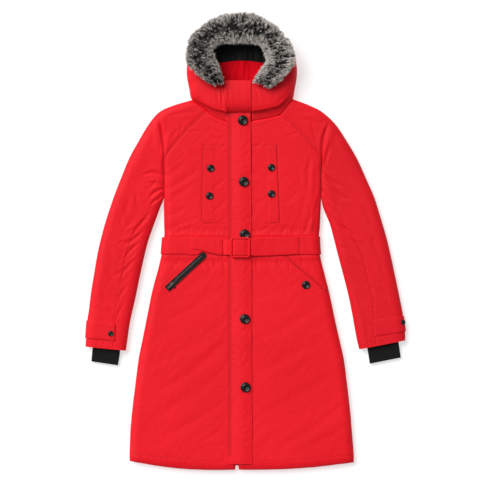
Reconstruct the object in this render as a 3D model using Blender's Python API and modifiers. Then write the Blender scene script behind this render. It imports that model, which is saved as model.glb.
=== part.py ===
"""Long belted parka with a hood and a fur ruff, laid flat on its back.

Frame: +Y towards the hood, +X to the right as seen from above, +Z up.
The floor is z = 0 and the origin is the middle of the bounding box's bottom.
All sizes below are in millimetres. The object is written in metres.

The coat lies in two layers. The back and the lower halves of the sleeves lie
on the floor, and the fronts and the upper halves lie on them. The two layers
meet at the height LAYER_Z, where the side seams are.
"""

import bmesh
import bpy
from math import cos, hypot, pi, radians, sin, sqrt
from mathutils import Matrix, Vector

MM = 0.001

# ---- driving sizes, mm -----------------------------------------------------
GAP = 0.3  # between neighbouring pieces
LAYER_Z = 12.0  # height of the side seams over the floor
BODY_Z = 27.0  # top of the padded fronts
SLEEVE_Z = 26.0  # top of the sleeves
EDGE = 0.8  # half thickness of a padded panel at its seam
SIDE_ROUND = 24.0  # width over which a side edge rounds off
HEM_ROUND = 16.0
NECK_ROUND = 14.0
FLAP_T = 3.7  # storm flap
BELT_T = 2.4
CHANNEL = 2.7  # the belt's room under the back and the tabs' under the sleeves
BELT_SLACK = 0.5  # the belt's sides stand off the body's
TAB_GAP, TAB_T = 0.5, 2.2
KNIT_T = 4.0
HOOD_FLOOR = 10.0  # thickness of the hood's back panel where it lies
HOOD_SEAM_Z = 20.0
FUR_LOW, FUR_HIGH = 47.5, 85.0
CENTRE_X = -24.0  # the fronts meet here, under the storm flap
BIG_R, SMALL_R, POCKET_R, CUFF_R = 14.0, 10.4, 11.6, 7.7
ZIP_LENGTH, ZIP_WIDTH = 144.7, 18.0
ZIP_START = (-219.8, -134.3)  # middle of the zip's square lower end
ZIP_DIR = (0.7356, 0.6774)  # along the zip, to its round upper end

# Body, a row for each level from the neck to the hem. Down to the armpits the
# side points lie on the raglan seams.
# left x, left y, right x, right y, y at centre front, rounding of the edge, floor
BODY = (
    (-109.2, 364.7, 100.2, 351.5, 329.7, 0.0, 0.0),
    (-130.2, 342.9, 123.2, 332.5, 310.9, 0.0, 0.0),
    (-163.8, 310.4, 151.2, 307.0, 285.7, 0.0, 0.0),
    (-196.0, 273.4, 182.0, 272.3, 254.9, 0.0, 0.0),
    (-223.2, 237.3, 209.7, 237.3, 224.1, 0.1, 0.0),
    (-226.5, 198.9, 210.8, 198.9, 193.3, 0.35, 0.0),
    (-227.6, 159.7, 211.1, 159.7, 156.9, 0.5, 0.0),
    (-228.2, 120.5, 212.0, 120.5, 120.5, 0.8, 0.0),
    (-228.8, 98.1, 210.8, 98.1, 98.1, 1.0, 0.0),
    (-229.9, 42.1, 208.6, 42.1, 42.1, 1.0, 0.0),
    (-231.2, 16.5, 206.3, 16.5, 16.5, 1.0, 0.0),
    (-231.3, 13.5, 204.1, 13.5, 13.5, 1.0, CHANNEL),
    (-232.0, -13.9, 206.9, -13.9, -13.9, 1.0, CHANNEL),
    (-235.6, -40.0, 207.2, -40.0, -40.0, 1.0, CHANNEL),
    (-236.3, -43.0, 209.8, -43.0, -43.0, 1.0, 0.0),
    (-243.9, -75.5, 217.0, -75.5, -75.5, 1.0, 0.0),
    (-261.8, -142.7, 234.2, -142.7, -142.7, 1.0, 0.0),
    (-278.6, -226.7, 252.0, -226.7, -226.7, 1.0, 0.0),
    (-298.8, -327.5, 274.6, -327.5, -327.5, 1.0, 0.0),
    (-307.7, -394.7, 283.8, -394.7, -394.7, 1.0, 0.0),
    (-316.1, -461.9, 291.8, -461.9, -461.9, 1.0, 0.0),
    (-322.3, -529.1, 297.8, -529.1, -531.0, 1.0, 0.0),
    (-324.5, -588.0, 302.6, -588.0, -600.0, 1.0, 0.0),
    (-324.5, -615.9, 303.5, -619.5, -640.2, 1.0, 0.0),
)
BACK_HEM_Y = -628.5  # the back's hem at the middle
NECK_SAG = ((9.0, 3.0, -14.0), (5.0, 2.0, -6.0), (2.0, 0.0, -2.0))
# how far the first rows dip between their ends: left front, right front, back

# Sleeves, a row for each station from the neck to the hem. The first eight
# inner points are the body's side points.
# outer x, outer y, inner x, inner y, front seam as a share of the width,
# rounding of the inner edge, floor, gap between the layers
SLEEVE_LEFT = (
    (-152.6, 394.4, None, None, 1.0, 0.0, 0.0, GAP),
    (-204.4, 378.7, None, None, 1.0, 0.0, 0.0, GAP),
    (-242.2, 360.5, None, None, 1.0, 0.0, 0.0, GAP),
    (-271.6, 326.3, None, None, 1.0, 0.0, 0.0, GAP),
    (-302.4, 274.5, None, None, 1.0, 0.1, 0.0, GAP),
    (-326.0, 231.0, None, None, 1.0, 0.35, 0.0, GAP),
    (-350.0, 173.0, None, None, 1.0, 0.5, 0.0, GAP),
    (-368.5, 125.0, None, None, 0.92, 0.8, 0.0, GAP),
    (-379.4, 93.0, -239.4, 92.0, 0.82, 1.0, 0.0, GAP),
    (-390.6, 58.9, -255.6, 47.7, 0.745, 1.0, 0.0, GAP),
    (-404.6, 8.5, -272.2, 0.1, 0.64, 1.0, 0.0, GAP),
    (-415.8, -41.9, -284.8, -50.3, 0.62, 1.0, 0.0, GAP),
    (-424.8, -95.1, -296.5, -103.5, 0.615, 1.0, 0.0, GAP),
    (-432.6, -142.7, -306.6, -152.5, 0.60, 1.0, 0.0, GAP),
    (-439.0, -195.9, -318.4, -204.3, 0.61, 1.0, 0.0, GAP),
    (-443.0, -221.0, -324.2, -232.2, 0.64, 1.0, 0.0, GAP),
    (-443.2, -223.0, -324.6, -234.2, 0.64, 1.0, CHANNEL, GAP),
    (-446.9, -273.0, -331.6, -284.2, 0.68, 1.0, CHANNEL, GAP),
    (-447.1, -275.0, -332.2, -286.2, 0.68, 1.0, 0.0, 6.0),
    (-447.5, -281.5, -333.0, -292.7, 0.69, 1.0, 0.0, 12.0),
    (-448.3, -295.5, -334.9, -306.7, 0.70, 1.0, 0.0, 12.0),
)
SLEEVE_RIGHT = (
    (131.0, 391.6, None, None, 1.0, 0.0, 0.0, GAP),
    (183.4, 378.1, None, None, 1.0, 0.0, 0.0, GAP),
    (217.0, 359.7, None, None, 1.0, 0.0, 0.0, GAP),
    (252.3, 326.3, None, None, 1.0, 0.0, 0.0, GAP),
    (283.4, 280.1, None, None, 1.0, 0.1, 0.0, GAP),
    (312.8, 229.7, None, None, 1.0, 0.35, 0.0, GAP),
    (335.8, 179.3, None, None, 1.0, 0.5, 0.0, GAP),
    (359.2, 126.1, None, None, 0.92, 0.8, 0.0, GAP),
    (370.2, 93.0, 218.0, 92.0, 0.82, 1.0, 0.0, GAP),
    (380.5, 58.9, 236.0, 47.7, 0.74, 1.0, 0.0, GAP),
    (395.2, 8.5, 248.8, 0.1, 0.60, 1.0, 0.0, GAP),
    (407.2, -41.9, 261.7, -50.3, 0.54, 1.0, 0.0, GAP),
    (418.6, -95.1, 275.8, -103.5, 0.53, 1.0, 0.0, GAP),
    (428.6, -142.7, 289.0, -156.7, 0.53, 1.0, 0.0, GAP),
    (439.3, -195.9, 299.9, -211.3, 0.57, 1.0, 0.0, GAP),
    (441.3, -208.5, 302.9, -228.6, 0.58, 1.0, 0.0, GAP),
    (441.7, -210.5, 303.3, -230.6, 0.58, 1.0, CHANNEL, GAP),
    (447.0, -254.5, 311.8, -276.5, 0.61, 1.0, CHANNEL, GAP),
    (447.1, -256.5, 312.2, -278.5, 0.61, 1.0, 0.0, 6.0),
    (447.4, -264.0, 314.5, -287.0, 0.62, 1.0, 0.0, 12.0),
    (447.5, -277.9, 318.4, -303.1, 0.63, 1.0, 0.0, 12.0),
)
TAB_ROWS = (16, 17)  # the tabs run between these stations
# Knit cuffs: left x, left y, right x, right y, underside, top
KNIT_LEFT = (
    (-427.5, -287.5, -350.0, -297.5, 6.4, 17.4),
    (-428.6, -300.5, -351.2, -309.0, 6.4, 17.0),
    (-429.8, -310.0, -352.6, -320.0, 1.5, 13.5),
    (-432.3, -337.0, -357.3, -348.2, 0.0, 12.0),
)
KNIT_RIGHT = (
    (339.2, -290.5, 426.5, -272.5, 6.4, 17.4),
    (341.5, -304.0, 429.2, -285.4, 6.4, 17.0),
    (343.5, -314.0, 431.0, -296.0, 1.5, 13.5),
    (348.0, -343.7, 435.4, -326.3, 0.0, 12.0),
)
# Hood's side panels: outer x, outer y, rim x, rim y, share of the throat's profile
HOOD_LEFT = (
    (-53.1, 335.8, -53.0, 447.6, 1.0),
    (-72.8, 343.4, -63.0, 444.2, 1.0),
    (-92.4, 353.6, -74.2, 441.9, 1.0),
    (-111.0, 369.0, -84.0, 443.5, 0.9),
    (-131.6, 383.8, -92.4, 452.3, 0.6),
    (-151.5, 398.0, -99.4, 463.5, 0.25),
    (-157.6, 425.7, -106.4, 478.9, 0.0),
    (-163.8, 459.3, -110.6, 497.1, 0.0),
    (-163.8, 490.1, -111.2, 515.3, 0.0),
    (-155.4, 532.1, -103.6, 540.5, 0.0),
    (-134.4, 569.9, -85.4, 560.1, 0.0),
    (-99.4, 597.9, -61.6, 571.3, 0.0),
    (-56.0, 611.1, -37.8, 576.9, 0.0),
    (-13.2, 614.5, -13.2, 578.6, 0.0),
)
HOOD_RIGHT = (
    (17.4, 337.6, 16.6, 446.0, 1.0),
    (46.2, 342.5, 33.0, 444.2, 1.0),
    (75.6, 348.5, 47.6, 442.5, 1.0),
    (102.5, 358.0, 57.4, 443.9, 0.9),
    (117.5, 375.0, 65.8, 452.3, 0.6),
    (132.0, 395.8, 72.8, 463.5, 0.25),
    (138.0, 425.7, 79.8, 478.9, 0.0),
    (143.6, 459.3, 84.3, 497.1, 0.0),
    (143.1, 490.1, 84.8, 515.3, 0.0),
    (134.4, 532.1, 78.4, 540.5, 0.0),
    (112.0, 569.9, 60.2, 560.1, 0.0),
    (75.6, 597.9, 37.2, 571.3, 0.0),
    (30.8, 611.1, 12.6, 576.9, 0.0),
    (-12.8, 614.5, -12.8, 578.6, 0.0),
)
# Profile of the side panels from the outer seam to the rim:
# share of the way, throat top, throat underside, side top, side underside
HOOD_PROFILE = (
    (0.00, 20.0, 14.0, 0.9, 0.3),
    (0.06, 21.0, 15.0, 10.0, 4.0),
    (0.14, 23.0, 17.0, 16.0, 11.0),
    (0.22, 36.0, 28.0, 20.0, 15.0),
    (0.35, 45.0, 39.5, 23.0, 18.0),
    (0.55, 47.0, 42.0, 25.0, 20.0),
    (0.80, 45.0, 40.5, 25.0, 20.5),
    (1.00, 40.0, 36.0, 23.0, 19.0),
)
# Hood's back panel: left x, left y, right x, right y
HOOD_BACK = (
    (-152.0, 398.2, 132.2, 396.0),
    (-157.6, 425.7, 138.0, 425.7),
    (-163.8, 459.3, 143.6, 459.3),
    (-163.8, 490.1, 143.1, 490.1),
    (-155.4, 532.1, 134.4, 532.1),
    (-134.4, 569.9, 112.0, 569.9),
    (-99.4, 597.9, 75.6, 597.9),
    (-56.0, 611.1, 30.8, 611.1),
)
HOOD_NECK = ((-152.0, 398.2), (-110.4, 369.5), (-12.0, 375.0), (101.2, 357.0), (132.2, 396.0))
# Fur ruff: outer x, outer y, inner x, inner y
FUR = (
    (-87.1, 433.3, -63.3, 443.1),
    (-117.6, 449.5, -67.5, 466.3),
    (-145.6, 471.9, -73.6, 487.3),
    (-164.9, 497.1, -82.0, 506.9),
    (-166.0, 529.3, -89.3, 526.5),
    (-154.3, 567.1, -81.2, 541.7),
    (-122.0, 599.0, -64.4, 547.8),
    (-79.0, 623.5, -42.0, 548.9),
    (-21.0, 640.2, -18.2, 549.5),
    (27.0, 631.0, 7.0, 548.9),
    (71.0, 606.0, 27.4, 547.3),
    (113.0, 571.5, 44.0, 535.5),
    (135.0, 533.5, 53.5, 519.3),
    (139.7, 499.9, 55.2, 498.5),
    (117.9, 466.3, 43.4, 480.3),
    (93.8, 442.5, 32.2, 464.9),
    (65.8, 424.9, 23.8, 444.8),
)
# Storm flap: y, left x, right x, underside
FLAP = (
    (360.0, -47.6, 14.8, BODY_Z + GAP),
    (325.0, -48.2, 15.3, BODY_Z + GAP),
    (282.9, -48.4, 15.7, BODY_Z + GAP),
    (120.0, -48.5, 16.8, BODY_Z + GAP),
    (-100.0, -48.8, 17.8, BODY_Z + GAP),
    (-330.0, -49.0, 18.6, BODY_Z + GAP),
    (-560.0, -49.2, 19.0, BODY_Z + GAP),
    (-618.0, -49.2, 19.0, BODY_Z + GAP),
    (-624.0, -49.2, 19.0, BODY_Z + GAP),
)
THROAT_FLAP = (  # y, left x, right x, underside, top
    (360.0, -52.3, 15.6, 33.0, 37.5),
    (366.0, -52.3, 15.6, 40.0, 44.0),
    (378.0, -52.3, 15.6, 44.5, 48.4),
    (396.0, -52.3, 15.5, 46.0, 50.0),
    (420.0, -52.3, 15.4, 44.5, 48.4),
    (438.0, -51.8, 15.4, 41.5, 45.4),
    (448.6, -50.9, 15.4, 39.0, 42.6),
)
# Lining and inner back neck: y, left x, right x, rise of the row's middle
LINING = (
    (486.0, -124.0, 102.0, 20.0),
    (512.0, -118.0, 97.0, 8.0),
    (545.0, -98.0, 77.0, 0.0),
    (571.0, -62.0, 34.0, 0.0),
)
NECK_INNER = (
    (384.0, -104.0, 88.0, 0.0),
    (420.0, -118.0, 98.0, 0.0),
    (455.0, -124.0, 102.0, 8.0),
    (484.5, -124.0, 102.0, 20.0),
)
# Belt, each run as x, upper edge y, lower edge y, underside
BELT_FRONT_Z = BODY_Z + GAP
OVER_FLAP_Z = BODY_Z + GAP + FLAP_T + GAP
BELT_TAIL = (
    (-66.0, 3.5, -38.5, BELT_FRONT_Z),
    (-62.0, 3.8, -38.8, BELT_FRONT_Z),
    (-53.0, 4.0, -39.3, OVER_FLAP_Z),
    (-44.0, 4.0, -39.5, OVER_FLAP_Z),
    (-33.0, 4.0, -39.5, 33.5),
    (-23.0, 4.0, -39.5, 36.9),
    (-6.0, 4.0, -39.5, 36.9),
    (4.0, 4.0, -39.5, 34.2),
    (14.0, 4.0, -39.5, 34.1),
    (21.5, 9.0, -41.5, 34.1),
    (32.0, 9.9, -41.9, 30.1),
    (80.0, 11.0, -40.6, 30.0),
    (125.0, 11.6, -38.0, 30.0),
    (148.4, 12.0, -36.8, 30.0),
)
BELT_FOLD = (
    (-149.8, 12.6, -20.9, 30.0),
    (-130.0, 11.6, -25.4, 30.0),
    (-100.0, 8.9, -32.8, 30.0),
    (-75.0, 6.4, -38.4, 30.0),
    (-64.2, 4.9, -39.6, 30.0),
)
BELT_RIGHT_FRONT = (
    (-15.0, 4.0, -39.5, OVER_FLAP_Z),
    (17.0, 4.0, -39.5, OVER_FLAP_Z),
    (19.5, 9.0, -41.5, OVER_FLAP_Z),
    (30.0, 9.6, -41.4, BELT_FRONT_Z),
    (80.0, 10.6, -40.2, BELT_FRONT_Z),
    (125.0, 11.4, -37.8, BELT_FRONT_Z),
)
BELT_LEFT_FRONT = (
    (-67.0, 3.4, -29.0, BELT_FRONT_Z),
    (-105.0, 8.4, -29.0, BELT_FRONT_Z),
    (-121.0, 10.0, -29.6, BELT_FRONT_Z),
    (-131.0, 11.0, -37.5, BELT_FRONT_Z),
    (-150.0, 12.0, -39.6, BELT_FRONT_Z),
)
SIDE_BELT_Y = {-1: (10.8, -36.8), 1: (12.6, -37.4)}  # edges at the sides
BACK_BELT = (-168.0, 142.0)  # reach of the back run
BUCKLE = (-42.3, 13.2, 10.8, -46.1, 6.2)  # left, right, top, bottom, bar
BUCKLE_Z = (36.8, 40.4)
# Buttons: name, x, y, radius, height over the floor
BUTTONS = (
    ("button_front_1", -7.6, 337.3, BIG_R, OVER_FLAP_Z),
    ("button_front_2", -4.8, 165.9, BIG_R, OVER_FLAP_Z),
    ("button_front_3", -2.2, 18.9, BIG_R, OVER_FLAP_Z),
    ("button_front_4", -1.7, -217.7, BIG_R, OVER_FLAP_Z),
    ("button_front_5", 0.0, -408.4, BIG_R, OVER_FLAP_Z),
    ("button_chest_1", -97.2, 203.4, SMALL_R, 29.1),
    ("button_chest_2", -100.8, 126.4, SMALL_R, 29.1),
    ("button_chest_3", 72.2, 205.7, SMALL_R, 29.1),
    ("button_chest_4", 72.5, 132.0, SMALL_R, 29.1),
    ("button_pocket", 168.8, -122.5, POCKET_R, BODY_Z + GAP),
)
# Chest welts: top left, top right, bottom right, bottom left
CHEST_LEFT = ((-117.6, 272.0), (-86.0, 272.0), (-86.0, 50.5), (-121.8, 50.5))
CHEST_RIGHT = ((58.0, 266.0), (86.0, 271.7), (94.6, 51.0), (60.0, 50.5))
WELT_T = 1.5
SLANT = ((111.5, -43.5), (214.0, -131.0), 5.0)  # right pocket's edge: ends, width


# ---- helpers ---------------------------------------------------------------
def roll(t):
    """Quarter ellipse from 0 to 1: the section of a rounded edge."""
    t = min(max(t, 0.0), 1.0)
    return sqrt(1.0 - (1.0 - t) ** 2)


def lerp(a, b, t):
    return a + (b - a) * t


def mix(p, q, t):
    return tuple(lerp(a, b, t) for a, b in zip(p, q))


def look(name, colour, roughness, metallic=0.0):
    mat = bpy.data.materials.new(name)
    mat.use_nodes = True
    bsdf = mat.node_tree.nodes["Principled BSDF"]
    bsdf.inputs["Base Color"].default_value = (*colour, 1.0)
    bsdf.inputs["Roughness"].default_value = roughness
    bsdf.inputs["Metallic"].default_value = metallic
    mat.diffuse_color = (*colour, 1.0)
    return mat


RED = (0.84, 0.018, 0.03)
BLACK = (0.012, 0.012, 0.013)
GREY = (0.17, 0.17, 0.18)


def face_out(bm):
    bmesh.ops.recalc_face_normals(bm, faces=bm.faces)
    if bm.calc_volume(signed=True) < 0.0:
        bmesh.ops.reverse_faces(bm, faces=bm.faces)


def add_object(name, bm, colour, roughness=0.8, metallic=0.0, smooth=40.0):
    face_out(bm)
    mesh = bpy.data.meshes.new(name)
    bm.to_mesh(mesh)
    bm.free()
    mesh.shade_smooth()
    mesh.set_sharp_from_angle(angle=radians(smooth))
    mesh.materials.append(look(name + "_look", colour, roughness, metallic))
    ob = bpy.data.objects.new(name, mesh)
    coat.objects.link(ob)
    return ob


def panel(name, columns, rows, top, under, colour=RED):
    """Closed slab from a grid: top(i, j) and under(i, j) give its two skins."""
    bm = bmesh.new()
    bmesh.ops.create_grid(bm, x_segments=columns - 1, y_segments=rows - 1, size=0.5)
    low = list(bm.verts)
    new = bmesh.ops.extrude_face_region(bm, geom=list(bm.faces), use_keep_orig=True)
    high = [v for v in new["geom"] if isinstance(v, bmesh.types.BMVert)]
    for verts, place in ((low, under), (high, top)):
        for v in verts:
            i = round((v.co.x + 0.5) * (columns - 1))
            j = round((v.co.y + 0.5) * (rows - 1))
            v.co = Vector(place(i, j)) * MM
    return add_object(name, bm, colour)


def loft(name, sections, colour=RED):
    """Closed solid through closed sections with the same number of points."""
    bm = bmesh.new()
    rings = [[bm.verts.new(Vector(p) * MM) for p in section] for section in sections]
    count = len(rings[0])
    for a, b in zip(rings, rings[1:]):
        for k in range(count):
            bm.faces.new((a[k], a[(k + 1) % count], b[(k + 1) % count], b[k]))
    for ring in (rings[0], rings[-1]):
        bm.faces.new(ring)
    bmesh.ops.triangulate(bm, faces=[f for f in bm.faces if len(f.verts) > 4], ngon_method="EAR_CLIP")
    return add_object(name, bm, colour)


def tube(name, outer, inner, colour):
    """Open-ended tube between matching outer and inner rings."""
    bm = bmesh.new()
    skins = [
        [[bm.verts.new(Vector(p) * MM) for p in ring] for ring in rings]
        for rings in (outer, inner)
    ]
    count = len(outer[0])
    for rings in skins:
        for a, b in zip(rings, rings[1:]):
            for k in range(count):
                bm.faces.new((a[k], a[(k + 1) % count], b[(k + 1) % count], b[k]))
    for end in (0, -1):
        a, b = skins[0][end], skins[1][end]
        for k in range(count):
            bm.faces.new((a[k], a[(k + 1) % count], b[(k + 1) % count], b[k]))
    return add_object(name, bm, colour)


# ---- body ------------------------------------------------------------------
def body_rows():
    """The table's rows, with three more by the hem for its rounding."""
    rows, last, end = [], BODY[-2], BODY[-1]
    reach = last[1] - end[1]
    for near in (reach, HEM_ROUND, HEM_ROUND / 2, HEM_ROUND / 6, 0.0):
        rows.append((*mix(last, end, 1.0 - near / reach), near))
    return [(*row, reach + 1.0) for row in BODY[:-2]] + rows


ROWS = body_rows()
SIDE_STEPS = (0.0, 2.0, 6.0, 12.0, 24.0)


def edge_share(rounding, near_side, near_hem):
    side = 1.0 - rounding * (1.0 - roll(near_side / SIDE_ROUND))
    return side * (1.0 - 0.7 * (1.0 - roll(near_hem / HEM_ROUND)))


def front_top(rounding, near_side, near_hem, near_neck=99.0):
    low = LAYER_Z + GAP / 2 + EDGE
    share = edge_share(rounding, near_side, near_hem)
    share *= 0.5 + 0.5 * roll(near_neck / NECK_ROUND)
    dip = 1.5 * (1.0 - rounding) * max(0.0, 1.0 - near_side / 8.0)
    return low + (BODY_Z - low) * share - dip


def back_under(rounding, floor, near_side, near_hem):
    high = LAYER_Z - GAP / 2 - EDGE
    return floor + (high - floor) * (1.0 - edge_share(rounding, near_side, near_hem))


def centre_edge(side, y):
    """The fronts part a little at the hem."""
    part = max(0.0, min(1.0, (-596.0 - y) / 44.0)) ** 1.5
    return CENTRE_X + side * (GAP / 2 + 5.2 * part)


def front_point(side, i, j):
    """A front's plan point with its distance from the side: side is -1 or 1."""
    row = ROWS[j]
    x0, y0 = (row[0], row[1]) if side < 0 else (row[2], row[3])
    x1, y1 = centre_edge(side, row[4]), row[4]
    width = abs(x1 - x0)
    inner = FRONT_COLUMNS - len(SIDE_STEPS)
    if i < len(SIDE_STEPS):
        near = SIDE_STEPS[i]
    else:
        near = lerp(SIDE_STEPS[-1], width, (i - len(SIDE_STEPS) + 1) / inner)
    t = near / width
    dip = NECK_SAG[j][0 if side < 0 else 1] if j < len(NECK_SAG) else 0.0
    hem = (8.0 if side < 0 else 3.5) * max(0.0, 1.0 - row[7] / 28.0)
    y = lerp(y0, y1, t) - dip * sin(pi * t) ** 0.7 - hem * sin(pi * t)
    return lerp(x0, x1, t), y, near


FRONT_COLUMNS = 10


def front(name, side):
    def top(i, j):
        x, y, near = front_point(side, i, j)
        row = ROWS[j]
        neck = 0.0 if j == 0 else 99.0
        return x, y, front_top(row[5], near, row[7], neck)

    def under(i, j):
        x, y, _ = front_point(side, i, j)
        return x, y, LAYER_Z + GAP / 2

    return panel(name, FRONT_COLUMNS, len(ROWS), top, under)


def back():
    half = len(SIDE_STEPS)
    middle = 5
    columns = 2 * half + middle

    def point(i, j):
        row = ROWS[j]
        width = row[2] - row[0]
        if i < half:
            near, x = SIDE_STEPS[i], row[0] + SIDE_STEPS[i]
        elif i >= columns - half:
            near = SIDE_STEPS[columns - 1 - i]
            x = row[2] - near
        else:
            x = lerp(row[0] + 24.0, row[2] - 24.0, (i - half + 1) / (middle + 1))
            near = 99.0
        t = (x - row[0]) / width
        dip = NECK_SAG[j][2] if j < len(NECK_SAG) else 0.0
        sag = (-BACK_HEM_Y - 617.7) * max(0.0, 1.0 - row[7] / 28.0)
        y = lerp(row[1], row[3], t) - dip * sin(pi * t) - sag * sin(pi * t)
        return x, y, near, row

    def top(i, j):
        x, y, _, _ = point(i, j)
        return x, y, LAYER_Z - GAP / 2

    def under(i, j):
        x, y, near, row = point(i, j)
        return x, y, back_under(row[5], row[6], near, row[7])

    return panel("back_panel", columns, len(ROWS), top, under)


# ---- sleeves ---------------------------------------------------------------
def stations(side):
    table = SLEEVE_LEFT if side < 0 else SLEEVE_RIGHT
    rows = []
    for k, row in enumerate(table):
        xi, yi = row[2], row[3]
        if xi is None:
            body = BODY[k]
            xi = (body[0] if side < 0 else body[2]) + side * 0.5
            yi = (body[1] if side < 0 else body[3]) + 0.3
        rows.append((row[0], row[1], xi, yi, *row[4:], BODY_Z if k < 5 else SLEEVE_Z))
    return rows


def sleeve_height(row, s, width, upper, out=0.0):
    """Height of the sleeve's skin at s across it, out being an offset outwards."""
    rounding, floor, high = row[5], row[6], row[8]
    share = roll((s + out) / (SIDE_ROUND + out))
    share *= 1.0 - rounding * (1.0 - roll((width - s + out) / (SIDE_ROUND + out)))
    dip = 1.5 * (1.0 - rounding) * max(0.0, 1.0 - (width - s) / 8.0)
    if upper:
        return LAYER_Z + EDGE + (high + out - LAYER_Z - EDGE) * share - dip
    return LAYER_Z - EDGE - (LAYER_Z - EDGE - floor + out) * share


def across(row, s):
    """Point of the plan at s mm from the outer edge of a station."""
    width = hypot(row[2] - row[0], row[3] - row[1])
    return lerp(row[0], row[2], s / width), lerp(row[1], row[3], s / width), width


def upper_section(row):
    width = across(row, 0.0)[2]
    seam = row[4] * width - GAP / 2
    half, wall = row[7] / 2, 10.0
    steps = (seam, lerp(seam, SIDE_ROUND, 0.5), 24.0, 12.0, 6.0, 2.0, 0.0)
    points = []
    for upper, run in ((True, steps), (False, steps[::-1])):
        for s in run:
            x, y, _ = across(row, s)
            points.append((x, y, sleeve_height(row, s, width, upper)))
    lip = seam - 0.6
    for s, z in ((lip, -half), (wall + 5, -half), (wall, -half * 0.5), (wall, half * 0.5), (wall + 5, half), (lip, half)):
        x, y, _ = across(row, s)
        points.append((x, y, LAYER_Z + z))
    return points


def under_section(row):
    width = across(row, 0.0)[2]
    seam = row[4] * width + GAP / 2
    half = row[7] / 2
    span = width - seam
    ends = [min(span, e) for e in (24.0, 12.0, 6.0, 2.0, 0.0)]
    if span < 26.0:
        ends = [span * k for k in (0.8, 0.5, 0.25, 0.08, 0.0)]
    steps = [seam] + [width - e for e in ends]
    wall = width - min(10.0, span * 0.4)
    turn = width - min(15.0, span * 0.6)
    points = []
    for upper, run in ((True, steps), (False, steps[::-1])):
        for s in run:
            x, y, _ = across(row, s)
            points.append((x, y, sleeve_height(row, s, width, upper)))
    lip = seam + min(0.6, span * 0.1)
    for s, z in ((lip, -half), (turn, -half), (wall, -half * 0.5), (wall, half * 0.5), (turn, half), (lip, half)):
        x, y, _ = across(row, s)
        points.append((x, y, LAYER_Z + z))
    return points


def sleeve(side, word):
    rows = stations(side)
    loft("sleeve_upper_" + word, [upper_section(row) for row in rows])
    first = mix(rows[6], rows[7], 0.4)
    loft("sleeve_under_" + word, [under_section(row) for row in [first] + rows[7:]])
    tab("cuff_tab_" + word, rows)


def tab(name, rows):
    """A tab from the front seam over the outer edge and under the sleeve."""
    ends = [mix(rows[TAB_ROWS[0]], rows[TAB_ROWS[1]], t) for t in (0.04, 0.5, 0.96)]
    steps = (None, 24.0, 12.0, 6.0, 2.0, 0.0)
    path = [(True, s) for s in steps] + [(None, 0.0)] + [(False, s) for s in steps[::-1]]

    def place(i, j, out):
        row, (upper, s) = ends[i], path[j]
        width = across(row, 0.0)[2]
        if upper is None:
            x, y, _ = across(row, -out)
            return x, y, LAYER_Z
        s = row[4] * width + 3.0 if s is None else s
        s -= out * (1.0 - min(1.0, s / 12.0))
        x, y, _ = across(row, s)
        return x, y, sleeve_height(row, s, width, upper, out)

    panel(
        name,
        len(ends),
        len(path),
        lambda i, j: place(i, j, TAB_GAP + TAB_T),
        lambda i, j: place(i, j, TAB_GAP),
    )


def knit_cuff(side, word):
    table = KNIT_LEFT if side < 0 else KNIT_RIGHT
    outer, inner = [], []
    for row in table:
        a, b = (Vector((row[0], row[1])), Vector((row[2], row[3])))
        width, low, high = (b - a).length, row[4], row[5]
        middle, half = (low + high) / 2, (high - low) / 2
        for out, rings in ((0.0, outer), (KNIT_T, inner)):
            thin = max(half - out, 0.5)
            ends = half - out if half > out else 0.5
            ring = []
            for k in range(16):
                turn = 2 * pi * (k + 0.5) / 16
                flat = width / 2 - half
                x = (flat if cos(turn) > 0 else -flat) + max(ends, 0.5) * cos(turn)
                z = middle + thin * sin(turn)
                p = a.lerp(b, 0.5 + x / width)
                ring.append((p.x, p.y, z))
            rings.append(ring)
    tube("knit_cuff_" + word, outer, inner, BLACK)


# ---- hood ------------------------------------------------------------------
def seam_height(y):
    """The hood's side seam climbs from the neck to its full height."""
    return LAYER_Z + (HOOD_SEAM_Z - LAYER_Z) * min(1.0, max(0.0, (y - 396.0) / 30.0))


def hood_side(name, table):
    def place(i, j, upper):
        row, share = table[j], HOOD_PROFILE[i]
        x, y = lerp(row[0], row[2], share[0]), lerp(row[1], row[3], share[0])
        throat = share[1] if upper else share[2]
        lift = share[3] if upper else share[4]
        base = seam_height(row[1]) if share[0] == 0.0 else HOOD_SEAM_Z
        return x, y, lerp(base + lift, throat, row[4])

    return panel(
        name,
        len(HOOD_PROFILE),
        len(table),
        lambda i, j: place(i, j, True),
        lambda i, j: place(i, j, False),
    )


def distance_to_line(p, line):
    best = 1e9
    for a, b in zip(line, line[1:]):
        ab = (b[0] - a[0], b[1] - a[1])
        t = ((p[0] - a[0]) * ab[0] + (p[1] - a[1]) * ab[1]) / (ab[0] ** 2 + ab[1] ** 2)
        t = min(1.0, max(0.0, t))
        best = min(best, hypot(p[0] - a[0] - ab[0] * t, p[1] - a[1] - ab[1] * t))
    return best


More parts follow.
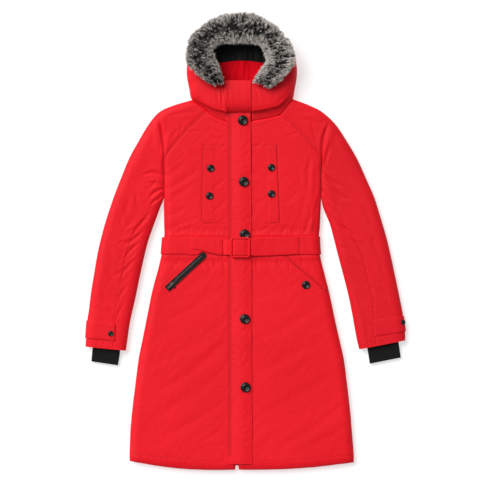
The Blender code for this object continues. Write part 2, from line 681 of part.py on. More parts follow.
def hood_back():
    outline = [(r[0], r[1]) for r in HOOD_BACK] + [(r[2], r[3]) for r in reversed(HOOD_BACK)]
    shares = (0.0, 0.03, 0.08, 0.16, 0.3, 0.5, 0.7, 0.84, 0.92, 0.97, 1.0)

    def plan(i, j):
        row, t = HOOD_BACK[j], shares[i]
        x = lerp(row[0], row[2], t)
        y = lerp(row[1], row[3], t)
        if j == 0:
            for a, b in zip(HOOD_NECK, HOOD_NECK[1:]):
                if a[0] <= x <= b[0]:
                    y = lerp(a[1], b[1], (x - a[0]) / (b[0] - a[0]))
        return x, y

    def heights(i, j):
        x, y = plan(i, j)
        seam = seam_height(y) if (i in (0, len(shares) - 1) or j) else LAYER_Z
        up = 1.0 - roll(distance_to_line((x, y), outline) / 26.0)
        if j == 0 and 0 < i < len(shares) - 1:
            up = 0.0
        top = lerp(HOOD_FLOOR, seam, up)
        return x, y, top, lerp(0.0, seam - 1.2, up)

    return panel(
        "hood_back",
        len(shares),
        len(HOOD_BACK),
        lambda i, j: heights(i, j)[:3],
        lambda i, j: (*heights(i, j)[:2], heights(i, j)[3]),
    )


def strip(name, table, thickness, colour=RED, base=HOOD_FLOOR + GAP):
    """Flat layer in rows: y, left x, right x, rise of the row's middle."""
    columns = 9

    def plan(i, j):
        row, t = table[j], i / (columns - 1)
        return lerp(row[1], row[2], t), row[0] + row[3] * sin(pi * t)

    panel(
        name,
        columns,
        len(table),
        lambda i, j: (*plan(i, j), base + thickness),
        lambda i, j: (*plan(i, j), base),
        colour,
    )


def fur():
    sections = []
    middle, half = (FUR_LOW + FUR_HIGH) / 2, (FUR_HIGH - FUR_LOW) / 2
    for k, row in enumerate(FUR):
        end = k in (0, len(FUR) - 1)
        tall = half * (0.62 if end else 1.0)
        ring = []
        for n in range(12):
            turn = 2 * pi * n / 12
            t = 0.5 + 0.5 * cos(turn)
            ring.append((lerp(row[2], row[0], t), lerp(row[3], row[1], t), FUR_LOW + tall + tall * sin(turn)))
        sections.append(ring)
    loft("fur_trim", sections, GREY)


# ---- belt and small pieces -------------------------------------------------
def ribbon(name, table, thickness, colour=RED):
    """Flat band along X in rows: x, upper edge y, lower edge y, underside."""
    panel(
        name,
        3,
        len(table),
        lambda i, j: (table[j][0], lerp(table[j][1], table[j][2], i / 2), table[j][3] + thickness),
        lambda i, j: (table[j][0], lerp(table[j][1], table[j][2], i / 2), table[j][3]),
        colour,
    )


def body_side_x(side, y):
    rows = [(r[1], r[0]) if side < 0 else (r[3], r[2]) for r in BODY]
    for (ya, xa), (yb, xb) in zip(rows, rows[1:]):
        if yb <= y <= ya:
            return lerp(xa, xb, (ya - y) / (ya - yb))
    raise ValueError("outside the body")


def belt_side(name, side, front_run):
    """A run of the belt from the front, round the side and under the body."""
    columns = 3
    reach = front_run[-1][0]
    wrap = (60.0, 36.0, 24.0, 15.0, 8.0, 3.0, 0.5)
    upper, lower = SIDE_BELT_Y[side]

    def rows(out):
        path = [[(r[0], lerp(r[1], r[2], i / 2), r[3] + (BELT_T if out > 1 else 0.0)) for i in range(columns)] for r in front_run]
        for top_layer in (True, False):
            for near in wrap if top_layer else wrap[::-1]:
                pull = out * (1.0 - min(1.0, near / 15.0))
                line = []
                for i in range(columns):
                    y = lerp(upper, lower, i / 2)
                    edge = body_side_x(side, y) + side * BELT_SLACK
                    s = near - pull
                    x = edge - side * s
                    t = roll((s + out) / (SIDE_ROUND + out))
                    if top_layer:
                        z = LAYER_Z + EDGE + (BODY_Z + out - LAYER_Z - EDGE) * t
                    else:
                        z = LAYER_Z - EDGE - (LAYER_Z - EDGE - CHANNEL + out) * t
                    line.append((x, y, z))
                path.append(line)
            if top_layer:
                line = []
                for i in range(columns):
                    y = lerp(upper, lower, i / 2)
                    line.append((body_side_x(side, y) + side * (out + BELT_SLACK), y, LAYER_Z))
                path.append(line)
        return path

    outside, inside = rows(GAP + BELT_T), rows(GAP)
    panel(
        name,
        columns,
        len(outside),
        lambda i, j: outside[j][i],
        lambda i, j: inside[j][i],
    )
    return reach


def button(name, x, y, radius, z, normal=(0.0, 0.0, 1.0)):
    """Turned button with a raised rim round a dished middle."""
    k = radius / BIG_R
    profile = ((0.0, 3.3), (9.6, 3.3), (11.4, 4.7), (13.0, 4.4), (14.0, 2.6), (12.6, 0.0), (0.0, 0.0))
    mesh = bpy.data.meshes.new(name)
    points = [(r * k * MM, 0.0, h * k * MM) for r, h in profile]
    mesh.from_pydata(points, [(n, n + 1) for n in range(len(points) - 1)], [])
    ob = bpy.data.objects.new(name, mesh)
    screw = ob.modifiers.new("turned", "SCREW")
    screw.axis = "Z"
    screw.steps = screw.render_steps = 16
    screw.use_merge_vertices = True
    screw.merge_threshold = 0.00005
    screw.use_smooth_shade = True
    mesh.materials.append(look(name + "_look", BLACK, 0.25))
    ob.location = (x * MM, y * MM, z * MM)
    ob.rotation_euler = Vector((0, 0, 1)).rotation_difference(Vector(normal)).to_euler()
    coat.objects.link(ob)
    return ob


def welt(name, corners):
    panel(
        name,
        3,
        4,
        lambda i, j: (*plan_in(corners, i / 2, j / 3), BODY_Z + GAP + WELT_T),
        lambda i, j: (*plan_in(corners, i / 2, j / 3), BODY_Z + GAP),
    )


def plan_in(corners, s, t):
    a, b, c, d = corners
    return mix(mix(a, b, s), mix(d, c, s), t)


def box(bm, low, high):
    made = bmesh.ops.create_cube(bm, size=1.0)
    size = [h - l for l, h in zip(low, high)]
    middle = [(h + l) / 2 for l, h in zip(low, high)]
    bmesh.ops.scale(bm, vec=[s * MM for s in size], verts=made["verts"])
    bmesh.ops.translate(bm, vec=[m * MM for m in middle], verts=made["verts"])


def frame_object(name, outer, inner, low, high, colour, corner, roughness=0.5, metallic=0.0):
    """Flat ring: an outline with a window, as a filled 2D curve, extruded."""
    curve = bpy.data.curves.new(name, "CURVE")
    curve.dimensions = "2D"
    curve.fill_mode = "BOTH"
    curve.extrude = (high - low) / 2 * MM
    for outline in (outer, inner):
        spline = curve.splines.new("POLY")
        spline.points.add(len(outline) - 1)
        for point, (x, y) in zip(spline.points, outline):
            point.co = (x * MM, y * MM, 0.0, 1.0)
        spline.use_cyclic_u = True
    holder = bpy.data.objects.new(name + "_outline", curve)
    coat.objects.link(holder)
    graph = bpy.context.evaluated_depsgraph_get()
    mesh = bpy.data.meshes.new_from_object(holder.evaluated_get(graph))
    bpy.data.objects.remove(holder)
    bm = bmesh.new()
    bm.from_mesh(mesh)
    bpy.data.meshes.remove(mesh)
    bmesh.ops.remove_doubles(bm, verts=bm.verts, dist=0.00002)
    ob = add_object(name, bm, colour, roughness, metallic, smooth=30.0)
    ob.location = corner
    return ob


def rounded(left, right, bottom, top, radius, per_corner=4):
    points = []
    for cx, cy, start in (
        (right - radius, top - radius, 0.0),
        (left + radius, top - radius, 90.0),
        (left + radius, bottom + radius, 180.0),
        (right - radius, bottom + radius, 270.0),
    ):
        for k in range(per_corner + 1):
            a = radians(start + 90.0 * k / per_corner)
            points.append((cx + radius * cos(a), cy + radius * sin(a)))
    return points


def join(ob, others):
    """Boolean union of an object with others, which become hidden cutters."""
    for other in others:
        other.hide_render = True
        other.display_type = "WIRE"
        union = ob.modifiers.new("union_" + other.name, "BOOLEAN")
        union.operation = "UNION"
        union.solver = "EXACT"
        union.object = other
    return ob


def cutter(name, bm):
    face_out(bm)
    mesh = bpy.data.meshes.new(name)
    bm.to_mesh(mesh)
    bm.free()
    ob = bpy.data.objects.new(name, mesh)
    tools.objects.link(ob)
    return ob


def bar(bm, length, radius, sides=12):
    """Round bar along Y through the origin."""
    made = bmesh.ops.create_cone(
        bm, cap_ends=True, segments=sides, radius1=radius * MM, radius2=radius * MM, depth=length * MM
    )
    bmesh.ops.rotate(bm, cent=(0, 0, 0), matrix=Matrix.Rotation(radians(90), 3, "X"), verts=made["verts"])


def place_on_zip(ob, along, z):
    """Puts an object modelled with +X along the zip at that point of it."""
    ob.location = (
        (ZIP_START[0] + ZIP_DIR[0] * along) * MM,
        (ZIP_START[1] + ZIP_DIR[1] * along) * MM,
        z * MM,
    )
    ob.rotation_euler = Matrix(
        ((ZIP_DIR[0], -ZIP_DIR[1], 0), (ZIP_DIR[1], ZIP_DIR[0], 0), (0, 0, 1))
    ).to_euler()


def zip_pocket():
    half = ZIP_WIDTH / 2
    nib = ((15.0, -half), (20.1, -half - 6.4), (23.0, -half))
    outer = [(0.0, -half), *nib, (ZIP_LENGTH - half, -half)]
    outer += [
        (ZIP_LENGTH - half + half * sin(a), -half * cos(a))
        for a in (pi * k / 10 for k in range(1, 10))
    ]
    outer += [(ZIP_LENGTH - half, half), (0.0, half)]
    inner = rounded(9.0, ZIP_LENGTH - 9.0, -4.8, 4.8, 2.0, 2)
    low = BODY_Z + GAP
    ob = frame_object("zip_welt", outer, inner, low, low + 2.0, BLACK, (0, 0, 0), 0.6)
    place_on_zip(ob, 0.0, low + 1.0)
    bm = bmesh.new()
    box(bm, (10.2, -4.2, 0.0), (ZIP_LENGTH - 10.2, 4.2, 0.8))
    place_on_zip(add_object("zip_tape", bm, BLACK, 0.7), 0.0, low)
    # slider: plate, two ears and the pin that the pull turns on
    bm = bmesh.new()
    box(bm, (-5.0, -4.2, 0.0), (7.0, 4.2, 2.2))
    slider = add_object("zip_slider", bm, GREY, 0.35, 0.8)
    place_on_zip(slider, PIN_ALONG, low + 0.8 + GAP)
    ears = bmesh.new()
    box(ears, (-1.7, -3.2, 1.5), (1.7, -2.0, PIN_UP + 1.4))
    other_ear = bmesh.new()
    box(other_ear, (-1.7, 2.0, 1.5), (1.7, 3.2, PIN_UP + 1.4))
    pin = bmesh.new()
    bar(pin, 5.0, 0.8)
    bmesh.ops.translate(pin, vec=(0, 0, PIN_UP * MM), verts=pin.verts)
    parts = []
    for name, piece in (("ear_a", ears), ("ear_b", other_ear), ("pin", pin)):
        made = cutter(name, piece)
        place_on_zip(made, PIN_ALONG, low + 0.8 + GAP)
        parts.append(made)
    join(slider, parts)
    # pull tab: an eye round the pin and a plate with a side nib
    outline = (
        (-2.6, -1.6), (-3.4, -3.1), (-13.0, -3.1), (-15.4, -1.6), (-15.4, 1.6),
        (-13.0, 3.1), (-3.4, 3.1), (-2.6, 1.6), (-1.3, 1.6), (-1.3, -1.6),
    )
    bm = bmesh.new()
    verts = [bm.verts.new((x * MM, y * MM, -0.6 * MM)) for x, y in outline]
    face = bm.faces.new(verts)
    up = bmesh.ops.extrude_face_region(bm, geom=[face], use_keep_orig=True)
    moved = [v for v in up["geom"] if isinstance(v, bmesh.types.BMVert)]
    bmesh.ops.translate(bm, vec=(0, 0, 1.2 * MM), verts=moved)
    pull = add_object("zip_pull", bm, GREY, 0.35, 0.8, smooth=30.0)
    place_on_zip(pull, PIN_ALONG, low + 0.8 + GAP + PIN_UP)
    eye = bmesh.new()
    bar(eye, 3.2, 2.1, 16)
    eye = cutter("eye", eye)
    place_on_zip(eye, PIN_ALONG, low + 0.8 + GAP + PIN_UP)
    join(pull, [eye])
    hole = bmesh.new()
    bar(hole, 8.0, 1.15, 16)
    hole = cutter("eye_hole", hole)
    place_on_zip(hole, PIN_ALONG, low + 0.8 + GAP + PIN_UP)
    hole.hide_render = True
    hole.display_type = "WIRE"
    cut = pull.modifiers.new("eye_hole", "BOOLEAN")
    cut.operation = "DIFFERENCE"
    cut.solver = "EXACT"
    cut.object = hole


PIN_ALONG, PIN_UP = 19.0, 4.6  # the pull's pin: along the zip, over the slider's foot


def buckle():
    """Rectangular frame with a middle bar set lower than the frame."""
    left, right, top, bottom, width = BUCKLE
    cx, cy = (left + right) / 2, (top + bottom) / 2
    hx, hy = (right - left) / 2, (top - bottom) / 2
    low, high = BUCKLE_Z
    ob = frame_object(
        "buckle",
        rounded(-hx, hx, -hy, hy, 6.0),
        rounded(-hx + width, hx - width, -hy + width, hy - width, 2.0),
        low,
        high,
        RED,
        (cx * MM, cy * MM, (low + high) / 2 * MM),
    )
    # the bar hangs between the upper and lower sides
    bm = bmesh.new()
    x0 = (-14.5 - cx)
    z0 = -(low + high) / 2
    box(bm, (x0 - 2.2, -hy + 3.0, 34.1 + z0), (x0 + 2.2, hy - 3.0, 36.4 + z0))
    bar_ob = cutter("buckle_bar", bm)
    bar_ob.location = ob.location
    ends = bmesh.new()
    box(ends, (x0 - 2.2, hy - 6.0, 34.1 + z0), (x0 + 2.2, hy - 3.2, low + 1.0 + z0))
    box(ends, (x0 - 2.2, -hy + 3.2, 34.1 + z0), (x0 + 2.2, -hy + 6.0, low + 1.0 + z0))
    ends_ob = cutter("buckle_bar_ends", ends)
    ends_ob.location = ob.location
    join(ob, [bar_ob, ends_ob])


def storm_flap():
    shares = (0.0, 0.05, 0.3, 0.7, 0.95, 1.0)

    def plan(i, j):
        row = FLAP[j]
        return lerp(row[1], row[2], shares[i]), row[0]

    def top(i, j):
        thin = 1.2 if i in (0, 5) else 0.0
        thin += 1.2 if j == len(FLAP) - 1 else 0.0
        return (*plan(i, j), FLAP[j][3] + FLAP_T - thin)

    panel("storm_flap", 6, len(FLAP), top, lambda i, j: (*plan(i, j), FLAP[j][3]))


def throat_flap():
    shares = (0.0, 0.06, 0.5, 0.94, 1.0)

    def plan(i, j):
        row = THROAT_FLAP[j]
        return lerp(row[1], row[2], shares[i]), row[0]

    panel(
        "throat_flap",
        5,
        len(THROAT_FLAP),
        lambda i, j: (*plan(i, j), THROAT_FLAP[j][4] - (0.9 if i in (0, 4) else 0.0)),
        lambda i, j: (*plan(i, j), THROAT_FLAP[j][3]),
    )


def slant_pocket():
    (x0, y0), (x1, y1), width = SLANT
    length = hypot(x1 - x0, y1 - y0)
    nx, ny = (y1 - y0) / length * -1, (x1 - x0) / length
    corners = (
        (x0, y0),
        (x1, y1),
        (x1 - nx * width, y1 - ny * width),
        (x0 - nx * width, y0 - ny * width),
    )
    welt("pocket_edge_right", corners)


def cuff_button(side, word, along, s):
    """A cuff button on the tab, s mm from the outer edge and square to it."""
    rows = stations(side)
    row = mix(rows[TAB_ROWS[0]], rows[TAB_ROWS[1]], along)
    out = TAB_GAP + TAB_T
    spots = []
    for near in (s, s + 0.5):
        x, y, width = across(row, near)
        spots.append(Vector((x, y, sleeve_height(row, near, width, True, out))))
    run = spots[1] - spots[0]
    level = Vector((run.x, run.y, 0.0)).normalized()
    normal = (Vector((0, 0, 1)) * run.dot(level) - level * run.z).normalized()
    spot = spots[0] + normal * GAP
    button("button_cuff_" + word, spot.x, spot.y, CUFF_R, spot.z, normal)


# ---- build -----------------------------------------------------------------
for old in list(bpy.data.objects):
    bpy.data.objects.remove(old, do_unlink=True)
coat = bpy.data.collections.new("long_parka")
tools = bpy.data.collections.new("cutters")
for collection in (coat, tools):
    bpy.context.scene.collection.children.link(collection)

back()
front("front_left", -1)
front("front_right", 1)
storm_flap()
for side, word in ((-1, "left"), (1, "right")):
    sleeve(side, word)
    knit_cuff(side, word)
cuff_button(-1, "left", 0.58, 69.0)
cuff_button(1, "right", 0.42, 3.5)
hood_back()
hood_side("hood_left", HOOD_LEFT)
hood_side("hood_right", HOOD_RIGHT)
throat_flap()
strip("hood_lining", LINING, 2.0, BLACK)
strip("neck_inner", NECK_INNER, 3.0)
fur()
belt_side("belt_left", -1, BELT_LEFT_FRONT)
belt_side("belt_right", 1, BELT_RIGHT_FRONT)
ribbon(
    "belt_back",
    tuple((x, lerp(SIDE_BELT_Y[-1][0], SIDE_BELT_Y[1][0], t), lerp(SIDE_BELT_Y[-1][1], SIDE_BELT_Y[1][1], t), 0.0)
          for t, x in ((t / 4, lerp(BACK_BELT[0], BACK_BELT[1], t / 4)) for t in range(5))),
    BELT_T,
)
ribbon("belt_tail", BELT_TAIL, BELT_T)
ribbon("belt_fold", BELT_FOLD, BELT_T)
buckle()
for row in BUTTONS:
    button(*row)
welt("chest_welt_left", CHEST_LEFT)
welt("chest_welt_right", CHEST_RIGHT)
slant_pocket()
zip_pocket()
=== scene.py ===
"""Looks of a long belted parka with a fur-trimmed hood, laid flat on a pale floor.

Sizes are in millimetres until a mesh is made. The frame is the CAD's: +Y towards
the hood, +X to the right from above, +Z up, the floor at z = 0. Left and right
are as seen from above.
"""

from math import cos, hypot, pi, radians, sin

import bmesh
import bpy
import numpy as np
from mathutils import Matrix, Vector
from mathutils.bvhtree import BVHTree


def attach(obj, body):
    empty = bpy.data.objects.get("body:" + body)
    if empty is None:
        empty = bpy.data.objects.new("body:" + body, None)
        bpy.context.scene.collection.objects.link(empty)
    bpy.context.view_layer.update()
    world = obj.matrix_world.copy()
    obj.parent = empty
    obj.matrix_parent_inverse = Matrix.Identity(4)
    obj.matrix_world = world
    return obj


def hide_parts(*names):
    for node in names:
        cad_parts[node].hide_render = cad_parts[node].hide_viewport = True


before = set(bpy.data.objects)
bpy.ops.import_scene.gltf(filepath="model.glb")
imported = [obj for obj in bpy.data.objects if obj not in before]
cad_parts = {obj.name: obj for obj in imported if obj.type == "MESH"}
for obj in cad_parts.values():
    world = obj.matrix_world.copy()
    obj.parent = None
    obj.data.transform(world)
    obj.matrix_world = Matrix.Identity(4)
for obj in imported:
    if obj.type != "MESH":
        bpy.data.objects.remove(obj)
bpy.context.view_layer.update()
MM = 0.001

# ---- sizes, mm, as in the CAD model ------------------------------------------
GAP = 0.3
LAYER_Z = 12.0
BODY_Z = 27.0
SLEEVE_Z = 26.0
EDGE = 0.8
SIDE_ROUND = 24.0
HEM_ROUND = 16.0
NECK_ROUND = 14.0
FLAP_T = 3.7
BELT_T = 2.4
CHANNEL = 2.7
TAB_GAP, TAB_T = 0.5, 2.2
KNIT_T = 4.0
HOOD_FLOOR = 10.0
HOOD_SEAM_Z = 20.0
FUR_LOW, FUR_HIGH = 47.5, 85.0
CENTRE_X = -24.0
BIG_R, SMALL_R, POCKET_R, CUFF_R = 14.0, 10.4, 11.6, 7.7
ZIP_LENGTH, ZIP_WIDTH = 147.0, 18.0
ZIP_START, ZIP_DIR = (-219.8, -134.3), (0.7356, 0.6774)
PIN_ALONG, PIN_UP = 19.0, 4.6
BELT_FRONT_Z = BODY_Z + GAP
OVER_FLAP_Z = BODY_Z + GAP + FLAP_T + GAP

# Body: left x, left y, right x, right y, y at centre front, edge's rounding,
# dips of the row between its ends: left front, right front, back
BODY = (
    (-109.2, 364.7, 100.2, 351.5, 329.7, 0.0, 9.0, 3.0, -14.0),
    (-130.2, 342.9, 123.2, 332.5, 310.9, 0.0, 5.0, 2.0, -6.0),
    (-163.8, 310.4, 151.2, 307.0, 285.7, 0.0, 2.0, 0.0, -2.0),
    (-196.0, 273.4, 182.0, 272.3, 254.9, 0.0, 0.0, 0.0, 0.0),
    (-223.2, 237.3, 209.7, 237.3, 224.1, 0.1, 0.0, 0.0, 0.0),
    (-226.5, 198.9, 210.8, 198.9, 193.3, 0.35, 0.0, 0.0, 0.0),
    (-227.6, 159.7, 211.1, 159.7, 156.9, 0.5, 0.0, 0.0, 0.0),
    (-228.2, 120.5, 212.0, 120.5, 120.5, 0.8, 0.0, 0.0, 0.0),
    (-228.8, 98.1, 210.8, 98.1, 98.1, 1.0, 0.0, 0.0, 0.0),
    (-227.8, 42.1, 208.6, 42.1, 42.1, 1.0, 0.0, 0.0, 0.0),
    (-227.6, 16.5, 206.3, 16.5, 16.5, 1.0, 0.0, 0.0, 0.0),
    (-232.0, -13.9, 206.9, -13.9, -13.9, 1.0, 0.0, 0.0, 0.0),
    (-236.3, -43.0, 209.8, -43.0, -43.0, 1.0, 0.0, 0.0, 0.0),
    (-243.9, -75.5, 217.0, -75.5, -75.5, 1.0, 0.0, 0.0, 0.0),
    (-261.8, -142.7, 234.2, -142.7, -142.7, 1.0, 0.0, 0.0, 0.0),
    (-278.6, -226.7, 252.0, -226.7, -226.7, 1.0, 0.0, 0.0, 0.0),
    (-298.8, -327.5, 274.6, -327.5, -327.5, 1.0, 0.0, 0.0, 0.0),
    (-307.7, -394.7, 283.8, -394.7, -394.7, 1.0, 0.0, 0.0, 0.0),
    (-316.1, -461.9, 291.8, -461.9, -461.9, 1.0, 0.0, 0.0, 0.0),
    (-322.3, -529.1, 297.8, -529.1, -531.0, 1.0, 0.0, 0.0, 0.0),
    (-324.5, -588.0, 302.6, -588.0, -600.0, 1.0, 0.0, 0.0, 0.0),
    (-324.5, -615.9, 303.5, -619.5, -640.2, 1.0, 0.0, 0.0, 0.0),
)
BACK_HEM_Y = -628.5
CHANNEL_Y = (13.5, -40.0)

# Sleeves from the neck to the hem: outer x, outer y, inner x, inner y, front
# seam as a share of the width, rounding of the inner edge. The first eight
# inner points are the body's side points.
SLEEVE_LEFT = (
    (-152.6, 394.4, None, None, 1.0, 0.0),
    (-204.4, 378.7, None, None, 1.0, 0.0),
    (-242.2, 360.5, None, None, 1.0, 0.0),
    (-271.6, 326.3, None, None, 1.0, 0.0),
    (-302.4, 274.5, None, None, 1.0, 0.1),
    (-326.0, 231.0, None, None, 1.0, 0.35),
    (-350.0, 173.0, None, None, 1.0, 0.5),
    (-368.5, 125.0, None, None, 0.92, 0.8),
    (-379.4, 93.0, -239.4, 92.0, 0.82, 1.0),
    (-390.6, 58.9, -255.6, 47.7, 0.745, 1.0),
    (-404.6, 8.5, -272.2, 0.1, 0.64, 1.0),
    (-415.8, -41.9, -284.8, -50.3, 0.62, 1.0),
    (-424.8, -95.1, -296.5, -103.5, 0.615, 1.0),
    (-432.6, -142.7, -306.6, -152.5, 0.60, 1.0),
    (-439.0, -195.9, -318.4, -204.3, 0.61, 1.0),
    (-443.0, -221.0, -324.2, -232.2, 0.64, 1.0),
    (-446.9, -273.0, -331.6, -284.2, 0.68, 1.0),
    (-448.3, -295.5, -334.9, -306.7, 0.70, 1.0),
)
SLEEVE_RIGHT = (
    (132.5, 397.5, None, None, 1.0, 0.0),
    (183.4, 378.1, None, None, 1.0, 0.0),
    (217.0, 359.7, None, None, 1.0, 0.0),
    (252.3, 326.3, None, None, 1.0, 0.0),
    (283.4, 280.1, None, None, 1.0, 0.1),
    (312.8, 229.7, None, None, 1.0, 0.35),
    (335.8, 179.3, None, None, 1.0, 0.5),
    (359.2, 126.1, None, None, 0.92, 0.8),
    (370.2, 93.0, 218.0, 92.0, 0.82, 1.0),
    (380.5, 58.9, 236.0, 47.7, 0.74, 1.0),
    (395.2, 8.5, 248.8, 0.1, 0.60, 1.0),
    (407.2, -41.9, 261.7, -50.3, 0.54, 1.0),
    (418.6, -95.1, 275.8, -103.5, 0.53, 1.0),
    (428.6, -142.7, 289.0, -156.7, 0.53, 1.0),
    (439.3, -195.9, 299.9, -211.3, 0.57, 1.0),
    (441.3, -208.5, 302.9, -228.6, 0.58, 1.0),
    (447.0, -254.5, 311.8, -276.5, 0.61, 1.0),
    (447.5, -277.9, 318.4, -303.1, 0.63, 1.0),
)
TAB_ROWS = (15, 16)
KNIT_LEFT = (
    (-427.5, -287.5, -350.0, -297.5, 6.4, 17.4),
    (-428.6, -300.5, -351.2, -309.0, 6.4, 17.0),
    (-429.8, -310.0, -352.6, -320.0, 1.5, 13.5),
    (-432.3, -337.0, -357.3, -348.2, 0.0, 12.0),
)
KNIT_RIGHT = (
    (339.2, -290.5, 426.5, -272.5, 6.4, 17.4),
    (341.5, -304.0, 429.2, -285.4, 6.4, 17.0),
    (343.5, -314.0, 431.0, -296.0, 1.5, 13.5),
    (348.0, -343.7, 435.4, -326.3, 0.0, 12.0),
)
# Hood's side panels: outer x, outer y, rim x, rim y, share of the throat's profile
HOOD_LEFT = (
    (-53.1, 335.8, -53.0, 447.6, 1.0),
    (-72.8, 343.4, -63.0, 444.2, 1.0),
    (-92.4, 353.6, -74.2, 441.9, 1.0),
    (-111.0, 369.0, -84.0, 443.5, 0.9),
    (-131.6, 383.8, -92.4, 452.3, 0.6),
    (-151.5, 398.0, -99.4, 463.5, 0.25),
    (-157.6, 425.7, -106.4, 478.9, 0.0),
    (-163.8, 459.3, -110.6, 497.1, 0.0),
    (-163.8, 490.1, -111.2, 515.3, 0.0),
    (-155.4, 532.1, -103.6, 540.5, 0.0),
    (-134.4, 569.9, -85.4, 560.1, 0.0),
    (-99.4, 597.9, -61.6, 571.3, 0.0),
    (-56.0, 611.1, -37.8, 576.9, 0.0),
    (-13.2, 614.5, -13.2, 578.6, 0.0),
)
HOOD_RIGHT = (
    (17.4, 337.6, 16.6, 446.0, 1.0),
    (46.2, 342.5, 33.0, 444.2, 1.0),
    (75.6, 348.5, 47.6, 442.5, 1.0),
    (102.5, 358.0, 57.4, 443.9, 0.9),
    (117.5, 375.0, 65.8, 452.3, 0.6),
    (132.0, 395.8, 72.8, 463.5, 0.25),
    (138.0, 425.7, 79.8, 478.9, 0.0),
    (143.6, 459.3, 84.3, 497.1, 0.0),
    (143.1, 490.1, 84.8, 515.3, 0.0),
    (134.4, 532.1, 78.4, 540.5, 0.0),
    (112.0, 569.9, 60.2, 560.1, 0.0),
    (75.6, 597.9, 37.2, 571.3, 0.0),
    (30.8, 611.1, 12.6, 576.9, 0.0),
    (-12.8, 614.5, -12.8, 578.6, 0.0),
)
# share of the way from the seam to the rim, throat top, throat under, side top, side under
HOOD_PROFILE = (
    (0.00, 20.0, 14.0, 0.9, 0.3),
    (0.06, 21.0, 15.0, 10.0, 4.0),
    (0.14, 23.0, 17.0, 16.0, 11.0),
    (0.22, 36.0, 28.0, 20.0, 15.0),
    (0.35, 45.0, 39.5, 23.0, 18.0),
    (0.55, 47.0, 42.0, 25.0, 20.0),
    (0.80, 45.0, 40.5, 25.0, 20.5),
    (1.00, 40.0, 36.0, 23.0, 19.0),
)
HOOD_BACK = (
    (-152.0, 398.2, 132.2, 396.0),
    (-157.6, 425.7, 138.0, 425.7),
    (-163.8, 459.3, 143.6, 459.3),
    (-163.8, 490.1, 143.1, 490.1),
    (-155.4, 532.1, 134.4, 532.1),
    (-134.4, 569.9, 112.0, 569.9),
    (-99.4, 597.9, 75.6, 597.9),
    (-56.0, 611.1, 30.8, 611.1),
)
HOOD_NECK = ((-152.0, 398.2), (-110.4, 369.5), (-12.0, 375.0), (101.2, 357.0), (132.2, 396.0))
FUR = (  # outer x, outer y, inner x, inner y
    (-87.1, 433.3, -63.3, 443.1),
    (-117.6, 449.5, -67.5, 466.3),
    (-145.6, 471.9, -73.6, 487.3),
    (-164.9, 497.1, -82.0, 506.9),
    (-166.0, 529.3, -89.3, 526.5),
    (-154.3, 567.1, -81.2, 541.7),
    (-122.0, 599.0, -64.4, 547.8),
    (-79.0, 623.5, -42.0, 548.9),
    (-21.0, 640.2, -18.2, 549.5),
    (27.0, 631.0, 7.0, 548.9),
    (71.0, 606.0, 27.4, 547.3),
    (113.0, 571.5, 44.0, 535.5),
    (135.0, 533.5, 53.5, 519.3),
    (139.7, 499.9, 55.2, 498.5),
    (117.9, 466.3, 43.4, 480.3),
    (93.8, 442.5, 32.2, 464.9),
    (65.8, 424.9, 23.8, 444.8),
)
FLAP = (  # y, left x, right x
    (360.0, -47.6, 14.8),
    (325.0, -48.2, 15.3),
    (282.9, -48.4, 15.7),
    (120.0, -48.5, 16.8),
    (-100.0, -48.8, 17.8),
    (-330.0, -49.0, 18.6),
    (-560.0, -49.2, 19.0),
    (-624.0, -49.2, 19.0),
)
THROAT_FLAP = (  # y, left x, right x, underside, top
    (360.0, -52.3, 15.6, 38.5, 42.6),
    (362.4, -52.3, 15.6, 41.5, 45.8),
    (367.0, -52.3, 15.6, 43.0, 47.4),
    (378.0, -52.3, 15.6, 44.5, 48.4),
    (396.0, -52.3, 15.5, 46.0, 50.0),
    (420.0, -52.3, 15.4, 44.5, 48.4),
    (438.0, -51.8, 15.4, 41.5, 45.4),
    (448.6, -50.9, 15.4, 39.0, 42.6),
)
LINING = ((486.0, -124.0, 102.0, 20.0), (512.0, -118.0, 97.0, 8.0), (545.0, -98.0, 77.0, 0.0), (571.0, -62.0, 34.0, 0.0))
NECK_INNER = ((384.0, -104.0, 88.0, 0.0), (420.0, -118.0, 98.0, 0.0), (455.0, -124.0, 102.0, 8.0), (484.5, -124.0, 102.0, 20.0))
# Belt: x, upper edge y, lower edge y, underside
BELT_TAIL = (
    (-66.0, 3.5, -38.5, BELT_FRONT_Z),
    (-62.0, 3.8, -38.8, BELT_FRONT_Z),
    (-53.0, 4.0, -39.3, OVER_FLAP_Z),
    (-44.0, 4.0, -39.5, OVER_FLAP_Z),
    (-37.6, 4.0, -39.5, 31.6),
    (-35.6, 4.0, -39.5, 33.0),
    (-33.6, 4.3, -39.7, 36.4),
    (-29.0, 4.6, -39.9, 37.4),
    (-6.0, 4.6, -39.9, 37.2),
    (3.6, 4.4, -39.6, 35.4),
    (8.0, 4.0, -39.5, 34.2),
    (14.0, 4.0, -39.5, 34.1),
    (21.5, 9.0, -41.5, 33.8),
    (34.0, 10.0, -41.9, 32.4),
    (52.0, 10.4, -41.5, 30.9),
    (80.0, 11.0, -40.6, 30.0),
    (125.0, 11.6, -38.0, 30.0),
    (148.4, 12.0, -36.8, 30.0),
)
BELT_FOLD = (
    (-149.8, 12.6, -20.9, 30.0),
    (-130.0, 11.6, -25.4, 30.0),
    (-100.0, 8.9, -32.8, 30.0),
    (-75.0, 6.4, -38.4, 30.0),
    (-64.2, 4.9, -39.6, 30.0),
)
BELT_RIGHT_FRONT = (
    (-15.0, 4.0, -39.5, OVER_FLAP_Z),
    (17.0, 4.0, -39.5, OVER_FLAP_Z),
    (19.5, 9.0, -41.5, OVER_FLAP_Z),
    (30.0, 9.6, -41.4, BELT_FRONT_Z),
    (80.0, 10.6, -40.2, BELT_FRONT_Z),
    (125.0, 11.4, -37.8, BELT_FRONT_Z),
)
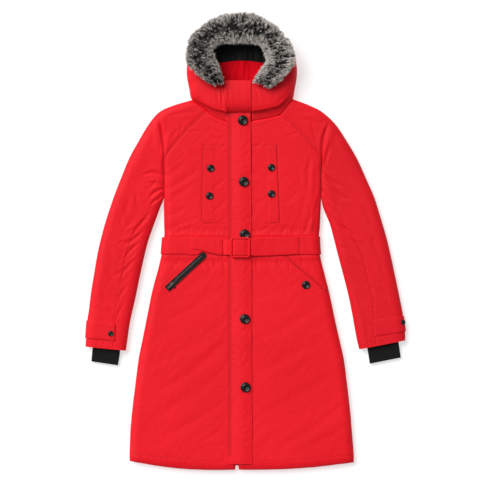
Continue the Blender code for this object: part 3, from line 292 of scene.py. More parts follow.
BELT_LEFT_FRONT = (
    (-67.0, 3.4, -29.0, BELT_FRONT_Z),
    (-105.0, 8.4, -29.0, BELT_FRONT_Z),
    (-121.0, 10.0, -29.6, BELT_FRONT_Z),
    (-131.0, 11.0, -37.5, BELT_FRONT_Z),
    (-150.0, 12.0, -39.6, BELT_FRONT_Z),
)
SIDE_BELT_Y = {-1: (10.8, -36.8), 1: (12.6, -37.4)}
BACK_BELT = (-168.0, 142.0)
BUCKLE = (-42.3, 13.2, 10.8, -46.1, 6.2)
BUCKLE_Z = (36.8, 40.4)
BUTTONS = (  # name, x, y, radius, height over the floor, turn of its holes in degrees
    ("button_front_1", -7.6, 337.3, BIG_R, OVER_FLAP_Z, 12.0),
    ("button_front_2", -4.8, 165.9, BIG_R, OVER_FLAP_Z, 38.0),
    ("button_front_3", -2.2, 18.9, BIG_R, OVER_FLAP_Z, 5.0),
    ("button_front_4", -1.7, -217.7, BIG_R, OVER_FLAP_Z, 55.0),
    ("button_front_5", 0.0, -408.4, BIG_R, OVER_FLAP_Z, 20.0),
    ("button_chest_1", -97.2, 203.4, SMALL_R, 28.2, 30.0),
    ("button_chest_2", -100.8, 126.4, SMALL_R, 28.2, 48.0),
    ("button_chest_3", 72.2, 205.7, SMALL_R, 28.2, 10.0),
    ("button_chest_4", 72.5, 132.0, SMALL_R, 28.2, 64.0),
    ("button_pocket", 168.8, -122.5, POCKET_R, BODY_Z + GAP, 24.0),
)
CHEST_LEFT = ((-117.6, 272.0), (-86.0, 272.0), (-86.0, 50.5), (-121.8, 50.5))
CHEST_RIGHT = ((58.0, 266.0), (86.0, 271.7), (94.6, 51.0), (60.0, 50.5))
WELT_T = 0.8
NECK_LOOK = 6.0
SLANT = ((111.5, -43.5), (214.0, -131.0), 5.0)


def photo(px, py):
    """The plan point, mm, that the photograph shows at px, py."""
    return (px - 245.5) * 2.8, (241.05 - py) * 2.8


# ---- curves and noise ---------------------------------------------------------
def roll(t):
    """Quarter ellipse from 0 to 1."""
    return np.sqrt(np.maximum(0.0, 1.0 - (1.0 - np.clip(t, 0.0, 1.0)) ** 2))


def smooth(a, b, t):
    t = np.clip((np.asarray(t, float) - a) / (b - a), 0.0, 1.0)
    return t * t * (3 - 2 * t)


def spline(table, t):
    """Catmull-Rom curve through the table's rows, which lie at whole t."""
    p = np.asarray(table, float)
    t = np.clip(np.atleast_1d(np.asarray(t, float)), 0, len(p) - 1)
    i = np.minimum(t.astype(int), len(p) - 2)
    u = (t - i)[:, None]
    p = np.vstack([2 * p[0] - p[1], p, 2 * p[-1] - p[-2]])
    a, b, c, d = p[i], p[i + 1], p[i + 2], p[i + 3]
    return 0.5 * (2 * b + (c - a) * u + (2 * a - 5 * b + 4 * c - d) * u**2 + (3 * b - a - 3 * c + d) * u**3)


def linear(table, t):
    p = np.asarray(table, float)
    t = np.clip(np.atleast_1d(np.asarray(t, float)), 0, len(p) - 1)
    i = np.minimum(t.astype(int), len(p) - 2)
    u = (t - i)[:, None]
    return p[i] * (1 - u) + p[i + 1] * u


def even(table, columns, step, curve=spline):
    """Values of t that space the curve's points by step mm."""
    t = np.linspace(0, len(table) - 1, 24 * (len(table) - 1) + 1)
    p = curve(table, t)[:, columns]
    run = np.concatenate([[0], np.cumsum(np.linalg.norm(np.diff(p, axis=0), axis=1))])
    count = max(2, int(round(run[-1] / step)) + 1)
    return np.interp(np.linspace(0, run[-1], count), run, t)


def noise(x, y, seed=0):
    """Gradient noise of unit cells, about -1 to 1."""
    x, y = np.broadcast_arrays(np.asarray(x, float), np.asarray(y, float))
    xi, yi = np.floor(x), np.floor(y)
    u, v = x - xi, y - yi
    xi, yi = xi.astype(np.int64), yi.astype(np.int64)

    def corner(a, b, du, dv):
        h = ((xi + a) * 374761393 + (yi + b) * 668265263 + seed * 362437) & 0xFFFFFFFF
        h = ((h ^ (h >> 13)) * 1274126177) & 0xFFFFFFFF
        h = (h ^ (h >> 16)) / 4294967296.0 * 2 * pi
        return np.cos(h) * du + np.sin(h) * dv

    fu, fv = u * u * u * (u * (u * 6 - 15) + 10), v * v * v * (v * (v * 6 - 15) + 10)
    top = corner(0, 0, u, v) * (1 - fu) + corner(1, 0, u - 1, v) * fu
    low = corner(0, 1, u, v - 1) * (1 - fu) + corner(1, 1, u - 1, v - 1) * fu
    return 1.5 * (top * (1 - fv) + low * fv)


def turned(x, y, degrees):
    c, s = cos(radians(degrees)), sin(radians(degrees))
    return x * c + y * s, -x * s + y * c


def drag(x, y, degrees, length, width, seed):
    """Noise drawn out along a direction, as cloth pulled that way wrinkles."""
    a, b = turned(x, y, degrees)
    b = b + 6.0 * noise(a / 70.0, b / 70.0, seed + 5)
    return noise(a / length, b / width, seed)


def crinkle(x, y, size, seed):
    """Small sharp-edged wrinkles."""
    a = x + 0.4 * size * noise(x / size / 1.7, y / size / 1.7, seed + 1)
    b = y + 0.4 * size * noise(x / size / 1.7 + 9, y / size / 1.7, seed + 2)
    return 1.0 - 2.6 * np.abs(noise(a / size, b / size, seed))


def creases(x, y, rows):
    """Sum of soft troughs and ridges. Rows: x, y of each end, bow, half width, height."""
    out = np.zeros(np.shape(x))
    fx, fy, fo = x.ravel(), y.ravel(), out.ravel()
    for x0, y0, x1, y1, bow, w, h in rows:
        dx, dy = x1 - x0, y1 - y0
        run = hypot(dx, dy)
        if run < 1e-6:
            continue
        reach = 3.2 * w + abs(bow)
        m = np.nonzero(
            (fx > min(x0, x1) - reach) & (fx < max(x0, x1) + reach)
            & (fy > min(y0, y1) - reach) & (fy < max(y0, y1) + reach)
        )[0]
        if not len(m):
            continue
        px, py = fx[m] - x0, fy[m] - y0
        t = (px * dx + py * dy) / run**2
        d = (px * dy - py * dx) / run
        k = np.clip(t, 0.0, 1.0)
        e = (d - bow * 4 * k * (1 - k)) / (w * (0.55 + 0.45 * np.sin(pi * k)))
        over = (t - k) * run / w
        q = e * e + over * over
        taper = np.sqrt(np.maximum(4 * k * (1 - k), 0.0)) * 0.9 + 0.1
        fo[m] += h * taper * (np.exp(-q) - 0.42 * np.exp(-q / 4.5))
    return fo.reshape(np.shape(x))


def distance(x, y, line):
    """Distance from each point to a polyline."""
    best = np.full(np.shape(x), 1e9)
    for (ax, ay), (bx, by) in zip(line, line[1:]):
        dx, dy = bx - ax, by - ay
        t = np.clip(((x - ax) * dx + (y - ay) * dy) / max(dx * dx + dy * dy, 1e-9), 0, 1)
        best = np.minimum(best, np.hypot(x - ax - dx * t, y - ay - dy * t))
    return best


def grooves(x, y, lines):
    """Seams and stitch lines pressed into the cloth. Rows: line, half width, depth."""
    out = np.zeros(np.shape(x))
    for line, w, depth in lines:
        xs, ys = [p[0] for p in line], [p[1] for p in line]
        m = (x > min(xs) - 4 * w) & (x < max(xs) + 4 * w) & (y > min(ys) - 4 * w) & (y < max(ys) + 4 * w)
        if m.any():
            out[m] -= depth * np.exp(-((distance(x[m], y[m], line) / w) ** 2))
    return out


def along(line, step, start=0.0):
    """Points and directions at equal steps along a polyline."""
    p = np.asarray(line, float)
    run = np.concatenate([[0], np.cumsum(np.linalg.norm(np.diff(p, axis=0), axis=1))])
    at = np.arange(start, run[-1], step)
    xy = np.stack([np.interp(at, run, p[:, 0]), np.interp(at, run, p[:, 1])], 1)
    ahead = np.stack([np.interp(at + 0.5, run, p[:, 0]), np.interp(at + 0.5, run, p[:, 1])], 1)
    behind = np.stack([np.interp(at - 0.5, run, p[:, 0]), np.interp(at - 0.5, run, p[:, 1])], 1)
    d = ahead - behind
    return xy, d / np.maximum(np.linalg.norm(d, axis=1), 1e-9)[:, None]


def puckers(line, spacing, length, angle, width, height, side, seed):
    """Short wrinkles that start on a seam, as uneven as pulled thread makes them."""
    dice = np.random.default_rng(seed)
    rows = []
    xy, d = along(line, spacing, spacing * 0.4)
    for (x, y), (dx, dy) in zip(xy, d):
        if dice.random() < 0.22:
            continue
        a = radians(angle + dice.normal(0, 13)) * side
        ux, uy = dx * cos(a) - dy * sin(a), dx * sin(a) + dy * cos(a)
        run = length * dice.uniform(0.45, 1.35)
        slip = dice.uniform(-0.5, 0.5) * spacing
        x0, y0 = x + dx * slip, y + dy * slip
        w = width * dice.uniform(0.7, 1.3)
        h = 1.5 * height * dice.uniform(0.4, 1.3) * (1 if dice.random() < 0.3 else -1)
        rows.append((x0, y0, x0 + ux * run, y0 + uy * run, dice.normal(0, 0.06) * run, w, h))
    return rows


def offset(line, by):
    """The polyline moved sideways, to its left for a positive distance."""
    p = np.asarray(line, float)
    d = np.gradient(p, axis=0)
    d /= np.linalg.norm(d, axis=1)[:, None]
    return [(x - dy * by, y + dx * by) for (x, y), (dx, dy) in zip(p, d)]


# ---- meshes -------------------------------------------------------------------
made = {}


def make(name, verts, faces, materials, angle=40.0, which=None, uv=None):
    """A closed piece from points in mm, its faces turned outwards."""
    verts = np.asarray(verts, float)
    quads = [np.asarray(f) for f in faces if isinstance(f, np.ndarray)]
    others = [list(map(int, f)) for f in faces if not isinstance(f, np.ndarray)]
    volume = 0.0
    centre = verts.mean(0)
    for q in quads:
        for k in range(1, q.shape[1] - 1):
            a, b, c = verts[q[:, 0]] - centre, verts[q[:, k]] - centre, verts[q[:, k + 1]] - centre
            volume += float((a * np.cross(b, c)).sum())
    for f in others:
        p = verts[f] - centre
        n = np.cross(p, np.roll(p, -1, axis=0)).sum(0)
        volume += float(np.dot(p.mean(0), n))
    whole = [row for q in quads for row in q.tolist()] + others
    if volume < 0:
        whole = [row[::-1] for row in whole]
    mesh = bpy.data.meshes.new(name)
    mesh.from_pydata((verts * MM).tolist(), [], whole)
    for m in materials if isinstance(materials, (list, tuple)) else [materials]:
        mesh.materials.append(m)
    if which is not None:
        mesh.polygons.foreach_set("material_index", np.asarray(which, np.int32))
    mesh.shade_smooth()
    mesh.set_sharp_from_angle(angle=radians(angle))
    mesh.update()
    ob = bpy.data.objects.new(name, mesh)
    bpy.context.scene.collection.objects.link(ob)
    made[name] = ob
    return ob


def grid_faces(rows, cols, start=0):
    i = np.arange(rows - 1)[:, None] * cols + np.arange(cols - 1)[None, :] + start
    return np.stack([i, i + 1, i + cols + 1, i + cols], -1).reshape(-1, 4)


def rim_of(rows, cols, start=0):
    """Indices of a grid's outline, once round."""
    i = np.arange(rows * cols).reshape(rows, cols) + start
    return np.concatenate([i[0, :], i[1:, -1], i[-1, -2::-1], i[-2:0:-1, 0]])


def slab(name, top, materials, under=None, flat=None, angle=40.0):
    """Closed piece from its top skin and either its under skin or the height of a flat one."""
    rows, cols = top.shape[:2]
    verts = top.reshape(-1, 3)
    faces = [grid_faces(rows, cols)]
    ring = rim_of(rows, cols)
    n = len(verts)
    if under is not None:
        low = under.reshape(-1, 3)
        faces.append(grid_faces(rows, cols, n)[:, ::-1])
        other = rim_of(rows, cols, n)
        verts = np.vstack([verts, low])
    else:
        low = verts[ring].copy()
        low[:, 2] = flat
        other = np.arange(len(ring)) + n
        verts = np.vstack([verts, low])
        faces.append(other.tolist()[::-1])
    a, b = ring, np.roll(ring, -1)
    c, d = np.roll(other, -1), other
    faces.append(np.stack([b, a, d, c], -1))
    order = [f for f in faces if isinstance(f, np.ndarray)] + [f for f in faces if not isinstance(f, np.ndarray)]
    return make(name, verts, order, materials, angle)


def tube_of(name, rings, materials, closed_ends=True, angle=40.0):
    """Closed loft through rings (stations, points, 3)."""
    count, n = rings.shape[:2]
    i = np.arange(count - 1)[:, None] * n + np.arange(n)[None, :]
    j = np.arange(count - 1)[:, None] * n + (np.arange(n)[None, :] + 1) % n
    quads = np.stack([i, j, j + n, i + n], -1).reshape(-1, 4)
    faces = [quads]
    if closed_ends:
        faces += [list(range(n))[::-1], list(range((count - 1) * n, count * n))]
    return make(name, rings.reshape(-1, 3), faces, materials, angle)


def stand_for(ob, node, body="coat"):
    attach(ob, body)
    if node:
        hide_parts(*([node] if isinstance(node, str) else node))
    return ob


def cloth(ob, node):
    """Puts a cloth piece on the coat's body and hides the CAD part it stands for."""
    stand_for(ob, node)
    return ob


# ---- materials ----------------------------------------------------------------
class Shader:
    """A Principled material with short ways to add nodes."""

    def __init__(self, name, roughness=0.7, **sockets):
        self.mat = bpy.data.materials.new(name)
        self.mat.use_nodes = True
        self.tree = self.mat.node_tree
        self.bsdf = self.tree.nodes["Principled BSDF"]
        self.bsdf.inputs["Roughness"].default_value = roughness
        for key, value in sockets.items():
            self.bsdf.inputs[key.replace("_", " ")].default_value = value
        self.coords = self.node("ShaderNodeTexCoord").outputs["Object"]

    def node(self, kind, **values):
        made = self.tree.nodes.new(kind)
        for key, value in values.items():
            setattr(made, key, value)
        return made

    def link(self, a, b):
        self.tree.links.new(a, b)

    def noise(self, scale, detail=3.0, rough=0.5, distortion=0.0, stretch=None, turn=0.0):
        n = self.node("ShaderNodeTexNoise")
        n.inputs["Scale"].default_value = scale
        n.inputs["Detail"].default_value = detail
        n.inputs["Roughness"].default_value = rough
        n.inputs["Distortion"].default_value = distortion
        source = self.coords
        if stretch or turn:
            m = self.node("ShaderNodeMapping")
            m.inputs["Scale"].default_value = stretch or (1, 1, 1)
            m.inputs["Rotation"].default_value = (0, 0, radians(turn))
            self.link(source, m.inputs["Vector"])
            source = m.outputs["Vector"]
        self.link(source, n.inputs["Vector"])
        return n.outputs["Fac"]

    def wave(self, scale, direction, distortion=0.0, turn=0.0):
        w = self.node("ShaderNodeTexWave", wave_type="BANDS", bands_direction=direction)
        w.inputs["Scale"].default_value = scale
        w.inputs["Distortion"].default_value = distortion
        w.inputs["Detail"].default_value = 1.0
        source = self.coords
        if turn:
            m = self.node("ShaderNodeMapping")
            m.inputs["Rotation"].default_value = (0, 0, radians(turn))
            self.link(source, m.inputs["Vector"])
            source = m.outputs["Vector"]
        self.link(source, w.inputs["Vector"])
        return w.outputs["Fac"]

    def ramp(self, source, stops):
        r = self.node("ShaderNodeValToRGB")
        while len(r.color_ramp.elements) < len(stops):
            r.color_ramp.elements.new(0.5)
        for e, (at, colour) in zip(r.color_ramp.elements, stops):
            e.position = at
            e.color = (*colour, 1.0)
        self.link(source, r.inputs["Fac"])
        return r.outputs["Color"]

    def mix(self, how, a, b, share=1.0):
        m = self.node("ShaderNodeMix", data_type="RGBA", blend_type=how)
        m.inputs[0].default_value = share
        self.link(a, m.inputs[6])
        self.link(b, m.inputs[7])
        return m.outputs[2]

    def maths(self, how, a, b):
        m = self.node("ShaderNodeMath", operation=how)
        for socket, value in zip(m.inputs, (a, b)):
            if isinstance(value, (int, float)):
                socket.default_value = value
            else:
                self.link(value, socket)
        return m.outputs[0]

    def bump(self, source, strength, depth):
        b = self.node("ShaderNodeBump")
        b.inputs["Strength"].default_value = strength
        b.inputs["Distance"].default_value = depth
        self.link(source, b.inputs["Height"])
        socket = self.bsdf.inputs["Normal"]
        if socket.links:
            self.link(socket.links[0].from_socket, b.inputs["Normal"])
        self.link(b.outputs["Normal"], socket)
        return b

    def colour(self, source):
        self.link(source, self.bsdf.inputs["Base Color"])

    def rough(self, source, low, high):
        r = self.node("ShaderNodeMapRange")
        r.inputs["To Min"].default_value = low
        r.inputs["To Max"].default_value = high
        self.link(source, r.inputs["Value"])
        self.link(r.outputs["Result"], self.bsdf.inputs["Roughness"])


def red_cloth(name, low=(0.70, 0.0026, 0.0105), high=(0.80, 0.0048, 0.0148), turn=0.0, crease=1.0, sheen=0.06, shine=0.20, painted_shade_right=1.0):
    s = Shader(name, 0.62, Sheen_Weight=sheen, Sheen_Roughness=0.45, Sheen_Tint=(1.0, 0.45, 0.42, 1.0), Specular_IOR_Level=shine)
    broad = s.noise(5.0, 3.0, 0.5, 0.6, turn=turn)
    mottle = s.noise(70.0, 5.0, 0.6, 0.4, turn=turn)
    tone = s.maths("ADD", s.maths("MULTIPLY", broad, 0.6), s.maths("MULTIPLY", mottle, 0.4))
    place = s.node("ShaderNodeSeparateXYZ")
    s.link(s.coords, place.inputs["Vector"])
    # painted shade: the tone darkens with +X, so the red cloth is darker to the right, away from the light
    tone = s.maths("SUBTRACT", tone, s.maths("MULTIPLY", s.maths("MAXIMUM", place.outputs["X"], 0.0), 0.45))
    own = s.ramp(tone, [(0.28, low), (0.50, tuple((a + b) / 2 for a, b in zip(low, high))), (0.70, high)])
    # painted shade: past x = 170 to 250 mm the red is dimmed, darkening the right sleeve and its tab where less light
    # falls
    if painted_shade_right < 1.0:
        fade = s.node("ShaderNodeMapRange")
        fade.inputs["From Min"].default_value, fade.inputs["From Max"].default_value = 0.17, 0.25
        s.link(place.outputs["X"], fade.inputs["Value"])
        shade = s.ramp(fade.outputs["Result"], [(0.0, (1.0, 1.0, 1.0)), (1.0, (painted_shade_right, 1.0, 1.0))])
        own = s.mix("MULTIPLY", own, shade)
    s.colour(own)
    s.rough(mottle, 0.54, 0.70)
    warp, weft = s.wave(430.0, "X", 0.4, turn), s.wave(430.0, "Y", 0.4, turn)
    s.bump(s.maths("MULTIPLY", warp, weft), 0.16, 0.00012)
    s.bump(s.noise(150.0, 3.0, 0.5, 0.8), 0.22 * crease, 0.0006)
    s.bump(s.noise(46.0, 3.0, 0.5, 1.2), 0.20 * crease, 0.0022)
    return s.mat


def black_cloth(name, colour=(0.0022, 0.0020, 0.0020)):
    s = Shader(name, 0.5, Specular_IOR_Level=0.12)
    tone = s.noise(60.0, 4.0, 0.6)
    s.colour(s.ramp(tone, [(0.3, tuple(c * 0.6 for c in colour)), (0.7, tuple(c * 1.8 for c in colour))]))
    s.rough(tone, 0.45, 0.62)
    s.bump(s.wave(520.0, "X", 0.3, 45.0), 0.2, 0.0001)
    s.bump(s.noise(60.0, 3.0, 0.5, 1.0), 0.2, 0.0015)
    return s.mat


def knit_yarn(name):
    s = Shader(name, 0.9, Sheen_Weight=0.04, Sheen_Roughness=0.6, Specular_IOR_Level=0.08)
    tone = s.noise(400.0, 4.0, 0.65)
    s.colour(s.ramp(tone, [(0.3, (0.0055, 0.0052, 0.0055)), (0.7, (0.0125, 0.0115, 0.0118))]))
    s.bump(s.noise(900.0, 2.0), 0.5, 0.0003)
    return s.mat


def button_gloss(name):
    s = Shader(name, 0.3, Specular_IOR_Level=0.34)
    tone = s.noise(120.0, 4.0, 0.6)
    s.colour(s.ramp(tone, [(0.3, (0.0025, 0.0027, 0.0026)), (0.72, (0.0080, 0.0080, 0.0076))]))
    s.rough(tone, 0.22, 0.32)
    s.bump(s.noise(260.0, 3.0), 0.05, 0.0003)
    return s.mat


def thread(name, low, high):
    s = Shader(name, 0.75, Specular_IOR_Level=0.25)
    s.colour(s.ramp(s.noise(900.0, 2.0), [(0.3, low), (0.7, high)]))
    s.bump(s.wave(900.0, "DIAGONAL", 0.5), 0.3, 0.0001)
    return s.mat


def dark_metal(name, low=(0.030, 0.028, 0.028), high=(0.075, 0.070, 0.070), metallic=0.8, rough=(0.30, 0.45)):
    s = Shader(name, 0.35, Metallic=metallic)
    tone = s.noise(500.0, 4.0, 0.6, stretch=(1, 6, 1), turn=43.0)
    s.colour(s.ramp(tone, [(0.3, low), (0.7, high)]))
    s.rough(tone, *rough)
    s.bump(s.noise(900.0, 2.0), 0.06, 0.0002)
    return s.mat


def binding(name):
    s = Shader(name, 0.5, Specular_IOR_Level=0.16)
    tone = s.noise(260.0, 4.0, 0.6)
    s.colour(s.ramp(tone, [(0.3, (0.0045, 0.0055, 0.0052)), (0.7, (0.0120, 0.0135, 0.0130))]))
    s.rough(tone, 0.42, 0.6)
    s.bump(s.noise(500.0, 3.0), 0.25, 0.0003)
    return s.mat


def fur_hair(name):
    s = Shader(name, 0.5, Specular_IOR_Level=0.2)
    uv = s.node("ShaderNodeUVMap", uv_map="OFBake")
    split = s.node("ShaderNodeSeparateXYZ")
    s.link(uv.outputs["UV"], split.inputs["Vector"])
    shade = s.node("ShaderNodeTexNoise", noise_dimensions="1D")
    shade.inputs["Scale"].default_value = 60.0
    shade.inputs["Detail"].default_value = 2.0
    s.link(split.outputs["X"], shade.inputs["W"])
    late = s.maths("ADD", split.outputs["Y"], s.maths("MULTIPLY", s.maths("SUBTRACT", shade.outputs["Fac"], 0.5), 1.5))
    # the fur is a little darker on the left and paler on the right
    place = s.node("ShaderNodeSeparateXYZ")
    s.link(s.coords, place.inputs["Vector"])
    late = s.maths("ADD", late, s.maths("MULTIPLY", place.outputs["X"], 0.55))
    # the hair darkens to its roots: partly the fur's own dark underfur, partly painted shade deep in the hair
    s.colour(s.ramp(late, [
        (0.00, (0.0040, 0.0040, 0.0042)),
        (0.34, (0.0095, 0.0090, 0.0088)),
        (0.52, (0.040, 0.036, 0.033)),
        (0.70, (0.27, 0.243, 0.220)),
        (0.90, (0.92, 0.86, 0.80)),
    ]))
    return s.mat


RED = red_cloth("red_shell_cloth")
RED_SLEEVE = red_cloth("red_sleeve_cloth", turn=18.0)
# the right sleeve's cloth: the same red with painted shade over its right part
RED_SLEEVE_RIGHT_SHADED = red_cloth("red_sleeve_right_shaded_cloth", turn=-18.0, painted_shade_right=0.915)
RED_SMALL = red_cloth("red_trim_cloth", crease=0.6)
# the right tab's cloth: the same red with painted shade over its right part
RED_TAB_RIGHT_SHADED = red_cloth("red_tab_right_shaded_cloth", crease=0.6, painted_shade_right=0.91)
# painted shade: a darker copy of the red cloth for the inside of the hood's neck, which lies in shade
RED_INSIDE_SHADED = red_cloth("red_inside_shaded_cloth", low=(0.62, 0.0004, 0.0074), high=(0.76, 0.0008, 0.0108), sheen=0.0, shine=0.05)
LINING_BLACK = black_cloth("black_lining_cloth")
KNIT = knit_yarn("black_knit")
GLOSS = button_gloss("black_button")
THREAD_RED = thread("red_thread", (0.40, 0.0015, 0.007), (0.62, 0.0035, 0.012))
THREAD_HOLE = thread("button_thread", (0.20, 0.004, 0.007), (0.40, 0.008, 0.014))
THREAD_BLACK = thread("black_thread", (0.010, 0.010, 0.010), (0.035, 0.034, 0.034))
METAL = dark_metal("zip_dark_metal", (0.070, 0.064, 0.062), (0.160, 0.148, 0.143), 0.6)
TEETH = dark_metal("zip_teeth_metal", (0.060, 0.056, 0.055), (0.150, 0.138, 0.134), 0.55, (0.36, 0.50))
BIND = binding("black_binding")
FUR_MAT = fur_hair("silver_fur")
# painted shade: dark red for the strips laid in seams and slits
SEAM_SHADE = thread("red_seam_painted_shade", (0.16, 0.0006, 0.0020), (0.26, 0.0010, 0.0034))


# ---- creases listed, photo pixels -> mm ----------------------------------------
def rows_of(table, strength=1.0):
    """Rows of photo x, y at both ends, bow, half width and height in mm."""
    return [(*photo(a, b), *photo(c, d), bow, w, h * strength) for a, b, c, d, bow, w, h in table]


LEFT_SLEEVE_FOLDS = rows_of((
    (159.2, 121.0, 162.6, 143.0, -1.5, 3.0, -1.5),
    (169.0, 111.5, 181.8, 124.5, -3.5, 3.6, -0.9),
    (181.8, 121.5, 181.0, 129.5, -1.0, 3.2, -0.8),
    (158.6, 118.5, 164.4, 154.0, -5.0, 5.5, -3.2),
    (153.5, 121.0, 158.0, 150.0, -3.0, 8.0, 1.1),
    (164.6, 152.0, 164.0, 176.0, 1.0, 5.0, -1.6),
    (166.5, 128.5, 165.8, 140.0, 0.0, 6.0, -0.8),
    (177.4, 129.3, 173.0, 138.5, 2.0, 4.0, -0.9),
    (183.0, 126.5, 180.0, 133.0, 1.0, 3.5, -0.6),
    (143.5, 174.6, 163.5, 176.5, -7.0, 6.5, -1.7),
    (147.0, 181.0, 163.0, 182.5, -5.0, 5.0, 1.0),
    (149.5, 197.8, 164.0, 188.8, -4.0, 5.5, -2.4),
    (155.5, 194.5, 164.0, 192.0, -2.0, 4.0, 1.4),
    (137.2, 193.5, 142.0, 209.5, 8.0, 5.5, -1.3),
    (150.5, 205.5, 163.5, 196.0, -3.0, 4.5, -1.9),
    (148.8, 188.5, 157.0, 178.5, 3.0, 4.0, -0.9),
    (129.0, 199.0, 126.5, 216.0, 3.0, 8.0, -0.7),
    (150.0, 212.0, 135.0, 226.0, -5.0, 6.0, -1.1),
    (147.0, 219.0, 132.0, 236.5, 4.0, 5.0, -1.5),
    (140.5, 224.0, 126.0, 231.0, 3.0, 6.0, 0.9),
    (143.0, 231.0, 122.0, 246.0, -4.0, 6.0, -1.4),
    (131.5, 241.0, 118.0, 244.0, 2.0, 5.0, -0.9),
    (139.5, 243.0, 125.5, 258.0, 4.0, 5.0, -1.4),
    (137.5, 253.0, 127.0, 262.0, -3.0, 4.5, 0.8),
    (133.0, 262.0, 121.5, 277.0, 3.0, 5.0, -1.1),
    (125.5, 268.0, 112.0, 276.0, -3.0, 6.0, -0.7),
    (128.5, 285.0, 119.0, 300.0, 3.0, 5.0, -0.8),
    (116.0, 210.0, 122.5, 226.0, -3.0, 9.0, -0.7),
    (107.5, 240.0, 113.5, 258.0, 3.0, 10.0, -0.6),
    (104.0, 264.0, 114.0, 282.0, -4.0, 9.0, -0.7),
    (101.0, 292.0, 112.0, 305.0, 4.0, 7.0, -0.8),
    (97.0, 308.0, 108.5, 316.0, -2.0, 6.0, -0.7),
    (123.0, 306.0, 117.0, 318.0, 2.0, 5.0, -0.8),
    (124.0, 152.0, 138.0, 163.0, 5.0, 9.0, -0.7),
    (135.0, 128.0, 150.0, 136.0, 6.0, 10.0, -0.6),
    (160.0, 111.0, 186.0, 106.5, 3.0, 8.0, -0.6),
    (168.0, 116.0, 196.0, 112.5, -3.0, 7.0, -0.7),
    (106.5, 325.0, 109.5, 344.0, 1.0, 5.0, -0.5),
), 2.1)
RIGHT_SLEEVE_FOLDS = rows_of((
    (325.6, 138.0, 321.8, 161.0, 1.5, 3.2, -2.2),
    (321.9, 157.0, 321.0, 170.0, 0.0, 3.2, -2.0),
    (311.0, 118.5, 317.5, 142.0, 2.5, 4.5, -0.8),
    (321.8, 184.0, 322.4, 198.0, 0.0, 3.6, -1.8),
    (328.6, 123.5, 321.6, 156.0, 5.0, 5.5, -3.2),
    (334.5, 126.0, 327.8, 152.0, 3.0, 8.0, 1.0),
    (321.4, 152.0, 320.8, 178.0, -1.0, 5.0, -2.0),
    (331.5, 140.0, 325.0, 168.0, 3.0, 5.0, -1.0),
    (322.8, 172.0, 341.0, 186.5, 5.0, 6.0, -2.2),
    (324.0, 179.0, 338.0, 190.0, 3.0, 4.5, 1.3),
    (322.0, 187.0, 332.5, 204.0, 4.0, 5.5, -2.4),
    (323.5, 195.5, 338.0, 217.0, 4.0, 5.0, -1.6),
    (331.0, 190.0, 349.0, 199.5, 4.0, 7.0, -1.1),
    (328.0, 209.0, 343.0, 226.0, -4.0, 5.0, 0.9),
    (333.0, 216.0, 347.0, 231.0, 4.0, 5.0, -1.5),
    (336.0, 225.0, 354.0, 236.0, -4.0, 6.0, -1.3),
    (337.0, 235.5, 352.0, 249.0, 4.0, 5.0, -1.5),
    (344.0, 233.0, 362.0, 241.0, 3.0, 6.0, 0.9),
    (339.5, 246.0, 357.0, 256.0, -4.0, 5.5, -1.4),
    (343.0, 257.0, 355.0, 270.0, 3.0, 5.0, -1.1),
    (352.0, 262.0, 368.0, 271.0, -3.0, 6.0, -0.8),
    (347.5, 272.0, 358.0, 287.0, 3.0, 5.0, -1.0),
    (352.0, 292.0, 362.0, 306.0, -3.0, 5.0, -0.8),
    (360.0, 205.0, 371.0, 220.0, -4.0, 9.0, -0.7),
    (372.0, 236.0, 380.0, 254.0, 4.0, 9.0, -0.7),
    (380.0, 262.0, 388.0, 281.0, 3.0, 9.0, -0.6),
    (376.0, 288.0, 389.0, 299.0, -4.0, 7.0, -0.7),
    (385.0, 303.0, 396.0, 309.0, 3.0, 6.0, -0.7),
    (345.0, 148.0, 358.0, 160.0, -5.0, 9.0, -0.7),
    (336.0, 132.0, 347.0, 140.0, -5.0, 9.0, -0.6),
    (297.0, 111.0, 322.0, 113.5, -3.0, 8.0, -0.6),
    (303.0, 118.0, 324.0, 124.0, 3.0, 7.0, -0.7),
    (366.0, 322.0, 368.5, 344.0, 1.0, 5.0, -0.5),
    (352.0, 170.0, 366.0, 186.0, 4.0, 8.0, -0.6),
), 2.1)
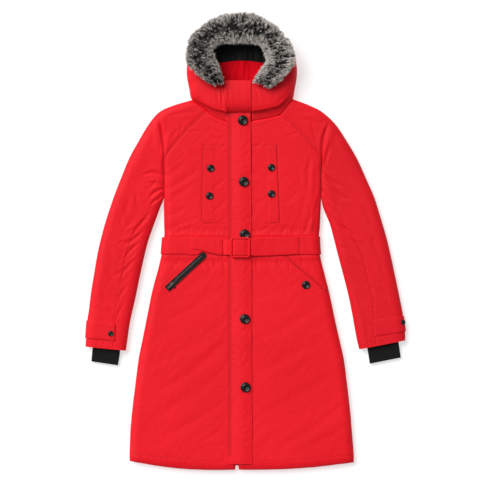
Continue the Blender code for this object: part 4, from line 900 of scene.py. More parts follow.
BODY_FOLDS = rows_of((
    (183.5, 134.5, 206.0, 130.0, -2.5, 4.2, -0.6),
    (286.0, 135.5, 297.0, 132.5, 2.0, 4.6, -0.7),
    (166.0, 176.0, 185.0, 163.0, 3.0, 9.0, -0.7),
    (166.0, 190.0, 199.0, 168.5, 5.0, 10.0, -0.9),
    (167.0, 205.0, 194.0, 184.0, -4.0, 10.0, -0.8),
    (164.5, 218.0, 186.0, 206.0, 4.0, 8.0, -0.7),
    (172.0, 226.0, 199.0, 217.0, 3.0, 8.0, -0.7),
    (176.0, 234.0, 196.0, 226.0, -3.0, 6.0, -0.8),
    (213.0, 188.0, 226.0, 178.0, 2.0, 6.0, -0.8),
    (214.0, 211.0, 226.5, 199.0, 2.0, 6.0, -0.7),
    (190.0, 148.0, 201.0, 159.0, 3.0, 8.0, -0.6),
    (207.0, 128.0, 224.0, 133.0, 3.0, 7.0, -0.7),
    (212.0, 137.0, 226.0, 141.5, -2.0, 6.0, -0.7),
    (310.5, 158.0, 308.5, 190.0, 5.0, 8.0, -1.4),
    (315.5, 166.0, 313.0, 204.0, -4.0, 7.0, -1.3),
    (319.0, 196.0, 314.0, 232.0, 4.0, 7.0, -1.6),
    (311.5, 204.0, 303.5, 234.0, -4.0, 7.0, -1.1),
    (306.0, 196.0, 301.0, 218.0, 3.0, 8.0, -0.6),
    (316.5, 214.0, 308.0, 236.0, 3.0, 5.0, 0.8),
    (297.5, 165.0, 300.5, 185.0, -3.0, 9.0, -0.6),
    (283.0, 204.0, 297.0, 192.0, 3.0, 8.0, -0.6),
    (281.0, 226.0, 296.0, 234.5, -3.0, 7.0, -0.8),
    (254.0, 148.0, 263.0, 140.0, 2.0, 6.0, -0.7),
    (254.0, 205.0, 265.0, 199.0, 2.0, 6.0, -0.6),
    (255.0, 231.0, 270.0, 227.0, 2.0, 6.0, -0.8),
    (170.0, 256.5, 163.0, 274.0, 3.0, 7.0, -0.8),
    (180.0, 256.5, 172.0, 269.5, -3.0, 6.0, -0.7),
    (205.0, 257.0, 211.0, 273.0, -3.0, 6.0, -0.9),
    (214.0, 257.5, 218.0, 270.0, 2.0, 5.0, -0.8),
    (222.0, 258.0, 225.0, 276.0, -2.0, 5.0, -0.8),
    (256.0, 258.5, 259.0, 272.0, 2.0, 5.0, -0.8),
    (266.0, 257.5, 271.0, 271.0, -2.0, 6.0, -0.8),
    (277.0, 257.0, 283.0, 268.0, 2.0, 6.0, -0.7),
    (301.0, 257.0, 304.0, 267.0, 2.0, 5.0, -0.7),
    (312.0, 256.0, 318.0, 272.0, -2.0, 6.0, -0.8),
    (176.0, 232.0, 172.0, 236.5, 0.0, 4.0, -0.7),
    (284.0, 228.0, 281.0, 236.5, 0.0, 5.0, -0.8),
    (268.0, 228.0, 271.0, 236.5, 0.0, 4.0, -0.7),
    (292.0, 226.0, 294.0, 236.5, 1.0, 5.0, -0.9),
    (163.0, 278.0, 154.0, 297.0, 4.0, 10.0, -0.7),
    (182.0, 292.0, 206.0, 271.0, 4.0, 11.0, -0.5),
    (163.0, 321.0, 226.0, 285.0, 8.0, 15.0, -0.6),
    (152.0, 365.0, 226.0, 318.0, 12.0, 17.0, -0.8),
    (158.0, 392.0, 227.0, 338.0, 10.0, 14.0, -0.7),
    (146.0, 420.0, 222.0, 372.0, 10.0, 16.0, -0.6),
    (163.0, 436.0, 227.0, 398.0, 8.0, 13.0, -0.6),
    (198.0, 443.0, 227.0, 424.0, 4.0, 9.0, -0.7),
    (146.0, 447.0, 170.0, 438.0, 3.0, 9.0, -0.5),
    (256.0, 300.0, 300.0, 279.0, 6.0, 13.0, -0.5),
    (255.0, 340.0, 318.0, 306.0, 8.0, 15.0, -0.6),
    (256.0, 372.0, 332.0, 330.0, 10.0, 17.0, -0.6),
    (262.0, 412.0, 336.0, 370.0, 9.0, 16.0, -0.6),
    (280.0, 446.0, 344.0, 404.0, 8.0, 15.0, -0.6),
    (308.0, 446.0, 346.0, 424.0, 5.0, 11.0, -0.6),
    (326.0, 300.0, 334.0, 338.0, -6.0, 12.0, -0.6),
    (258.0, 448.0, 276.0, 430.0, 3.0, 8.0, -0.6),
), 1.35)


# ---- seams and stitch lines, mm -----------------------------------------------
def points(*pairs):
    return [photo(*p) for p in pairs]


RAGLAN_LEFT = [(r[0], r[1]) for r in BODY[:6]]
RAGLAN_RIGHT = [(r[2], r[3]) for r in BODY[:6]]
HEM_STITCH_LEFT = points((132.6, 453.6), (150, 455.4), (175, 457.9), (200, 459.8), (226.5, 460.7))
HEM_STITCH_RIGHT = points((252.6, 460.6), (275, 459.8), (300, 458.4), (325, 456.8), (352.2, 454.4))
CHEST_LINE_LEFT = points((204.0, 145.6), (226.6, 145.0))
CHEST_LINE_RIGHT = points((252.6, 145.0), (276.0, 145.8))
CHEST_FOOT_LEFT = points((203.0, 223.4), (226.6, 223.0))
CHEST_FOOT_RIGHT = points((253.0, 223.0), (279.0, 223.2))
NECK_STITCH_RIGHT = points((252.4, 127.2), (259.0, 125.6), (266.2, 123.2), (275.5, 119.6))
NECK_STITCH_LEFT = points((226.2, 125.4), (216.5, 122.4), (209.5, 118.6))


def zip_point(a, b):
    """Plan point a mm along the zip and b mm to its upper-left side."""
    return ZIP_START[0] + ZIP_DIR[0] * a - ZIP_DIR[1] * b, ZIP_START[1] + ZIP_DIR[1] * a + ZIP_DIR[0] * b


ZIP_STITCH = [zip_point(*p) for p in ((-6, -14), (136, -14), (147, -10), (151, 0), (147, 10), (136, 14), (-6, 14), (-6, -14))]
SLANT_STITCH = offset([SLANT[0], SLANT[1]], 6.5)

FRONT_GROOVES = [
    (HEM_STITCH_LEFT, 1.5, 0.55),
    (HEM_STITCH_RIGHT, 1.5, 0.55),
    (CHEST_LINE_LEFT, 1.2, 0.4),
    (CHEST_LINE_RIGHT, 1.2, 0.4),
    (CHEST_FOOT_LEFT, 1.2, 0.4),
    (CHEST_FOOT_RIGHT, 1.2, 0.4),
    (NECK_STITCH_RIGHT, 1.3, 0.5),
    (NECK_STITCH_LEFT, 1.3, 0.5),
    (ZIP_STITCH, 1.2, 0.4),
    (SLANT_STITCH, 1.2, 0.35),
]
PLACKET_EDGE = [(-51.5, y) for y in range(330, -640, -30)]
FREE_EDGE = [(18.5, y) for y in range(330, -640, -30)]
BODY_FOLDS += puckers(PLACKET_EDGE, 13.0, 26.0, 52.0, 3.6, 0.42, -1, 11)
BODY_FOLDS += puckers(FREE_EDGE, 19.0, 24.0, 50.0, 4.2, 0.36, 1, 12)
BODY_FOLDS += puckers(HEM_STITCH_LEFT, 9.0, 15.0, 62.0, 2.8, 0.40, 1, 13)
BODY_FOLDS += puckers(HEM_STITCH_RIGHT, 9.0, 15.0, 62.0, 2.8, 0.40, 1, 14)
BODY_FOLDS += puckers(HEM_STITCH_LEFT, 11.0, 14.0, 70.0, 2.8, 0.34, -1, 15)
BODY_FOLDS += puckers(HEM_STITCH_RIGHT, 11.0, 14.0, 70.0, 2.8, 0.34, -1, 16)
BODY_FOLDS += puckers(ZIP_STITCH, 8.0, 14.0, 75.0, 2.6, 0.42, -1, 17)
BODY_FOLDS += puckers(offset([SLANT[0], SLANT[1]], -4.0), 9.0, 13.0, 70.0, 2.6, 0.34, -1, 18)
BODY_FOLDS += puckers(RAGLAN_LEFT, 9.0, 16.0, 60.0, 2.8, 0.42, 1, 19)
BODY_FOLDS += puckers(RAGLAN_RIGHT, 9.0, 16.0, 60.0, 2.8, 0.42, -1, 20)
BODY_FOLDS += puckers([(-225, -47), (-60, -50)], 11.0, 26.0, 78.0, 3.6, 0.65, -1, 21)
BODY_FOLDS += puckers([(25, -52), (200, -46)], 11.0, 26.0, 78.0, 3.6, 0.65, -1, 22)
BODY_FOLDS += puckers([(-222, 18), (-55, 18)], 12.0, 22.0, 80.0, 3.6, 0.6, 1, 23)
BODY_FOLDS += puckers([(25, 20), (198, 20)], 12.0, 22.0, 80.0, 3.6, 0.6, 1, 24)
BODY_FOLDS += puckers([(-124, 270), (-128, 55)], 14.0, 16.0, 60.0, 3.0, 0.35, -1, 25)
BODY_FOLDS += puckers([(92, 268), (100, 55)], 14.0, 16.0, 60.0, 3.0, 0.35, 1, 26)


# the pockets' mouths, which stay open under the pieces beside them
CUTS = [
    ([(CHEST_LEFT[0][0] - 1.6, CHEST_LEFT[0][1] - 3), (CHEST_LEFT[3][0] - 1.6, CHEST_LEFT[3][1] + 3)], 2.6, 0.7),
    ([(CHEST_RIGHT[1][0] + 1.6, CHEST_RIGHT[1][1] - 3), (CHEST_RIGHT[2][0] + 1.6, CHEST_RIGHT[2][1] + 3)], 2.6, 0.7),
    (offset([SLANT[0], SLANT[1]], 1.6), 2.8, 1.2),
]


def pressed(x, y):
    """1 where something lies on the fronts, so that the cloth keeps low there."""
    near = np.zeros(np.shape(x))
    for x0, x1, y0, y1, soft in (
        (-47.0, 17.0, -640.0, 330.0, 3.0),
        (-240.0, 215.0, -41.0, 12.0, 5.0),
    ):
        inside = np.minimum(np.minimum(x - x0, x1 - x), np.minimum(y - y0, y1 - y))
        near = np.maximum(near, smooth(-soft, soft * 0.3, inside))
    a = (x - ZIP_START[0]) * ZIP_DIR[0] + (y - ZIP_START[1]) * ZIP_DIR[1]
    b = -(x - ZIP_START[0]) * ZIP_DIR[1] + (y - ZIP_START[1]) * ZIP_DIR[0]
    inside = np.minimum(np.minimum(a, ZIP_LENGTH - a), 9.5 - np.abs(b))
    near = np.maximum(near, smooth(-2.5, 0.5, inside))
    line = distance(x, y, [SLANT[0], SLANT[1]])
    near = np.maximum(near, smooth(6.5, 3.5, line))
    for name, bx, by, r, z, turn in BUTTONS:
        near = np.maximum(near, 0.9 * smooth(r + 3, r * 0.6, np.hypot(x - bx, y - by)))
    return near


def cloth_noise(x, y, seed, degrees=38.0, strength=1.0):
    """The fine unevenness of padded cloth."""
    where = 0.55 + 0.45 * noise(x / 130.0, y / 130.0, seed + 3)
    rise = 0.9 * noise(x / 150.0, y / 190.0, seed)
    rise += 0.55 * drag(x, y, degrees, 130.0, 30.0, seed + 7) * where
    rise += 0.30 * drag(x, y, degrees + 12, 55.0, 13.0, seed + 11) * where
    rise += 0.14 * crinkle(x, y, 17.0, seed + 17) * (1.15 - where)
    rise += 0.05 * crinkle(x, y, 8.0, seed + 23)
    return rise * strength


def front_free(x, y):
    """The fronts' own folds."""
    rise = cloth_noise(x, y, 31) + creases(x, y, BODY_FOLDS) + grooves(x, y, FRONT_GROOVES)
    # the belt holds the waist, and the cloth stands up beside it
    belt = np.abs(y + 14.5) - 25.0
    return rise + 0.7 * np.exp(-(((belt - 5.0) / 6.0) ** 2)) - 0.9 * np.exp(-(((belt - 20.0) / 11.0) ** 2))


def panel_inside(x, y, corners):
    """How far a point lies inside a panel's four sides."""
    (ax, ay), (bx, by), (cx, cy), (dx, dy) = corners
    left = ax + (dx - ax) * (ay - y) / (ay - dy)
    right = bx + (cx - bx) * (by - y) / (by - cy)
    top = ay + (by - ay) * (x - ax) / (bx - ax)
    low = dy + (cy - dy) * (x - dx) / (cx - dx)
    return np.minimum(np.minimum(x - left, right - x), np.minimum(top - y, y - low))


def front_rise(x, y):
    press = pressed(x, y)
    rise = front_free(x, y) * (1.0 - press) - 0.35 * press + grooves(x, y, CUTS)
    # it keeps under the chest panels, which follow its folds
    for corners in (CHEST_LEFT, CHEST_RIGHT):
        rise -= 1.5 * smooth(0.6, 4.5, panel_inside(x, y, corners))
    return rise


# ---- body ---------------------------------------------------------------------
def body_rows(step):
    t = even(BODY, [0, 1], step)
    return spline(BODY, t), t


def hem_near(rows):
    return np.maximum(rows[:, 1] - BODY[-1][1], 0.0)


def edge_share(rounding, near_side, near_hem):
    side = 1.0 - rounding * (1.0 - roll(near_side / SIDE_ROUND))
    return side * (1.0 - 0.7 * (1.0 - roll(near_hem / HEM_ROUND)))


def side_steps(width, step, ends=(0.0, 0.4, 1.0, 2.0, 3.4, 5.2, 7.6, 10.6, 14.2, 18.4)):
    """Distances from an edge, close together by it."""
    last = ends[-1]
    count = int(round((width - last) / step))
    return np.concatenate([ends, last + (width - last) * np.arange(1, count + 1) / count])


def build_front(name, side, step):
    rows, t = body_rows(step)
    # more rows where the hem and the neck round off
    hem = np.interp([0.3, 0.8, 1.8, 3.4], hem_near(rows)[::-1], t[::-1])
    t = np.unique(np.concatenate([t, hem, np.linspace(0, 0.5, 9)]))
    rows = spline(BODY, t)
    rows[:, 5] = np.clip(linear(BODY, t)[:, 5], 0, 1)
    near_hem = hem_near(rows)
    k = 0 if side < 0 else 2
    x0, y0 = rows[:, k], rows[:, k + 1]
    part = np.clip((-596.0 - rows[:, 4]) / 44.0, 0, 1) ** 1.5
    x1, y1 = CENTRE_X + side * (GAP / 2 + 5.2 * part), rows[:, 4]
    shares = side_steps(260.0, step) / 260.0
    edge = np.abs(x1 - x0)
    near = shares[None, :] * edge[:, None]
    near[:, : 10] = side_steps(260.0, step)[None, :10]
    rest = (shares[10:] * 260.0 - 18.4) / (260.0 - 18.4)
    near[:, 10:] = 18.4 + rest[None, :] * (edge[:, None] - 18.4)
    s = near / edge[:, None]
    dip = rows[:, 6 if side < 0 else 7]
    hem = (9.5 if side < 0 else 7.0) * np.maximum(0.0, 1.0 - near_hem / 28.0)
    x = x0[:, None] + (x1 - x0)[:, None] * s
    arch = np.sin(pi * np.clip(s, 0, 1))
    y = y0[:, None] + (y1 - y0)[:, None] * s - dip[:, None] * arch**0.7 - hem[:, None] * arch
    # a side or a hem is never quite straight
    wobble = 0.55 * noise(y / 34.0, 0.0 * y + side * 3.0, 71) * np.exp(-near / 30.0)
    x = x + wobble * (rows[:, 5:6] > 0.9)
    y = y + 0.5 * noise(x / 30.0, 0.0 * x + 7.0, 72) * np.exp(-near_hem / 20.0)[:, None]
    low = LAYER_Z + GAP / 2 + EDGE
    share = edge_share(rows[:, 5:6], near, near_hem[:, None])
    neck = np.hypot(x - x[:1], y - y[:1])
    share = share * (0.87 + 0.13 * roll(np.where(t[:, None] < 0.6, neck, 99.0) / NECK_LOOK))
    opening = np.where((near_hem < 60)[:, None] & (part[:, None] > 0.0), roll((edge[:, None] - near) / 9.0), 1.0)
    share = share * (0.35 + 0.65 * opening)
    seam = 0.9 * (1.0 - rows[:, 5:6]) * np.maximum(0.0, 1.0 - near / 7.0)
    z = low + (BODY_Z - low) * share - seam
    calm = np.clip((z - low) / 9.0, 0.0, 1.0)
    z = z + front_rise(x, y) * calm
    z = np.maximum(z, low - 0.2)
    # the neck edge goes in under the hood
    tuck = lambda a, by: np.concatenate([a[:1] + by, a], 0)
    x, y, z = tuck(x, 0.0), tuck(y, 5.5), tuck(z, 0.0)
    z[0] = low + 0.6 * (z[0] - low)
    top = np.stack([x, y, z], -1)
    return slab(name, top, RED, flat=LAYER_Z + GAP / 2)


def build_back(step):
    t = even(BODY, [0, 1], step)
    rows = spline(BODY, t)
    rows[:, 5] = np.clip(linear(BODY, t)[:, 5], 0, 1)
    near_hem = hem_near(rows)
    ends = np.array((0.0, 0.6, 2.0, 4.5, 8.0, 12.5, 18.0, 24.0))
    width = rows[:, 2] - rows[:, 0]
    count = int(420 / step)
    s = np.concatenate([ends, np.zeros(count - 1), ends[::-1]])
    near = np.zeros((len(t), len(s)))
    x = np.zeros_like(near)
    for j in range(len(t)):
        mid = np.linspace(24.0, width[j] - 24.0, count + 1)[1:-1]
        across = np.concatenate([ends, mid, width[j] - ends[::-1]])
        x[j] = rows[j, 0] + across
        near[j] = np.minimum(across, width[j] - across)
    share = (x - rows[:, :1]) / width[:, None]
    arch = np.sin(pi * np.clip(share, 0, 1))
    sag = (-BACK_HEM_Y - 617.7) * np.maximum(0.0, 1.0 - near_hem / 28.0)
    y = rows[:, 1:2] + (rows[:, 3:4] - rows[:, 1:2]) * share - rows[:, 8:9] * arch - sag[:, None] * arch
    high = LAYER_Z - GAP / 2 - EDGE
    side = edge_share(rows[:, 5:6], near, near_hem[:, None])
    inside = np.minimum(CHANNEL_Y[0] - y, y - CHANNEL_Y[1])
    floor = CHANNEL * smooth(-3.0, 0.0, inside)
    z = floor + (high - floor) * (1.0 - side)
    # the underside rests on the floor, so its creases only go inwards
    folds = [(-r[0] - 20, r[1], -r[2] - 20, r[3], -r[4], r[5], r[6]) for r in BODY_FOLDS[40:56]]
    rise = np.maximum(0.0, -creases(x, y, folds)) + 0.5 * np.maximum(0.0, cloth_noise(x, y, 57))
    z = z + np.minimum(rise, 2.0) * np.clip(near / 20.0, 0, 1) * (floor < 0.01)
    under = np.stack([x, y, np.minimum(z, high)], -1)
    rows_n, cols_n = under.shape[:2]
    return slab("back_panel_cloth", under, RED, flat=LAYER_Z - GAP / 2)


# ---- sleeves ------------------------------------------------------------------
def stations(side, t):
    """Sleeve rows at t: outer x, y, inner x, y, seam share, rounding, top, floor, half gap."""
    table = SLEEVE_LEFT if side < 0 else SLEEVE_RIGHT
    full = []
    for k, row in enumerate(table):
        inner = (BODY[k][0 if side < 0 else 2] + side * 0.5, BODY[k][1 if side < 0 else 3] + 0.3) if row[2] is None else row[2:4]
        full.append((row[0], row[1], *inner, row[4], row[5]))
    rows = spline(full, t)
    # down to the armpit the inner edge is the body's side
    k = 0 if side < 0 else 2
    body = spline(BODY, np.minimum(t, 7.0))
    on = t <= 7.0
    rows[on, 2] = body[on, k] - side * 0.6
    rows[on, 3] = body[on, k + 1] - 0.3
    rows[:, 4] = np.clip(rows[:, 4], 0.4, 1.0)
    rows[:, 5] = np.clip(linear(full, t)[:, 5], 0.0, 1.0)
    high = np.interp(t, [3.5, 6.0], [BODY_Z, SLEEVE_Z])
    floor = CHANNEL * smooth(14.9, 15.0, t) * (1 - smooth(16.0, 16.1, t))
    half = np.interp(t, [16.05, 16.35, 17.0], [GAP / 2, 6.0, 6.0])
    neck = 0.87 + 0.13 * roll(t * 50.0 / NECK_LOOK)
    return np.column_stack([rows, high, floor, half, neck])


def sleeve_rise(x, y, side):
    rise = cloth_noise(x, y, 91 if side < 0 else 97, 62.0 if side < 0 else -62.0, 1.1)
    return rise + creases(x, y, LEFT_SLEEVE_FOLDS if side < 0 else RIGHT_SLEEVE_FOLDS)


def sleeve_skin(rows, s, upper, side, out=0.0, calm=1.0):
    """Points s mm from the outer edge on a sleeve's top or under skin."""
    width = np.hypot(rows[:, 2] - rows[:, 0], rows[:, 3] - rows[:, 1])[:, None]
    x = rows[:, :1] + (rows[:, 2:3] - rows[:, :1]) * s / width
    y = rows[:, 1:2] + (rows[:, 3:4] - rows[:, 1:2]) * s / width
    rounding, high, floor = rows[:, 5:6], rows[:, 6:7], rows[:, 7:8]
    a = roll((s + out) / (SIDE_ROUND + out))
    b = 1.0 - rounding * (1.0 - roll((width - s + out) / (SIDE_ROUND + out)))
    share = a * b * rows[:, 9:10]
    dip = 0.9 * (1.0 - rounding) * np.maximum(0.0, 1.0 - (width - s) / 7.0)
    if upper:
        z = LAYER_Z + EDGE + (high + out - LAYER_Z - EDGE) * share - dip
        rise = sleeve_rise(x, y, side) + sleeve_grooves(x, y, side)
        z = z + calm * rise * np.clip(share * 1.6 - 0.35, 0, 1)
        z = np.maximum(z, LAYER_Z + EDGE * 0.6)
    else:
        z = LAYER_Z - EDGE - (LAYER_Z - EDGE - floor + out) * share
        rise = 0.7 * np.maximum(0.0, sleeve_rise(x + 11.0, y - 7.0, side))
        z = z + calm * np.minimum(rise, 2.0) * np.clip(share * 2 - 1, 0, 1) * (floor < 0.01)
        z = np.minimum(z, LAYER_Z - EDGE * 0.6)
    return np.stack([x, y, z], -1)


SLEEVE_LINES = {}


def sleeve_lines(side):
    """Seams, stitch lines and their puckers on a sleeve, worked out once."""
    if side not in SLEEVE_LINES:
        t = np.linspace(0, 17, 120)
        rows = stations(side, t)
        inner = [tuple(p) for p in rows[(t > 0.1) & (t < 5.3)][:, 2:4]]
        edge = inner[::3]
        raglan = offset(edge, -6.5 if side < 0 else 6.5)
        seam = []
        for r in rows[(t > 7.0) & (t < 16.9)]:
            seam.append((r[0] + (r[2] - r[0]) * r[4], r[1] + (r[3] - r[1]) * r[4]))
        seam = [p for p in seam[::2] if side < 0 or p[1] < 27.0]
        hem_rows = stations(side, np.array([16.68]))[0]
        inset = lambda s: (hem_rows[0] + (hem_rows[2] - hem_rows[0]) * s, hem_rows[1] + (hem_rows[3] - hem_rows[1]) * s)
        hem = [inset(s) for s in np.linspace(0.03, 0.97, 9)]
        folds = puckers(seam, 9.0, 15.0, 62.0, 2.8, 0.5, 1, 41 + side)
        folds += puckers(seam, 10.0, 16.0, 62.0, 2.8, 0.5, -1, 45 + side)
        folds += puckers(edge, 9.0, 17.0, 60.0, 2.8, 0.5, -1 if side > 0 else 1, 49 + side)
        folds += puckers(hem, 8.0, 12.0, 75.0, 2.4, 0.45, 1, 53 + side)
        folds += puckers(hem, 8.0, 12.0, 75.0, 2.4, 0.4, -1, 57 + side)
        SLEEVE_LINES[side] = dict(raglan=raglan, seam=seam, hem=hem, folds=folds, edge=edge)
    return SLEEVE_LINES[side]


def sleeve_grooves(x, y, side):
    lines = sleeve_lines(side)
    stitched = offset(lines["seam"], -4.0 * side)
    return grooves(x, y, [(lines["raglan"], 1.3, 0.5), (lines["seam"], 1.5, 0.7), (stitched, 1.1, 0.25), (lines["hem"], 1.3, 0.5)]) + creases(x, y, lines["folds"])


def build_sleeve(side, word, step):
    table = SLEEVE_LEFT if side < 0 else SLEEVE_RIGHT
    t = even([r[:2] for r in table], [0, 1], step)
    t = np.unique(np.concatenate([t, [14.9, 15.0, 16.0, 16.1, 16.35, 16.93, 16.97]]))
    rows = stations(side, t)
    width = np.hypot(rows[:, 2] - rows[:, 0], rows[:, 3] - rows[:, 1])
    seam = rows[:, 4] * width - 0.02
    ends = np.array((0.0, 0.3, 0.9, 2.0, 3.6, 5.8, 8.8, 12.8, 18.0, 24.0))
    count = 26
    s = np.concatenate([np.repeat(ends[None], len(t), 0), 24.0 + (seam[:, None] - 24.0) * np.arange(1, count + 1)[None] / count], 1)
    top = sleeve_skin(rows, s, True, side)[:, ::-1]
    low = sleeve_skin(rows, s, False, side)
    # the sleeve's mouth rounds in a little at the hem
    slit = []
    half = rows[:, 8]
    for at, z in (("lip", -1), ("turn", -1), ("wall", -0.5), ("wall", 0.5), ("turn", 1), ("lip", 1)):
        pos = {"lip": seam - 0.6, "turn": np.full(len(t), 15.0), "wall": np.full(len(t), 10.0)}[at]
        x = rows[:, 0] + (rows[:, 2] - rows[:, 0]) * pos / width
        y = rows[:, 1] + (rows[:, 3] - rows[:, 1]) * pos / width
        slit.append(np.stack([x, y, LAYER_Z + z * half], -1))
    ring = np.concatenate([top, low, np.stack(slit, 1)], 1)
    # the neck end goes in under the hood
    away = ring[0, :, :2] - ring[2, :, :2]
    away /= np.linalg.norm(away, axis=1)[:, None] + 1e-9
    tuck = ring[:1].copy()
    tuck[0, :, :2] += away * 6.0
    tuck[0, :, 2] = LAYER_Z + 0.6 * (tuck[0, :, 2] - LAYER_Z)
    ring = np.concatenate([tuck, ring], 0)
    upper = tube_of(f"sleeve_upper_{word}_cloth", ring, RED_SLEEVE if side < 0 else RED_SLEEVE_RIGHT_SHADED)
    cloth(upper, f"sleeve_upper_{word}")

    t = np.concatenate([[6.02, 6.12], t[t > 6.2]])
    rows = stations(side, t)
    width = np.hypot(rows[:, 2] - rows[:, 0], rows[:, 3] - rows[:, 1])
    seam = rows[:, 4] * width + 0.02
    seam = np.minimum(seam, width - 2.0)
    span = width - seam
    ends = np.array((0.0, 0.014, 0.045, 0.1, 0.17, 0.26, 0.37, 0.5, 0.68, 0.84, 1.0))
    dist = np.minimum(1.0, 24.0 / span)[:, None] * ends[None] * span[:, None]
    count = 12
    more = dist[:, -1:] + (span[:, None] - dist[:, -1:]) * np.arange(1, count + 1)[None] / count
    inner = np.concatenate([dist, more], 1)
    s = width[:, None] - inner
    top = sleeve_skin(rows, s, True, side)[:, ::-1]
    low = sleeve_skin(rows, s, False, side)
    half = rows[:, 8]
    slit = []
    wall = width - np.minimum(10.0, span * 0.4)
    turn = width - np.minimum(15.0, span * 0.6)
    lip = seam + np.minimum(0.6, span * 0.1)
    for pos, z in ((lip, -1), (turn, -1), (wall, -0.5), (wall, 0.5), (turn, 1), (lip, 1)):
        x = rows[:, 0] + (rows[:, 2] - rows[:, 0]) * pos / width
        y = rows[:, 1] + (rows[:, 3] - rows[:, 1]) * pos / width
        slit.append(np.stack([x, y, LAYER_Z + z * half], -1))
    ring = np.concatenate([top, low, np.stack(slit, 1)], 1)
    under = tube_of(f"sleeve_under_{word}_cloth", ring, RED_SLEEVE if side < 0 else RED_SLEEVE_RIGHT_SHADED)
    cloth(under, f"sleeve_under_{word}")
    build_tab(side, word)
    build_knit(side, word)


def build_tab(side, word):
    """The cuff's tab, from the front seam over the outer edge and under the sleeve."""
    t = np.linspace(TAB_ROWS[0] + 0.04, TAB_ROWS[1] - 0.04, 22)
    rows = stations(side, t)
    rows[:, 7] = CHANNEL
    width = np.hypot(rows[:, 2] - rows[:, 0], rows[:, 3] - rows[:, 1])
    reach = rows[:, 4] * width + 3.0
    ends = np.array((0.0, 0.5, 1.4, 2.8, 4.6, 7.0, 10.0, 13.5, 18.0, 24.0))
    count = 24
    s = np.concatenate([np.repeat(ends[None], len(t), 0), 24.0 + (reach[:, None] - 24.0) * np.arange(1, count + 1)[None] / count], 1)

    def skin(out, thin):
        pull = out * (1.0 - np.minimum(1.0, s / 12.0))
        top = sleeve_skin(rows, s - pull, True, side, out, calm=0.0)[:, ::-1]
        low = sleeve_skin(rows, s - pull, False, side, out, calm=0.0)
        w = width
        x = rows[:, 0] - (rows[:, 2] - rows[:, 0]) * out / w
        y = rows[:, 1] - (rows[:, 3] - rows[:, 1]) * out / w
        mid = np.stack([x, y, np.full(len(t), LAYER_Z)], -1)[:, None]
        whole = np.concatenate([top, mid, low], 1)
        if thin:
            e = np.minimum(np.arange(len(t)), np.arange(len(t))[::-1]) * 2.4
            drop = 0.9 * (1 - roll(e / 2.6))
            n = top.shape[1]
            whole[:, :n, 2] -= drop[:, None]
            end = np.minimum(np.arange(n) * 3.0, 99)
            whole[:, :n, 2] -= (0.8 * (1 - roll(end / 3.0)))[None]
            x, y = whole[:, :n, 0], whole[:, :n, 1]
            inset = np.minimum(e, 99)[:, None]
            whole[:, :n, 2] += -0.35 * np.exp(-((inset - 4.5) / 1.1) ** 2) + 0.14 * noise(x / 9, y / 9, 61 + side)
        return whole

    outside, inside = skin(TAB_GAP + TAB_T, True), skin(TAB_GAP, False)
    ob = slab(f"cuff_tab_{word}_cloth", outside, RED_SMALL if side < 0 else RED_TAB_RIGHT_SHADED, under=inside)
    cloth(ob, f"cuff_tab_{word}")


def build_knit(side, word):
    """Rib-knit cuff: a flat tube whose ribs run along the arm."""
    table = KNIT_LEFT if side < 0 else KNIT_RIGHT
    t = np.linspace(0, 3, 30)
    rows = spline(table, t)
    n = 384
    turn = 2 * pi * (np.arange(n) + 0.5) / n
    rings = []
    for out in (0.0, KNIT_T):
        skin = []
        for k, row in enumerate(rows):
            a, b = np.array(row[:2]), np.array(row[2:4])
            width = np.linalg.norm(b - a)
            middle, half = (row[4] + row[5]) / 2, (row[5] - row[4]) / 2
            thin = max(half - out, 0.5)
            flat = width / 2 - half
            rib = (0.55 * np.abs(np.sin(turn * 30 + 0.15 * np.sin(k * 0.7))) - 0.3) * (1 if out == 0 else -0.5)
            # the points spread evenly along the flat sides
            run = (turn / (2 * pi)) * 4
            quarter = np.floor(run)
            u = run - quarter
            lay = np.where(quarter == 0, 1 - u, np.where(quarter == 1, -u, np.where(quarter == 2, u - 1, u)))
            ends = np.abs(lay)
            x = lay * (flat + half - out * 0.5)
            side_on = np.where(quarter < 2, 1.0, -1.0)
            limit = flat + half - out * 0.5
            e = np.clip((np.abs(x) - (limit - half)) / half, 0, 1)
            z = side_on * (thin + rib) * np.sqrt(np.maximum(0.0, 1 - e**2))
            end_roll = 0.5 * (1 - roll((3.0 - t[k]) * 22.0 / 1.6)) * (1 if out == 0 else -1)
            z = z - np.sign(z) * end_roll
            p = a[None] + (b - a)[None] * (0.5 + x[:, None] / width)
            skin.append(np.stack([p[:, 0], p[:, 1], np.maximum(middle + z, 0.0 if out == 0 else 0.3)], -1))
        rings.append(np.array(skin))
    outer, inner = rings
    count = len(rows)
    n_all = count * n
    i = np.arange(count - 1)[:, None] * n + np.arange(n)[None]
    j = np.arange(count - 1)[:, None] * n + (np.arange(n)[None] + 1) % n
    quads = np.stack([i, j, j + n, i + n], -1).reshape(-1, 4)
    back = quads[:, ::-1] + n_all
    k = np.arange(n)
    m = (k + 1) % n
    first = np.stack([m, k, k + n_all, m + n_all], -1)
    off = (count - 1) * n
    last = np.stack([k + off, m + off, m + off + n_all, k + off + n_all], -1)
    ob = make(f"knit_cuff_{word}_rib", np.vstack([outer.reshape(-1, 3), inner.reshape(-1, 3)]), [quads, back, first, last], KNIT, 60)
    cloth(ob, f"knit_cuff_{word}")


# ---- hood ---------------------------------------------------------------------
def seam_height(y):
    return LAYER_Z + (HOOD_SEAM_Z - LAYER_Z) * np.clip((y - 396.0) / 30.0, 0, 1)


